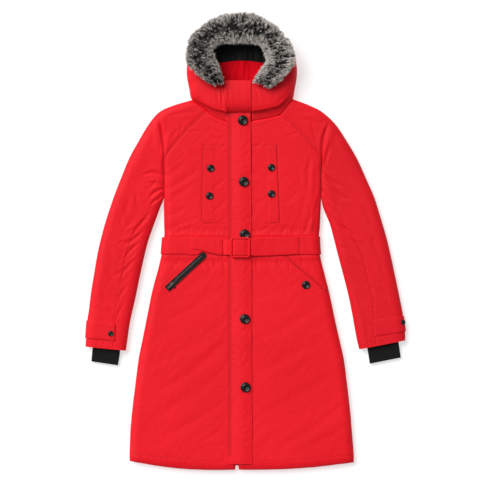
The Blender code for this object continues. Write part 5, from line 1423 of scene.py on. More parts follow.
HOOD_FOLDS = rows_of((
    (222.4, 86.0, 222.8, 107.0, 2.0, 3.2, -1.5),
    (225.4, 88.0, 225.0, 108.5, -1.5, 2.6, 0.9),
    (220.0, 92.0, 221.0, 109.0, 1.0, 2.8, 0.7),
    (216.5, 90.0, 219.5, 104.0, 2.0, 4.0, -0.7),
    (196.5, 84.0, 206.0, 99.0, 4.0, 7.0, -0.9),
    (191.5, 74.0, 196.0, 92.0, 3.0, 6.0, -0.8),
    (201.0, 92.0, 214.0, 106.0, -3.0, 6.0, -0.8),
    (192.0, 88.0, 199.0, 97.5, 2.0, 4.0, -0.9),
    (255.0, 86.0, 259.0, 108.0, -3.0, 6.0, -0.7),
    (262.0, 92.0, 270.0, 104.0, 3.0, 7.0, -0.8),
    (272.0, 97.0, 291.0, 84.0, -4.0, 6.5, -1.6),
    (276.0, 103.0, 294.0, 91.0, 3.0, 5.5, -1.5),
    (283.0, 90.0, 295.0, 79.0, 3.0, 7.0, 0.9),
    (290.0, 100.0, 281.0, 108.5, 2.0, 5.0, -1.2),
    (268.0, 116.0, 285.0, 106.0, 3.0, 5.0, -1.0),
    (205.5, 107.5, 222.0, 117.5, 3.0, 5.0, -1.0),
    (199.0, 101.5, 211.0, 112.5, 2.0, 4.0, 0.7),
    (229.0, 86.0, 231.0, 110.0, 1.0, 4.0, -0.8),
    (233.5, 92.0, 236.0, 108.0, 1.5, 4.5, -0.5),
    (240.0, 88.0, 243.0, 103.0, 2.0, 6.0, -0.5),
), 1.5)


# where the throat's fold lies, as a share of the way from the seam to the rim
FOLD_LEFT = (0.225, 0.215, 0.185, 0.125, 0.08, 0.050, 0.03, 0.02, 0.0, 0.0, 0.0, 0.0, 0.0, 0.0)
FOLD_RIGHT = (0.225, 0.235, 0.245, 0.235, 0.215, 0.175, 0.10, 0.04, 0.0, 0.0, 0.0, 0.0, 0.0, 0.0)
# the fold's outline: share of its place, share of the rest of the way, height
FOLD = (
    (0.00, 0.00, 25.0),
    (0.07, 0.00, 26.0),
    (0.18, 0.00, 26.8),
    (0.38, 0.00, 27.8),
    (0.66, 0.00, 28.8),
    (0.88, 0.00, 30.2),
    (1.02, 0.00, 34.6),
    (1.03, 0.00, 37.6),
    (0.96, 0.00, 40.2),
    (0.96, 0.00, 42.4),
    (1.04, 0.00, 44.6),
    (1.15, 0.03, 45.7),
    (1.15, 0.12, 47.0),
    (1.15, 0.32, 47.8),
    (1.15, 0.55, 47.2),
    (1.15, 0.78, 44.8),
    (1.15, 1.00, 40.0),
)
HOOD_UNDER = ((0.0, 14.0), (0.04, 18.0), (0.1, 22.0), (0.2, 25.5), (0.27, 29.5), (0.33, 35.0), (0.42, 40.0), (0.55, 42.0), (0.8, 40.0), (1.0, 36.0))


def drawn_in(x, y):
    """The hood's seam lies a little further in where the fur covers it."""
    by = 5.0 * smooth(505.0, 540.0, y)
    away = np.hypot(x + 12.0, y - 470.0) + 1e-9
    return x - (x + 12.0) / away * by, y - (y - 470.0) / away * by


def build_hood_side(name, table, fold, seed):
    t = even(table, [0, 1], 2.8)
    rows = spline(table, t)
    rows[:, 0], rows[:, 1] = drawn_in(rows[:, 0], rows[:, 1])
    share = np.clip(linear(table, t)[:, 4:5], 0, 1)
    share = share * (1.0 - 0.7 * share * (1.0 - share))
    at = np.interp(t, range(len(fold)), fold)[:, None]
    curve = spline(FOLD, np.linspace(0, len(FOLD) - 1, 66))
    first, rest, high = (curve[None, :, k] for k in range(3))
    reach = first * at + np.clip(rest, 0, 1) * (1.0 - 1.15 * at)
    reach[:, -1] = 1.0
    profile = np.asarray(HOOD_PROFILE)
    plain = np.linspace(0, 1, 66)[None] ** 1.1 + 0 * at

    def put(reach):
        return rows[:, :1] + (rows[:, 2:3] - rows[:, :1]) * reach, rows[:, 1:2] + (rows[:, 3:4] - rows[:, 1:2]) * reach

    base = np.where(reach <= 1e-6, seam_height(rows[:, 1:2]), HOOD_SEAM_Z)
    x, y = put(reach)
    side_top = base + np.interp(reach, profile[:, 0], profile[:, 3])
    z = side_top * (1 - share) + high * share
    over = np.clip((reach - 0.9 * at) / 0.10, 0, 1)
    beneath = np.clip(reach / 0.04, 0, 1) * (reach < 0.8 * at) * (high < 34.5)
    rise = (creases(x, y, HOOD_FOLDS) + cloth_noise(x, y, seed, 20.0, 1.0)) * np.maximum(over, 0.7 * beneath)
    rise += grooves(x, y, [(HOOD_STITCH_RIGHT if seed % 2 else HOOD_STITCH_LEFT, 1.3, 0.6)])
    top = np.stack([x, y, z + np.clip(rise, -3.5, 2.0)], -1)
    x, y = put(plain)
    base = np.where(plain <= 1e-6, seam_height(rows[:, 1:2]), HOOD_SEAM_Z)
    low = (base + np.interp(plain, profile[:, 0], profile[:, 4])) * (1 - share)
    low += share * np.interp(plain, *zip(*HOOD_UNDER))
    under = np.stack([x, y, low - 1.4 * smooth(0.0, 0.1, plain)], -1)
    ob = slab(name + "_cloth", top, RED, under=under, angle=60)
    return cloth(ob, name)


HOOD_STITCH_LEFT = offset([(r[0], r[1]) for r in HOOD_LEFT[:6]], -6.0)
HOOD_STITCH_RIGHT = offset([(r[0], r[1]) for r in HOOD_RIGHT[:6]], 6.0)


def build_hood_back():
    t = even(HOOD_BACK, [0, 1], 4.0)
    rows = spline(HOOD_BACK, t)
    rows[:, 0], rows[:, 1] = drawn_in(rows[:, 0], rows[:, 1])
    rows[:, 2], rows[:, 3] = drawn_in(rows[:, 2], rows[:, 3])
    shares = np.concatenate([np.linspace(0, 0.16, 16), np.linspace(0.18, 0.82, 46), np.linspace(0.84, 1, 16)])
    x = rows[:, :1] + (rows[:, 2:3] - rows[:, :1]) * shares[None]
    y = rows[:, 1:2] + (rows[:, 3:4] - rows[:, 1:2]) * shares[None]
    neck = np.interp(x[0], [p[0] for p in HOOD_NECK], [p[1] for p in HOOD_NECK])
    fade = np.exp(-t * 1.6)[:, None]
    y = y + (neck - y[0])[None] * fade
    outline = [(r[0], r[1]) for r in HOOD_BACK] + [(r[2], r[3]) for r in HOOD_BACK[::-1]]
    seam = np.where((shares[None] < 1e-6) | (shares[None] > 1 - 1e-6) | (t[:, None] > 0), seam_height(y), LAYER_Z)
    up = 1.0 - roll(distance(x, y, outline) / 26.0)
    up[0, 1:-1] = 0.0
    top = HOOD_FLOOR + (seam - HOOD_FLOOR) * up
    low = (seam - 1.2) * up
    rise = 0.5 * np.maximum(0, cloth_noise(x, y, 203, 70.0)) * (low < 0.5)
    top = np.stack([x, y, top], -1)
    under = np.stack([x, y, np.minimum(low + rise, top[..., 2] - 1.1)], -1)
    ob = slab("hood_back_cloth", top, RED, under=under)
    cloth(ob, "hood_back")


def build_strip(name, node, table, thickness, material, gathers, seed):
    t = even(table, [0], 3.0, linear)
    rows = linear(table, t)
    u = np.linspace(0, 1, 84)
    x = rows[:, 1:2] + (rows[:, 2:3] - rows[:, 1:2]) * u[None]
    y = rows[:, :1] + rows[:, 3:4] * np.sin(pi * u)[None]
    base = HOOD_FLOOR + GAP
    fold = gathers * (0.6 * np.abs(noise(x / 13.0, y / 95.0, seed)) + 0.4 * noise(x / 24.0, y / 70.0, seed + 4))
    fold += 0.4 * noise(x / 30, y / 30, seed + 9)
    top = np.stack([x, y, base + thickness + np.maximum(fold, -0.7 * thickness)], -1)
    under = np.stack([x, y, np.full(x.shape, base)], -1)
    ob = slab(name, top, material, under=under)
    return cloth(ob, node)


THROAT_LOOK = (  # as the piece, its left edge in a soft S and its foot bent down
    (360.0, -52.8, 16.2, 31.0, 34.4),
    (362.4, -53.0, 16.3, 33.0, 37.0),
    (367.0, -53.8, 16.4, 37.0, 41.4),
    (378.0, -56.0, 16.5, 43.2, 47.4),
    (396.0, -58.6, 16.3, 46.0, 50.2),
    (420.0, -60.2, 16.1, 45.0, 49.6),
    (438.0, -61.2, 15.9, 41.8, 47.4),
    (448.6, -61.4, 15.8, 39.0, 45.0),
)


def build_throat_flap():
    t = even(THROAT_LOOK, [0], 2.0)
    rows = spline(THROAT_LOOK, t)
    u = np.concatenate([[0.0, 0.012, 0.03, 0.055], np.linspace(0.085, 0.915, 30), [0.945, 0.97, 0.988, 1.0]])
    x = rows[:, 1:2] + (rows[:, 2:3] - rows[:, 1:2]) * u[None]
    y = rows[:, :1] + 0.0 * x
    inside = np.minimum(u, 1 - u) * 67.0
    drop = 1.0 * (1 - roll(inside / 3.0))
    ends = np.minimum(y - 360.0, 448.6 - y)
    rise = creases(x, y, HOOD_FOLDS) * 0.9 + 0.8 * cloth_noise(x, y, 211, 80.0)
    rise += grooves(x, y, [([(-47.0, 362), (-46.0, 447)], 1.1, 0.4), ([(10.0, 362), (10.0, 447)], 1.1, 0.4), ([(-47, 444), (11, 444)], 1.1, 0.35)])
    rise = np.clip(rise, -1.8, 1.6) * np.clip(ends / 3.0, 0, 1)
    top = np.stack([x, y, rows[:, 4:5] - drop[None] - 0.9 * (1 - roll(ends / 2.5)) + rise], -1)
    under = np.stack([x, y, np.minimum(rows[:, 3:4] + 0.0 * x, top[..., 2] - 0.8)], -1)
    ob = slab("throat_flap_cloth", top, RED, under=under, angle=50)
    cloth(ob, "throat_flap")


# ---- fur ----------------------------------------------------------------------
FUR_LOOK = FUR[:7] + ((-80.0, 626.0, -42.0, 548.9), (-22.0, 637.0, -18.2, 549.5), (27.0, 632.5, 7.0, 548.9), (73.0, 608.5, 27.4, 547.3)) + FUR[11:]


def fur_frame(t):
    """Centre, outward direction, half width and half height of the ruff at t."""
    rows = spline(FUR_LOOK, t)
    outer, inner = rows[:, :2], rows[:, 2:]
    centre = (outer + inner) / 2
    half = np.linalg.norm(outer - inner, axis=1) / 2
    d = (outer - inner) / (2 * half[:, None])
    tall = (FUR_HIGH - FUR_LOW) / 2
    end = np.minimum(t, len(FUR) - 1 - t)
    tall = tall * (0.62 + 0.38 * smooth(0.0, 1.0, end))
    return centre, d, half, tall


def build_fur():
    # a dark pelt under the hair, in the roots' colour: partly dark underfur, partly painted shade
    t = np.linspace(0.12, len(FUR) - 1.12, 150)
    centre, d, half, tall = fur_frame(t)
    turn = 2 * pi * np.arange(28) / 28
    k = 0.60
    rings = np.zeros((len(t), 28, 3))
    rings[..., 0] = centre[:, :1] + d[:, :1] * (half[:, None] * k * np.cos(turn)[None])
    rings[..., 1] = centre[:, 1:] + d[:, 1:] * (half[:, None] * k * np.cos(turn)[None])
    rings[..., 2] = FUR_LOW + tall[:, None] * (1 + k * np.sin(turn)[None])
    # its underside comes down to the hood, furthest at the crown
    down = 9.0 + 10.0 * smooth(4.5, 6.5, t) * (1 - smooth(9.5, 11.5, t))
    rings[..., 2] -= down[:, None] * np.maximum(0.0, -np.sin(turn))[None] ** 0.8
    rings[..., 2] += 1.2 * noise(rings[..., 0] / 9.0, rings[..., 1] / 9.0, 301)
    pelt = tube_of("fur_pelt", rings, FUR_MAT, angle=80)
    layer = pelt.data.uv_layers.new(name="OFBake")
    uv = np.zeros((len(pelt.data.loops), 2), np.float32)
    uv[:, 0] = 0.5
    uv[:, 1] = 0.04
    layer.uv.foreach_set("vector", uv.ravel())
    stand_for(pelt, "fur_trim")

    dice = np.random.default_rng(7)
    clumps, each = 2600, 23
    # clumps spread over the ring and round its section, fewer underneath
    ct = dice.uniform(0.05, len(FUR) - 1.05, clumps)
    phi = dice.uniform(-35, 215, clumps)
    phi = np.radians(phi)
    lean = 0.55 * np.cos(phi) * np.sin(phi)  # hair on top leans off the middle line
    sweep = 0.5 * noise(ct * 2.3, phi * 1.4, 311)
    twist = 0.6 * noise(ct * 3.1 + 40, phi * 1.1, 312) + dice.normal(0, 0.22, clumps)
    length = dice.uniform(0.74, 1.10, clumps) + 0.08 * noise(ct * 1.7, phi, 313)
    strands = clumps * each
    c = np.repeat(np.arange(clumps), each)
    st = np.clip(ct[c] + dice.normal(0, 0.046, strands), 0.02, len(FUR) - 1.02)
    sphi = phi[c] + dice.normal(0, 0.10, strands)

    def spot(t, phi, k):
        centre, d, half, tall = fur_frame(t)
        xy = centre + d * (half * k * np.cos(phi))[:, None]
        return np.column_stack([xy, FUR_LOW + tall * (1 + k * np.sin(phi))])

    def tangent(t):
        a, b = fur_frame(np.clip(t - 0.1, 0, 16))[0], fur_frame(np.clip(t + 0.1, 0, 16))[0]
        d = b - a
        return d / np.linalg.norm(d, axis=1)[:, None]

    root = spot(st, sphi, 0.56)
    reach = length[c] * dice.uniform(0.80, 1.10, strands) * np.where(dice.random(strands) < 0.07, 1.16, 1.0)
    aim = phi[c] - lean[c] + sweep[c]
    clump_tip = spot(ct[c], np.clip(aim, -0.9, pi + 0.9), 1.0)
    own_tip = spot(st, np.clip(sphi - lean[c] + sweep[c], -0.9, pi + 0.9), 1.0)
    gather = dice.uniform(0.45, 0.93, strands)[:, None]
    tip = own_tip * (1 - gather) + clump_tip * gather
    side = np.column_stack([tangent(st), np.zeros(strands)])
    tip = tip + side * (twist[c] * 11.0 + dice.normal(0, 1.8, strands))[:, None]
    tip = root + (tip - root) * reach[:, None]
    tip += dice.normal(0, 0.9, (strands, 3))
    # hair at the two ends of the ruff fans out over them
    end = np.where(st < 1.2, -(1.2 - st), np.where(st > len(FUR) - 2.2, st - (len(FUR) - 2.2), 0.0))
    tip += side * (end * 2.6)[:, None]
    middle = (root + tip) / 2
    out = middle - np.column_stack([fur_frame(st)[0], np.full(strands, 62.0)])
    out /= np.linalg.norm(out, axis=1)[:, None] + 1e-9
    bend = dice.normal(1.6, 1.4, strands)[:, None]
    p1 = root + (tip - root) * 0.34 + out * bend
    p2 = root + (tip - root) * 0.70 + out * bend * 0.9 + dice.normal(0, 0.5, (strands, 3))
    pts = np.stack([root, p1, p2, tip], 1)
    pts[..., 2] = np.maximum(pts[..., 2], 33.0)
    pts[..., 2] = np.minimum(pts[..., 2], FUR_HIGH + 7.0)
    direction = tip - root
    direction /= np.linalg.norm(direction, axis=1)[:, None]
    face = dice.normal(0, 1, (strands, 3)) * 0.7 + np.array([0, 0, 1.0])
    wide = np.cross(direction, face)
    wide /= np.linalg.norm(wide, axis=1)[:, None] + 1e-9
    wide *= dice.uniform(0.75, 1.25, strands)[:, None]
    widths = (0.40, 0.42, 0.30)
    verts = np.zeros((strands, 7, 3))
    for k, w in enumerate(widths):
        verts[:, 2 * k] = pts[:, k] - wide * w
        verts[:, 2 * k + 1] = pts[:, k] + wide * w
    verts[:, 6] = pts[:, 3]
    heights = np.array([0.0, 0.0, 0.36, 0.36, 0.72, 0.72, 1.0])
    across = 0.03 + 0.94 * (0.965 * dice.uniform(0, 1, clumps)[c] + 0.035 * dice.uniform(0, 1, strands))
    order = np.argsort(st)
    pieces = np.array_split(order, 3)
    for n, part in enumerate(pieces):
        v = verts[part]
        count = len(part)
        at = np.arange(count)[:, None] * 7
        quads = np.concatenate([at + np.array([[0, 1, 3, 2]]), at + np.array([[2, 3, 5, 4]])])
        tris = at + np.array([[4, 5, 6]])
        mesh = bpy.data.meshes.new(f"fur_hair_{n + 1}")
        mesh.from_pydata((v.reshape(-1, 3) * MM).tolist(), [], quads.tolist() + tris.tolist())
        mesh.materials.append(FUR_MAT)
        mesh.shade_smooth()
        layer = mesh.uv_layers.new(name="OFBake")
        index = np.empty(len(mesh.loops), np.int32)
        mesh.loops.foreach_get("vertex_index", index)
        uv = np.zeros((len(index), 2), np.float32)
        uv[:, 0] = across[part][index // 7]
        uv[:, 0] += np.where(index % 7 == 6, 0.0, np.where(index % 2 == 0, -0.002, 0.002))
        uv[:, 1] = heights[index % 7] * 0.94 + 0.03
        layer.uv.foreach_set("vector", uv.ravel())
        ob = bpy.data.objects.new(f"fur_hair_{n + 1}", mesh)
        bpy.context.scene.collection.objects.link(ob)
        stand_for(ob, None)


# ---- belt ---------------------------------------------------------------------
def band_profile(n=19, width=46.0):
    """Shares across a band, close together at its edges, and how far its edge rounds."""
    u = np.concatenate([[0.0, 0.008, 0.022, 0.045], np.linspace(0.075, 0.925, n), [0.955, 0.978, 0.992, 1.0]])
    inside = np.minimum(u, 1 - u) * width
    return u, inside


def band_rise(x, y, inside, seed, end=None):
    stitched = -0.38 * np.exp(-(((inside - 5.0) / 1.0) ** 2))
    rise = 0.30 * noise(x / 26.0, y / 18.0, seed) + 0.12 * crinkle(x, y, 8.0, seed + 2) + 0.14 * drag(x, y, 70.0, 30.0, 9.0, seed + 5)
    return rise * np.clip(inside / 2.0, 0, 1) + stitched


def build_band(name, node, table, seed, curve=linear):
    t = even(table, [0], 2.6, curve)
    rows = curve(table, t)
    u, inside = band_profile()
    x = rows[:, :1] + 0.0 * u[None]
    y = rows[:, 1:2] + (rows[:, 2:3] - rows[:, 1:2]) * u[None]
    ends = np.minimum(np.abs(x - x[0]), np.abs(x - x[-1]))
    rise = band_rise(x, y, inside[None] + 0 * x, seed)
    rise = rise - 0.35 * np.exp(-(((ends - 5.0) / 1.0) ** 2)) * (inside[None] > 4)
    drop = 1.3 * (1 - roll(inside / 3.4))[None] + 0.8 * (1 - roll(ends / 2.0))
    top = np.stack([x, y, rows[:, 3:4] + BELT_T - drop + np.clip(rise, -0.9, 0.25)], -1)
    under = np.stack([x, y, rows[:, 3:4] + 0.0 * x], -1)
    ob = slab(name, top, RED_SMALL, under=under, angle=50)
    cloth(ob, node)
    return ob


def body_side_x(side, y):
    t = np.linspace(0, len(BODY) - 1, 800)
    rows = spline(BODY, t)
    k = 0 if side < 0 else 2
    return np.interp(-y, -rows[:, k + 1], rows[:, k])


def build_belt_side(name, node, side, run, seed):
    upper, lower = SIDE_BELT_Y[side]
    bow = 1.6 if side < 0 else 0.8  # it stands out from the waist
    u, inside = band_profile()
    wrap = np.concatenate([np.linspace(60, 26, 14), [23, 20, 17, 14, 11.5, 9.2, 7.2, 5.4, 3.8, 2.4, 1.2, 0.5]])
    t = even(run, [0], 2.6, linear)
    front_rows = linear(run, t)

    def skin(out, outer):
        path = []
        for row in front_rows:
            y = row[1] + (row[2] - row[1]) * u
            path.append(np.stack([np.full(len(u), row[0]), y, np.full(len(u), row[3] + (BELT_T if outer else 0.0))], -1))
        y = upper + (lower - upper) * u
        edge = body_side_x(side, y) + side * bow * (0.6 + 0.4 * u)
        if side < 0:
            edge = -231.4 - 4.2 * u
        for top in (True, False):
            for near in wrap if top else wrap[::-1]:
                # the bow only moves the side: the front run keeps its place
                near = near + bow * smooth(26.0, 60.0, near)
                s = near - out * (1.0 - min(1.0, near / 15.0))
                k = roll((s + out) / (SIDE_ROUND + out))
                if top:
                    z = LAYER_Z + EDGE + (BODY_Z + out - LAYER_Z - EDGE) * k
                else:
                    z = LAYER_Z - EDGE - (LAYER_Z - EDGE - CHANNEL + out) * k
                path.append(np.stack([edge - side * s, y, np.full(len(u), float(z))], -1))
            if top:
                path.append(np.stack([edge + side * out, y, np.full(len(u), LAYER_Z)], -1))
        return np.array(path)

    outside, under = skin(GAP + BELT_T, True), skin(GAP, False)
    n = len(front_rows) + len(wrap)
    x, y = outside[:n, :, 0], outside[:n, :, 1]
    rise = band_rise(x, y, inside[None] + 0 * x, seed)
    drop = 1.3 * (1 - roll(inside / 3.4))[None] + 0 * x
    edge_x = np.abs(x - outside[n, :, 0][None])
    outside[:n, :, 2] += (np.clip(rise, -0.9, 0.25) - drop) * np.clip(edge_x / 12.0, 0, 1)
    ob = slab(name, outside, RED_SMALL, under=under, angle=50)
    cloth(ob, node)


def build_buckle():
    """Frame covered with the belt's cloth, its section rounded, and its middle bar."""
    left, right, top, bottom, width = BUCKLE
    cx, cy = (left + right) / 2, (top + bottom) / 2
    hx, hy = (right - left) / 2 - width / 2, (top - bottom) / 2 - width / 2
    low, high = BUCKLE_Z
    r = 5.2
    path = []
    for sx, sy, start in ((1, 1, 0), (-1, 1, 90), (-1, -1, 180), (1, -1, 270)):
        for k in range(11):
            a = radians(start + 9.0 * k)
            path.append((cx + sx * (hx - r) + r * cos(a), cy + sy * (hy - r) + r * sin(a)))
    p = []
    for a, b in zip(path, path[1:] + path[:1]):
        n = max(1, int(hypot(b[0] - a[0], b[1] - a[1]) / 2.4))
        p += [(a[0] + (b[0] - a[0]) * k / n, a[1] + (b[1] - a[1]) * k / n) for k in range(n)]
    p = np.array(p)
    d = np.roll(p, -1, 0) - np.roll(p, 1, 0)
    d /= np.linalg.norm(d, axis=1)[:, None]
    normal = np.stack([d[:, 1], -d[:, 0]], 1)
    m = 20
    turn = 2 * pi * np.arange(m) / m
    c, s = np.cos(turn), np.sin(turn)
    # the side towards the folded layer is slimmer on its inner side
    slim = np.where(p[:, 0] < cx - hx + 1.0, 0.42, 0.86)[:, None]
    w = np.sign(c) * np.abs(c) ** 0.6 * width / 2
    w = w[None] * np.where(c[None] < 0, 2 * slim - 1.0 + 0 * c[None], 1.0)
    h = np.sign(s) * np.abs(s) ** 0.6 * (high - low) / 2
    rings = np.zeros((len(p), m, 3))
    rings[..., 0] = p[:, :1] + normal[:, :1] * w
    rings[..., 1] = p[:, 1:] + normal[:, 1:] * w
    rings[..., 2] = (low + high) / 2 + h[None]
    rings[..., 2] += 0.12 * noise(rings[..., 0] / 5.0, rings[..., 1] / 5.0, 401) * (h[None] > 0)
    count = len(p)
    i = np.arange(count)[:, None] * m + np.arange(m)[None]
    j = np.arange(count)[:, None] * m + (np.arange(m)[None] + 1) % m
    quads = np.stack([i, j, (j + m) % (count * m), (i + m) % (count * m)], -1).reshape(-1, 4)
    ob = make("buckle_frame", rings.reshape(-1, 3), [quads], RED_SMALL, 50)
    stand_for(ob, "buckle")
    # the bar hangs between the upper and lower sides, and the tail passes over it
    t = np.linspace(-1, 1, 24)
    bar = np.zeros((24, 12, 3))
    turn = 2 * pi * np.arange(12) / 12
    bar[..., 0] = -14.5 + 2.1 * np.cos(turn)[None]
    bar[..., 1] = cy + (hy - 0.5) * t[:, None]
    bar[..., 2] = 35.25 + 1.1 * np.sin(turn)[None] + 2.6 * smooth(0.86, 1.0, np.abs(t))[:, None]
    ob = tube_of("buckle_bar", bar, RED_SMALL, angle=50)
    stand_for(ob, None)


# ---- storm flap, welts ---------------------------------------------------------
def build_storm_flap():
    t = even(FLAP, [0], 2.6)
    t = np.unique(np.concatenate([t, np.linspace(6.96, 7, 8)]))
    rows = spline(FLAP, t)
    rows[:, 1] -= 5.2 * smooth(330.0, 335.0, rows[:, 0])
    u = np.concatenate([[0.0, 0.006, 0.016, 0.032], np.linspace(0.055, 0.945, 27), [0.966, 0.982, 0.993, 1.0]])
    inside = np.minimum(u, 1 - u) * 67.0
    x = rows[:, 1:2] + (rows[:, 2:3] - rows[:, 1:2]) * u[None]
    y = rows[:, :1] + 0.0 * x
    foot = y + 624.0
    free = (1 - u) * 67.0
    wobble = 0.5 * noise(y / 40.0, 0 * y + 2.0, 421) * np.exp(-free / 8.0)[None]
    x = x + wobble
    stands = np.exp(-(((y - 262.0) / 44.0) ** 2)) + np.exp(-(((y - 350.0) / 16.0) ** 2)) + 0.5 * smooth(0.1, 0.6, noise(y / 60.0, 0 * y + 5.0, 425))
    thick = FLAP_T * (0.12 + 0.88 * smooth(0.0, 40.0, u * 67.0))[None]
    thick = thick * (1.0 - 0.50 * smooth(26.0, 0.0, free)[None] * (1.0 - np.clip(stands, 0.0, 1.0)))
    thin = 1.3 * (1 - roll(free / 2.6))[None] + 1.2 * (1 - roll(foot / 2.6))
    rise = 0.75 * cloth_noise(x, y, 423, 42.0) + creases(x, y, FLAP_FOLDS)
    rise += grooves(x, y, FLAP_GROOVES)
    for name, bx, by, r, z, turn in BUTTONS[:5]:
        rise = rise * (1 - smooth(r + 5, r * 0.5, np.hypot(x - bx, y - by))) - 0.5 * smooth(r + 7, r * 0.5, np.hypot(x - bx, y - by))
    belt = smooth(6.0, -2.0, np.abs(y + 18.0) - 30.0)
    rise = rise * (1 - belt) - 0.25 * belt
    rise = np.clip(rise, -1.6, 1.4)
    lift = 0.5 * np.exp(-(((free - 2.2) / 1.8) ** 2))[None] * np.clip(stands, 0.0, 1.0)
    z = BODY_Z + GAP + thick - thin + rise * np.clip(inside / 2.5, 0, 1)[None] * np.minimum(1.0, thick / 1.6) + lift * (1 - belt)
    top = np.stack([x, y, np.maximum(z, BODY_Z + GAP + 0.12)], -1)
    under = np.stack([x, y, np.full(x.shape, BODY_Z + GAP)], -1)
    ob = slab("storm_flap_cloth", top, RED, under=under, angle=50)
    cloth(ob, "storm_flap")


FLAP_LEFT_LINES = ([(-46.6, y) for y in range(356, -624, -20)], [(-41.0, y) for y in range(356, -624, -20)])
FLAP_RIGHT_LINE = [(10.6 + 4.0 * (340 - y) / 960, y) for y in range(356, -617, -20)] + [(14.8, -618.0)]
FLAP_FOOT_LINE = [(-40.5, -618.4), (14.6, -618.4)]
FLAP_GROOVES = [(FLAP_LEFT_LINES[0], 1.0, 0.35), (FLAP_LEFT_LINES[1], 1.2, 0.65), (FLAP_RIGHT_LINE, 1.1, 0.38), (FLAP_FOOT_LINE, 1.1, 0.35)]
FLAP_FOLDS = puckers(FLAP_LEFT_LINES[1], 8.5, 26.0, 44.0, 3.2, 0.52, 1, 61)
FLAP_FOLDS += puckers(FLAP_RIGHT_LINE, 10.0, 22.0, 136.0, 3.0, 0.44, -1, 62)
FLAP_FOLDS += puckers([(-12, 330), (-12, -610)], 30.0, 30.0, 130.0, 5.0, 0.42, 1, 63)


def build_welt(name, node, corners, edge_side, seed):
    """A flat pocket panel whose outer edge lifts as the slit and whose other edges lie flush."""
    a, b, c, d = (np.array(p) for p in corners)
    u = np.concatenate([[0, 0.02, 0.05, 0.09, 0.14], np.linspace(0.19, 0.81, 12), [0.86, 0.91, 0.95, 0.98, 1.0]])
    v = np.concatenate([[0, 0.002, 0.006, 0.011], np.linspace(0.017, 0.983, 84), [0.989, 0.994, 0.998, 1.0]])
    top_line = a[None] + (b - a)[None] * u[:, None]
    low_line = d[None] + (c - d)[None] * u[:, None]
    xy = top_line[None] + (low_line - top_line)[None] * v[:, None, None]
    x, y = xy[..., 0], xy[..., 1]
    across = (u if edge_side < 0 else 1 - u) * 33.0
    other = 33.0 - across
    lengthwise = np.minimum(v, 1 - v) * 221.0
    height = WELT_T * (1 - roll(1 - np.clip(across / 2.0, 0, 1)) * 0.45)[None] + 0 * x
    height = 0.30 + (height - 0.30) * smooth(0.0, 9.0, other)[None] * smooth(0.0, 7.0, lengthwise)[:, None]
    rise = front_free(x, y) + grooves(x, y, WELT_GROOVES) * 0.6
    for _, bx, by, r, z, turn in BUTTONS[5:9]:
        rise = rise * (1 - smooth(r + 9, r * 0.6, np.hypot(x - bx, y - by)))
    top = np.stack([x, y, BODY_Z + 0.1 + height + rise], -1)
    under = np.stack([x, y, BODY_Z + rise - 0.30], -1)
    ob = slab(name, top, RED, under=under, angle=50)
    cloth(ob, node)


def tack_box(corners):
    return [photo(*p) for p in (*corners, corners[0])]


TACKS = [
    tack_box(((204.4, 145.6), (212.2, 145.6), (212.2, 150.0), (204.4, 150.0))),
    tack_box(((203.4, 219.2), (211.2, 219.2), (211.2, 222.8), (203.4, 222.8))),
    tack_box(((268.8, 146.4), (275.6, 146.6), (275.8, 151.0), (269.0, 151.0))),
    tack_box(((271.6, 218.6), (278.4, 218.6), (278.4, 222.6), (271.6, 222.6))),
]
WELT_GROOVES = [(t, 1.0, 0.35) for t in TACKS]


def build_slant():
    (x0, y0), (x1, y1), width = SLANT
    length = hypot(x1 - x0, y1 - y0)
    tx, ty = (x1 - x0) / length, (y1 - y0) / length
    nx, ny = -ty, tx
    a = np.linspace(0, length, 60)
    b = np.array([0.0, 0.25, 0.7, 1.3, 2.1, 3.0, 3.9, 4.6, 5.0])
    x = x0 + tx * a[:, None] - nx * b[None]
    y = y0 + ty * a[:, None] - ny * b[None]
    lift = 1.1 * roll(b / 1.2)[None] * (0.35 + 0.65 * smooth(5.0, 2.2, b))[None]
    lift = lift * (0.4 + 0.6 * roll(np.minimum(a, length - a) / 3.0))[:, None] + 0.15 * noise(x / 12, y / 12, 431)
    top = np.stack([x, y, BODY_Z + GAP + np.maximum(lift, 0.12)], -1)
    under = np.stack([x, y, np.full(x.shape, BODY_Z + GAP - 0.25)], -1)
    ob = slab("pocket_edge_cloth", top, RED, under=under, angle=50)
    cloth(ob, "pocket_edge_right")


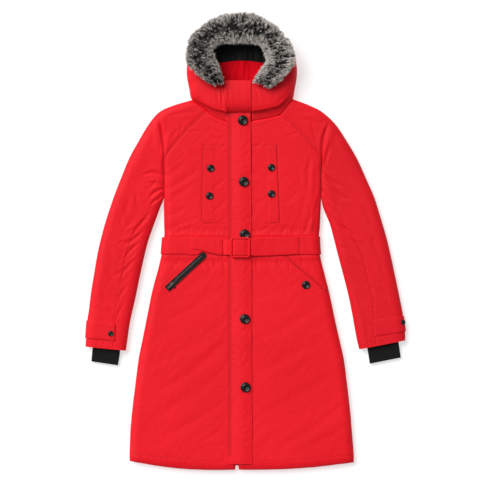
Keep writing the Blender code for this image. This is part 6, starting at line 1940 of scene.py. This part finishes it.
# ---- buttons ------------------------------------------------------------------
def build_buttons():
    """Turned four-hole buttons with a raised rim and thread through their holes."""
    profile = ((0.0, 2.75), (3.4, 2.85), (4.3, 3.15), (5.2, 3.75), (6.2, 4.0), (7.2, 3.8), (8.0, 3.3), (8.7, 3.1), (9.4, 3.35), (10.4, 4.1), (11.4, 4.5), (12.4, 4.3), (13.3, 3.6), (13.9, 2.6), (14.0, 1.9), (13.6, 0.9), (12.6, 0.15), (0.0, 0.0))
    mesh = bpy.data.meshes.new("button_blank")
    mesh.from_pydata([(r * MM, 0, h * MM) for r, h in profile], [(k, k + 1) for k in range(len(profile) - 1)], [])
    blank = bpy.data.objects.new("button_blank", mesh)
    bpy.context.scene.collection.objects.link(blank)
    screw = blank.modifiers.new("turned", "SCREW")
    screw.axis, screw.steps, screw.render_steps = "Z", 40, 40
    screw.use_merge_vertices, screw.merge_threshold = True, 0.00003
    holes = []
    for k in range(4):
        bpy.ops.mesh.primitive_cylinder_add(vertices=14, radius=1.15 * MM, depth=12 * MM)
        hole = bpy.context.object
        a = radians(45 + 90 * k)
        hole.location = (2.9 * cos(a) * MM, 2.9 * sin(a) * MM, 2.6 * MM)
        cut = blank.modifiers.new(f"hole_{k}", "BOOLEAN")
        cut.operation, cut.solver, cut.object = "DIFFERENCE", "EXACT", hole
        holes.append(hole)
    bpy.context.view_layer.update()
    graph = bpy.context.evaluated_depsgraph_get()
    body = bpy.data.meshes.new_from_object(blank.evaluated_get(graph))
    for o in holes + [blank]:
        bpy.data.objects.remove(o)
    bm = bmesh.new()
    bm.from_mesh(body)
    bmesh.ops.recalc_face_normals(bm, faces=bm.faces)
    if bm.calc_volume(signed=True) < 0:
        bmesh.ops.reverse_faces(bm, faces=bm.faces)
    for f in bm.faces:
        f.material_index = 0
    # thread: two pairs of strands over the middle
    for sign in (-1, 1):
        for strand in (-0.42, 0.42):
            last = None
            for k in range(9):
                u = -1 + 2 * k / 8
                p = Vector((u * 2.35, sign * 2.05 + strand + 0.15 * sin(u * 3), 2.4 + 1.5 * (1 - u * u) ** 0.5)) * MM
                ring = [bm.verts.new(p + Vector((0, cos(q) * 0.42, sin(q) * 0.42)) * MM) for q in (0, pi / 3, 2 * pi / 3, pi, 4 * pi / 3, 5 * pi / 3)]
                if last:
                    for m in range(6):
                        f = bm.faces.new((last[m], last[(m + 1) % 6], ring[(m + 1) % 6], ring[m]))
                        f.material_index = 1
                        f.smooth = True
                else:
                    bm.faces.new(ring[::-1]).material_index = 1
                last = ring
            bm.faces.new(last).material_index = 1
    bm.normal_update()
    bm.to_mesh(body)
    bm.free()
    body.materials.clear()
    body.materials.append(GLOSS)
    body.materials.append(THREAD_HOLE)
    body.shade_smooth()
    body.set_sharp_from_angle(angle=radians(32))

    def place(name, x, y, z, radius, turn, normal=(0, 0, 1)):
        mesh = body.copy()
        k = radius / BIG_R
        tilt = Vector((0, 0, 1)).rotation_difference(Vector(normal)).to_matrix().to_4x4()
        spin = Matrix.Rotation(radians(turn), 4, "Z")
        mesh.transform(Matrix.Translation((x * MM, y * MM, z * MM)) @ tilt @ spin @ Matrix.Scale(k, 4))
        ob = bpy.data.objects.new(name + "_turned", mesh)
        bpy.context.scene.collection.objects.link(ob)
        stand_for(ob, name)

    for name, x, y, radius, z, turn in BUTTONS:
        place(name, x, y, z, radius, turn)
    for side, word, share, s in ((-1, "left", 0.58, 69.0), (1, "right", 0.42, 3.5)):
        row = stations(side, np.array([TAB_ROWS[0] + share]))
        spots = []
        for near in (s, s + 0.5):
            p = sleeve_skin(row, np.array([[near]]), True, side, TAB_GAP + TAB_T, calm=0.0)[0, 0]
            spots.append(Vector(p))
        run = spots[1] - spots[0]
        level = Vector((run.x, run.y, 0)).normalized()
        normal = (Vector((0, 0, 1)) * run.dot(level) - level * run.z).normalized()
        spot = spots[0] + normal * GAP
        place("button_cuff_" + word, spot.x, spot.y, spot.z, CUFF_R, 20.0, normal)


# ---- zip ----------------------------------------------------------------------
def zip_place(points, z):
    """Points with X along the zip and Y to its upper-left side, put on the coat."""
    p = np.asarray(points, float).reshape(-1, 3)
    x = ZIP_START[0] + ZIP_DIR[0] * p[:, 0] - ZIP_DIR[1] * p[:, 1]
    y = ZIP_START[1] + ZIP_DIR[1] * p[:, 0] + ZIP_DIR[0] * p[:, 1]
    return np.stack([x, y, z + p[:, 2]], -1)


def build_zip():
    low = BODY_Z + GAP
    half = ZIP_WIDTH / 2
    # binding: a padded frame between an outer and an inner outline
    outer, inner = [], []
    n = 34
    for k in range(n + 1):
        outer.append((half * 0 + (ZIP_LENGTH - half) * k / n, -half))
        inner.append((9.0 + (ZIP_LENGTH - 18.0) * k / n, -4.8))
    for k in range(1, 16):
        a = pi * k / 16
        outer.append((ZIP_LENGTH - half + half * sin(a), -half * cos(a)))
        inner.append((ZIP_LENGTH - 9.0, -4.8 * cos(a)))
    for k in range(n + 1):
        outer.append(((ZIP_LENGTH - half) * (1 - k / n), half))
        inner.append((9.0 + (ZIP_LENGTH - 18.0) * (1 - k / n), 4.8))
    for k in range(1, 12):
        u = 1 - 2 * k / 12
        outer.append((0.0, half * u))
        inner.append((9.0, 4.8 * u))
    outer, inner = np.array(outer), np.array(inner)
    steps = ((0.0, 0.0), (0.0, 1.1), (0.06, 1.7), (0.16, 2.0), (0.30, 1.95), (0.44, 1.55), (0.56, 1.75), (0.76, 2.0), (0.92, 1.8), (1.0, 1.2), (1.0, 0.0))
    rings = []
    for s, h in steps:
        p = outer * (1 - s) + inner * s
        z = np.full(len(p), h) + (0.12 * noise(p[:, 0] / 5.0, p[:, 1] / 5.0, 441) if h > 1.5 else 0.0)
        rings.append(np.column_stack([p, z]))
    rings = np.array(rings)
    count, m = rings.shape[:2]
    i = np.arange(count)[:, None] * m + np.arange(m)[None]
    j = np.arange(count)[:, None] * m + (np.arange(m)[None] + 1) % m
    total = count * m
    quads = np.stack([i, j, (j + m) % total, (i + m) % total], -1).reshape(-1, 4)
    ob = make("zip_binding", zip_place(rings.reshape(-1, 3), low), [quads], BIND, 50)
    stand_for(ob, "zip_welt")
    # the small pointed tab beside the binding's lower end
    nib = np.array([(15.0, -half + 0.4), (17.4, -half - 3.2), (19.6, -half - 6.2), (20.4, -half - 6.2), (21.6, -half - 3.4), (23.0, -half + 0.4)])
    tall = np.column_stack([nib, np.full(6, 1.2)])
    flat = np.column_stack([nib, np.full(6, 0.1)])
    faces = [list(range(6)), list(range(11, 5, -1))] + [[k, k + 6, (k + 1) % 6 + 6, (k + 1) % 6] for k in range(6)]
    ob = make("zip_binding_tab", zip_place(np.vstack([tall, flat]), low), faces, BIND, 50)
    stand_for(ob, None)
    # tape with a woven ridge on each side
    a = np.linspace(8.4, ZIP_LENGTH - 8.4, 90)
    b = np.linspace(-4.2, 4.2, 15)
    z = 0.8 + 0.12 * np.cos(b * 3.6)[None] + 0.06 * np.sin(a * 2.4)[:, None]
    top = np.stack([a[:, None] + 0 * b[None], b[None] + 0 * a[:, None], z], -1)
    under = top.copy()
    under[..., 2] = 0.0
    ob = slab("zip_tape_woven", zip_place(top, low).reshape(top.shape), BIND, under=zip_place(under, low).reshape(top.shape))
    stand_for(ob, "zip_tape")
    # teeth: two rows that mesh
    verts, faces = [], []
    pitch = 1.75
    for k, at in enumerate(np.arange(12.0, ZIP_LENGTH - 13.0, pitch)):
        if PIN_ALONG - 6.5 < at < PIN_ALONG + 8.5:
            continue
        side = 1 if k % 2 else -1
        shape = ((-0.62, 2.1), (0.62, 2.1), (0.62, 0.5), (0.5, -0.75), (-0.5, -0.75), (-0.62, 0.5))
        start = len(verts)
        for h in (0.75, 1.75, 2.0):
            k2 = 1.0 if h < 1.9 else 0.7
            for dx, dy in shape:
                verts.append((at + dx * k2, side * ((dy - 0.5) * k2 + 0.5) + 1.5 * smooth(26.0, 40.0, at), h))
        for layer in (0, 6):
            for m in range(6):
                faces.append([start + layer + m, start + layer + (m + 1) % 6, start + layer + 6 + (m + 1) % 6, start + layer + 6 + m])
        faces.append([start + m for m in range(5, -1, -1)])
        faces.append([start + 12 + m for m in range(6)])
    ob = make("zip_teeth", zip_place(verts, low), faces, TEETH, 40)
    stand_for(ob, None)
    # slider and its pull tab: the CAD's shapes, the slider's edges rounded
    build_slider(low + 0.8 + GAP)


def soften(ob, width, segments=2):
    bevel = ob.modifiers.new("soft_edges", "BEVEL")
    bevel.width, bevel.segments, bevel.limit_method, bevel.angle_limit = width * MM, segments, "ANGLE", radians(35)
    graph = bpy.context.evaluated_depsgraph_get()
    mesh = bpy.data.meshes.new_from_object(ob.evaluated_get(graph))
    ob.modifiers.clear()
    ob.data = mesh
    mesh.shade_smooth()
    mesh.set_sharp_from_angle(angle=radians(40))


def prism(outline, low, high):
    """Points and faces of an outline's prism."""
    n = len(outline)
    verts = [(x, y, low) for x, y in outline] + [(x, y, high) for x, y in outline]
    faces = [list(range(n))[::-1], list(range(n, 2 * n))]
    faces += [[k, (k + 1) % n, (k + 1) % n + n, k + n] for k in range(n)]
    return verts, faces


def build_slider(base):
    # body: waisted plate, bridge with two ears, all in one mesh of closed parts
    parts = []
    body = [(-5.0, -2.6), (-3.6, -3.9), (1.0, -4.1), (4.6, -3.3), (7.0, -2.2), (7.0, 2.2), (4.6, 3.3), (1.0, 4.1), (-3.6, 3.9), (-5.0, 2.6)]
    parts.append(prism(body, 0.1, 2.1))
    for sign in (-1, 1):
        y0, y1 = sorted((sign * 2.05, sign * 3.15))
        parts.append(prism([(-1.65, y0), (1.65, y0), (1.65, y1), (-1.65, y1)], 1.5, PIN_UP + 1.3))
    verts, faces = [], []
    for v, f in parts:
        start = len(verts)
        verts += v
        faces += [[k + start for k in row] for row in f]
    turn = 2 * pi * np.arange(14) / 14
    start = len(verts)
    for y in (-2.6, 2.6):
        verts += [(0.78 * cos(q), y, PIN_UP + 0.78 * sin(q)) for q in turn]
    faces += [[start + k, start + (k + 1) % 14, start + 14 + (k + 1) % 14, start + 14 + k] for k in range(14)]
    faces += [[start + k for k in range(14)][::-1], [start + 14 + k for k in range(14)]]
    p = np.array(verts)
    p[:, 0] += PIN_ALONG
    ob = make("zip_slider_body", zip_place(p, base), faces, METAL, 40)
    soften(ob, 0.35)
    stand_for(ob, "zip_slider")
    # pull tab: an eye round the pin, a neck and a grooved plate
    ring_in, ring_out, w = 1.15, 2.05, 1.55
    verts, faces = [], []
    n = 24
    q = 2 * pi * np.arange(n) / n
    for r in (ring_out, ring_in):
        for y in (-w, w):
            verts += [(r * cos(a), y, r * sin(a)) for a in q]
    def at(r, y, k):
        return (r * 2 + y) * n + k % n
    for k in range(n):
        faces.append([at(0, 0, k), at(0, 0, k + 1), at(0, 1, k + 1), at(0, 1, k)])
        faces.append([at(1, 0, k + 1), at(1, 0, k), at(1, 1, k), at(1, 1, k + 1)])
        faces.append([at(0, 0, k + 1), at(0, 0, k), at(1, 0, k), at(1, 0, k + 1)])
        faces.append([at(0, 1, k), at(0, 1, k + 1), at(1, 1, k + 1), at(1, 1, k)])
    outline = [(-1.6, -1.5), (-2.6, -1.6), (-3.6, -2.8), (-4.4, -3.1), (-12.6, -3.1), (-14.6, -2.5), (-15.4, -1.3), (-15.4, 1.3), (-14.6, 2.5), (-12.6, 3.1), (-4.4, 3.1), (-3.6, 2.8), (-2.6, 1.6), (-1.6, 1.5)]
    v, f = prism(outline[::-1], -0.6, 0.6)
    start = len(verts)
    verts += v
    faces += [[k + start for k in row] for row in f]
    # raised border on the plate
    for x0, x1, y0, y1 in ((-13.6, -4.6, -2.7, -2.2), (-13.6, -4.6, 2.2, 2.7), (-13.9, -13.4, -2.7, 2.7)):
        v, f = prism([(x0, y0), (x1, y0), (x1, y1), (x0, y1)], 0.4, 0.85)
        start = len(verts)
        verts += v
        faces += [[k + start for k in row] for row in f]
    p = np.array(verts)
    p[:, 0] += PIN_ALONG
    p[:, 2] += PIN_UP
    ob = make("zip_pull_tab", zip_place(p, base), faces, METAL, 40)
    stand_for(ob, "zip_pull", body="pull_tab")


# ---- stitches -----------------------------------------------------------------
def stitch_rows(target, line, pitch=3.7, size=(2.7, 0.62, 0.34)):
    """Stitches laid along a line on a piece: centre, direction, normal, size."""
    tree = trees.get(target)
    if tree is None:
        ob = made[target]
        tree = trees[target] = BVHTree.FromObject(ob, bpy.context.evaluated_depsgraph_get())
    xy, d = along(line, pitch, pitch / 2)
    rows = []
    for (x, y), (dx, dy) in zip(xy, d):
        hit = tree.ray_cast(Vector((x * MM, y * MM, 0.2)), Vector((0, 0, -1)))
        if hit[0] is None:
            continue
        n = hit[1] if hit[1].z > 0 else -hit[1]
        if n.z < 0.35:
            continue
        t = Vector((dx, dy, 0.0))
        t = (t - n * t.dot(n)).normalized()
        rows.append((*(hit[0] / MM), *t, *n, *size))
    return rows


trees = {}


def build_stitches(name, rows, material):
    r = np.array(rows)
    c, t, n, (length, wide, tall) = r[:, :3], r[:, 3:6], r[:, 6:9], r[:, 9:12].T
    b = np.cross(n, t)
    shape = [(-0.5, 0, -0.25)]
    for u in (-0.3, 0.3):
        shape += [(u, -0.5, -0.2), (u, 0.0, 0.8), (u, 0.5, -0.2)]
    shape += [(0.5, 0, -0.25)]
    verts = np.stack([c + t * (u * length)[:, None] + b * (v * wide)[:, None] + n * (w * tall)[:, None] for u, v, w in shape], 1)
    tris = [(0, 1, 2), (0, 2, 3), (0, 3, 1), (7, 5, 4), (7, 6, 5), (7, 4, 6)]
    quads = [(1, 4, 5, 2), (2, 5, 6, 3), (3, 6, 4, 1)]
    at = np.arange(len(r))[:, None, None] * 8
    faces = [(at + np.array(quads)[None]).reshape(-1, 4), (at + np.array(tris)[None]).reshape(-1, 3)]
    ob = make(name, verts.reshape(-1, 3), faces, material, 80)
    stand_for(ob, None)
    return ob


def surface(targets, x, y):
    """The highest point of some pieces under a plan point, mm, or None."""
    best = None
    for target in targets:
        if target not in trees:
            trees[target] = BVHTree.FromObject(made[target], bpy.context.evaluated_depsgraph_get())
        hit = trees[target].ray_cast(Vector((x * MM, y * MM, 0.2)), Vector((0, 0, -1)))
        if hit[0] is not None and (best is None or hit[0].z / MM > best):
            best = hit[0].z / MM
    return best


def build_seam_shade(name, lines, material):
    """Painted shade of seams and slits: fine dark strips that lie in them where their depth is in shade. Rows: pieces,
    line, width, sunk.
    """
    verts, quads, others = [], [], []
    for targets, line, wide, sunk in lines:
        xy, d = along(line, 2.4, 0.0)
        runs, run = [], []
        for (x, y), (dx, dy) in zip(xy, d):
            z = surface(targets, x, y)
            if z is None or (run and abs(z - run[-1][2]) > 3.0):
                runs.append(run)
                run = []
            if z is not None:
                run.append((x, y, z, dx, dy))
        runs.append(run)
        for run in runs:
            if len(run) < 3:
                continue
            r = np.array(run)
            z = r[:, 2].copy()
            z[1:-1] = np.maximum(z[1:-1], (z[:-2] + 2 * z[1:-1] + z[2:]) / 4)
            nx, ny = -r[:, 4], r[:, 3]
            taper = np.clip(np.minimum(np.arange(len(r)), np.arange(len(r))[::-1]) / 2.0, 0.25, 1.0)
            start = len(verts)
            for k in range(len(r)):
                w = wide / 2 * taper[k]
                for side, up in ((-1, 0.02), (0, 0.14), (1, 0.02), (0, -0.5)):
                    verts.append((r[k, 0] + nx[k] * w * side, r[k, 1] + ny[k] * w * side, z[k] + up - sunk))
            for k in range(len(r) - 1):
                for m in range(4):
                    a = start + 4 * k
                    quads.append((a + m, a + (m + 1) % 4, a + 4 + (m + 1) % 4, a + 4 + m))
            others.append([start + m for m in (3, 2, 1, 0)])
            last = start + 4 * (len(r) - 1)
            others.append([last + m for m in (0, 1, 2, 3)])
    ob = make(name, verts, [np.array(quads)] + others, material, 60)
    stand_for(ob, None)
    return ob


def all_seam_shade():
    left, right, flap = "front_left_cloth", "front_right_cloth", "storm_flap_cloth"
    lines = []
    for side, word, front, sign in ((-1, "left", left, -1.0), (1, "right", right, 1.0)):
        sleeve = (f"sleeve_upper_{word}_cloth", f"sleeve_under_{word}_cloth")
        rows = stations(side, np.linspace(0.12, 5.2, 60))
        lines.append(((front, *sleeve), [(r[2] - side * 0.3, r[3]) for r in rows], 0.75, 0.0))
        rows = stations(side, np.linspace(5.0 if side < 0 else 4.7, 6.95, 24))
        lines.append(((front, *sleeve), [(r[2], r[3]) for r in rows], 1.9 if side < 0 else 2.8, 0.0))
        lines.append((sleeve, sleeve_lines(side)["raglan"], 0.7, 0.0))
        lines.append((sleeve, sleeve_lines(side)["seam"], 0.55 if side < 0 else 0.45, 0.0))
        lines.append((sleeve, offset(sleeve_lines(side)["seam"], -4.0 * side), 0.3, 0.0))
        table = HOOD_LEFT if side < 0 else HOOD_RIGHT
        t = np.linspace(0.0, 5.0, 60)
        edge = [(r[0], r[1] - 0.4) for r in spline(table, t)]
        lines.append(((front, *sleeve, f"hood_{word}_cloth"), edge, 0.6 if side < 0 else 0.4, 0.0))
        lines.append(((f"hood_{word}_cloth",), offset(edge, 6.0 * sign), 0.35, 0.0))
    lines.append(((left,), [(-118.6, 272.5), (-122.8, 50.0)], 1.35, 0.0))
    lines.append(((right,), [(87.0, 272.0), (95.6, 50.5)], 1.25, 0.0))
    lines.append(((right, "pocket_edge_cloth"), offset([SLANT[0], (228.0, -142.9)], 0.7), 1.9, 0.0))
    lines.append(((flap,), FLAP_LEFT_LINES[0], 1.7, 0.0))
    lines.append(((flap,), FLAP_LEFT_LINES[1], 1.2, 0.0))
    lines.append(((flap,), FLAP_RIGHT_LINE, 0.35, 0.0))
    for line in (CHEST_LINE_LEFT, CHEST_FOOT_LEFT, HEM_STITCH_LEFT, NECK_STITCH_LEFT):
        lines.append(((left, "chest_welt_left_cloth"), line, 0.55, 0.0))
    for line in (CHEST_LINE_RIGHT, CHEST_FOOT_RIGHT, HEM_STITCH_RIGHT, NECK_STITCH_RIGHT):
        lines.append(((right, "chest_welt_right_cloth"), line, 0.55, 0.0))
    lines.append((("throat_flap_cloth", "hood_left_cloth"), points((223.4, 85.6), (223.9, 92.0), (224.8, 99.0), (225.8, 105.5), (226.6, 111.0)), 1.0, 0.0))
    for k, box in enumerate(TACKS):
        lines.append((("chest_welt_left_cloth" if k < 2 else "chest_welt_right_cloth",), box, 0.6, 0.0))
    # the strips are painted shade in the seams and slits
    build_seam_shade("red_seam_painted_shade_lines", lines, SEAM_SHADE)


def all_stitches():
    left, right, flap = "front_left_cloth", "front_right_cloth", "storm_flap_cloth"
    rows = []
    rows += stitch_rows(left, HEM_STITCH_LEFT)
    rows += stitch_rows(right, HEM_STITCH_RIGHT)
    for line, piece in (
        (CHEST_LINE_LEFT, left), (CHEST_FOOT_LEFT, left), (NECK_STITCH_LEFT, left), (ZIP_STITCH, left),
        (CHEST_LINE_RIGHT, right), (CHEST_FOOT_RIGHT, right), (NECK_STITCH_RIGHT, right), (SLANT_STITCH, right),
    ):
        rows += stitch_rows(piece, line)
    for line in (*FLAP_LEFT_LINES, FLAP_RIGHT_LINE, FLAP_FOOT_LINE):
        rows += stitch_rows(flap, line)
    for k, box in enumerate(TACKS):
        rows += stitch_rows("chest_welt_left_cloth" if k < 2 else "chest_welt_right_cloth", box, 2.9, (2.2, 0.6, 0.3))
    for side, word in ((-1, "left"), (1, "right")):
        lines = sleeve_lines(side)
        rows += stitch_rows(f"sleeve_upper_{word}_cloth", lines["raglan"])
        rows += stitch_rows(f"sleeve_upper_{word}_cloth", offset(lines["seam"], -4.0 * side))
        for piece in (f"sleeve_upper_{word}_cloth", f"sleeve_under_{word}_cloth"):
            rows += stitch_rows(piece, lines["hem"])
        t = TAB_ROWS
        tab = stations(side, np.array([t[0] + 0.13, t[1] - 0.13]))
        for r in tab:
            rows += stitch_rows(f"cuff_tab_{word}_cloth", [(r[0] + (r[2] - r[0]) * s, r[1] + (r[3] - r[1]) * s) for s in (0.06, r[4] - 0.02)])
        a, b = tab
        s = (a[4] + b[4]) / 2 - 0.015
        rows += stitch_rows(f"cuff_tab_{word}_cloth", [(q[0] + (q[2] - q[0]) * s, q[1] + (q[3] - q[1]) * s) for q in (a, b)])
    rows += stitch_rows("hood_left_cloth", HOOD_STITCH_LEFT)
    rows += stitch_rows("hood_right_cloth", HOOD_STITCH_RIGHT)
    for line in ([(-46.6, 363), (-46.0, 446)], [(10.0, 363), (10.0, 446)], [(-46, 444), (10, 444)]):
        rows += stitch_rows("throat_flap_cloth", line)
    # belt: a line near each edge
    for target, table, keep in (
        ("belt_fold_cloth", BELT_FOLD, (-148, -66)),
        ("belt_tail_cloth", BELT_TAIL, (33, 146)),
        ("belt_left_cloth", BELT_LEFT_FRONT + ((-212.0, SIDE_BELT_Y[-1][0], SIDE_BELT_Y[-1][1], 0.0),), (-214, -150)),
        ("belt_right_cloth", ((140.0, 12.0, -37.6, 0.0), (190.0, 12.6, -37.4, 0.0)), (150, 190)),
        ("belt_tail_cloth", BELT_TAIL, (-62, -46)),
        ("belt_tail_cloth", BELT_TAIL, (-30, 3)),
    ):
        table = sorted(table, key=lambda r: r[0])
        xs = np.arange(keep[0], keep[1], 4.0)
        for column, shift in ((1, -5.0), (2, 5.0)):
            ys = np.interp(xs, [r[0] for r in table], [r[column] for r in table]) + shift
            rows += stitch_rows(target, list(zip(xs, ys)))
    rows += stitch_rows("belt_tail_cloth", [(143.4, 6.0), (143.4, -32.0)])
    rows += stitch_rows("belt_fold_cloth", [(-69.4, -1.0), (-69.4, -34.0)])
    build_stitches("red_stitches", rows, THREAD_RED)
    black = []
    for b in (-6.9, 6.9):
        black += stitch_rows("zip_binding", [zip_point(2.5, b), zip_point(ZIP_LENGTH - 8, b)], 2.6, (1.9, 0.5, 0.35))
    black += stitch_rows("zip_binding", [zip_point(4.0, -6.0), zip_point(4.0, 6.0)], 2.6, (1.9, 0.5, 0.35))
    build_stitches("zip_stitches", black, THREAD_BLACK)


# ---- build --------------------------------------------------------------------
STEP = 3.1
cloth(build_back(8.0), "back_panel")
cloth(build_front("front_left_cloth", -1, STEP), "front_left")
cloth(build_front("front_right_cloth", 1, STEP), "front_right")
build_storm_flap()
for side, word in ((-1, "left"), (1, "right")):
    build_sleeve(side, word, STEP * 1.25)
build_hood_back()
build_hood_side("hood_left", HOOD_LEFT, FOLD_LEFT, 220)
build_hood_side("hood_right", HOOD_RIGHT, FOLD_RIGHT, 221)
build_throat_flap()
build_strip("hood_lining_cloth", "hood_lining", LINING, 2.0, LINING_BLACK, 2.6, 231)
build_strip("neck_inner_cloth", "neck_inner", NECK_INNER, 3.0, RED_INSIDE_SHADED, 4.2, 237)
build_fur()
build_belt_side("belt_left_cloth", "belt_left", -1, BELT_LEFT_FRONT, 241)
build_belt_side("belt_right_cloth", "belt_right", 1, BELT_RIGHT_FRONT, 243)
build_band("belt_tail_cloth", "belt_tail", BELT_TAIL, 245)
build_band("belt_fold_cloth", "belt_fold", BELT_FOLD, 247)
back_belt = tuple(
    (BACK_BELT[0] + (BACK_BELT[1] - BACK_BELT[0]) * t / 4,
     SIDE_BELT_Y[-1][0] + (SIDE_BELT_Y[1][0] - SIDE_BELT_Y[-1][0]) * t / 4,
     SIDE_BELT_Y[-1][1] + (SIDE_BELT_Y[1][1] - SIDE_BELT_Y[-1][1]) * t / 4, 0.0)
    for t in range(5)
)
build_band("belt_back_cloth", "belt_back", back_belt, 249)
build_buckle()
build_welt("chest_welt_left_cloth", "chest_welt_left", CHEST_LEFT, -1, 251)
build_welt("chest_welt_right_cloth", "chest_welt_right", CHEST_RIGHT, 1, 253)
build_slant()
build_buttons()
build_zip()
all_stitches()
all_seam_shade()

# ---- floor, light and camera ----------------------------------------------------
floor_shader = Shader("floor_white", 0.9, Specular_IOR_Level=0.0)
floor_shader.bsdf.inputs["Base Color"].default_value = (0.50, 0.50, 0.50, 1.0)
floor_shader.bsdf.inputs["Emission Color"].default_value = (1.0, 1.0, 1.0, 1.0)
floor_shader.bsdf.inputs["Emission Strength"].default_value = 0.58
bpy.ops.mesh.primitive_plane_add(size=40.0, location=(0, 0, -0.0004))
floor = bpy.context.object
floor.name = "floor"
floor.data.materials.append(floor_shader.mat)

world = bpy.data.worlds.new("studio")
bpy.context.scene.world = world
world.use_nodes = True
world.node_tree.nodes["Background"].inputs["Color"].default_value = (1.0, 1.0, 1.0, 1.0)
world.node_tree.nodes["Background"].inputs["Strength"].default_value = 0.32


def sun_light(name, place, spread, strength):
    """Even light from a direction, its edges as soft as its spread in degrees."""
    data = bpy.data.lights.new(name, "SUN")
    data.angle, data.energy = radians(spread), strength
    ob = bpy.data.objects.new(name, data)
    ob.location = place
    ob.rotation_euler = (-Vector(place)).to_track_quat("-Z", "Y").to_euler()
    bpy.context.scene.collection.objects.link(ob)


sun_light("key", (-3.3, 3.2, 4.6), 46.0, 3.5)

camera = bpy.data.cameras.new("camera")
camera.lens, camera.sensor_width = 200.0, 36.0
eye = bpy.data.objects.new("camera", camera)
bpy.context.scene.collection.objects.link(eye)
span = 480 * 2.8 * MM
eye.location = ((240 - 245.5) * 2.8 * MM, (241.05 - 240) * 2.8 * MM, span * camera.lens / camera.sensor_width + 0.014)
eye.rotation_euler = (0, 0, 0)
camera.clip_end = 100.0
bpy.context.scene.camera = eye
bpy.context.scene.view_settings.view_transform = "Standard"
bpy.context.scene.view_settings.look = "None"
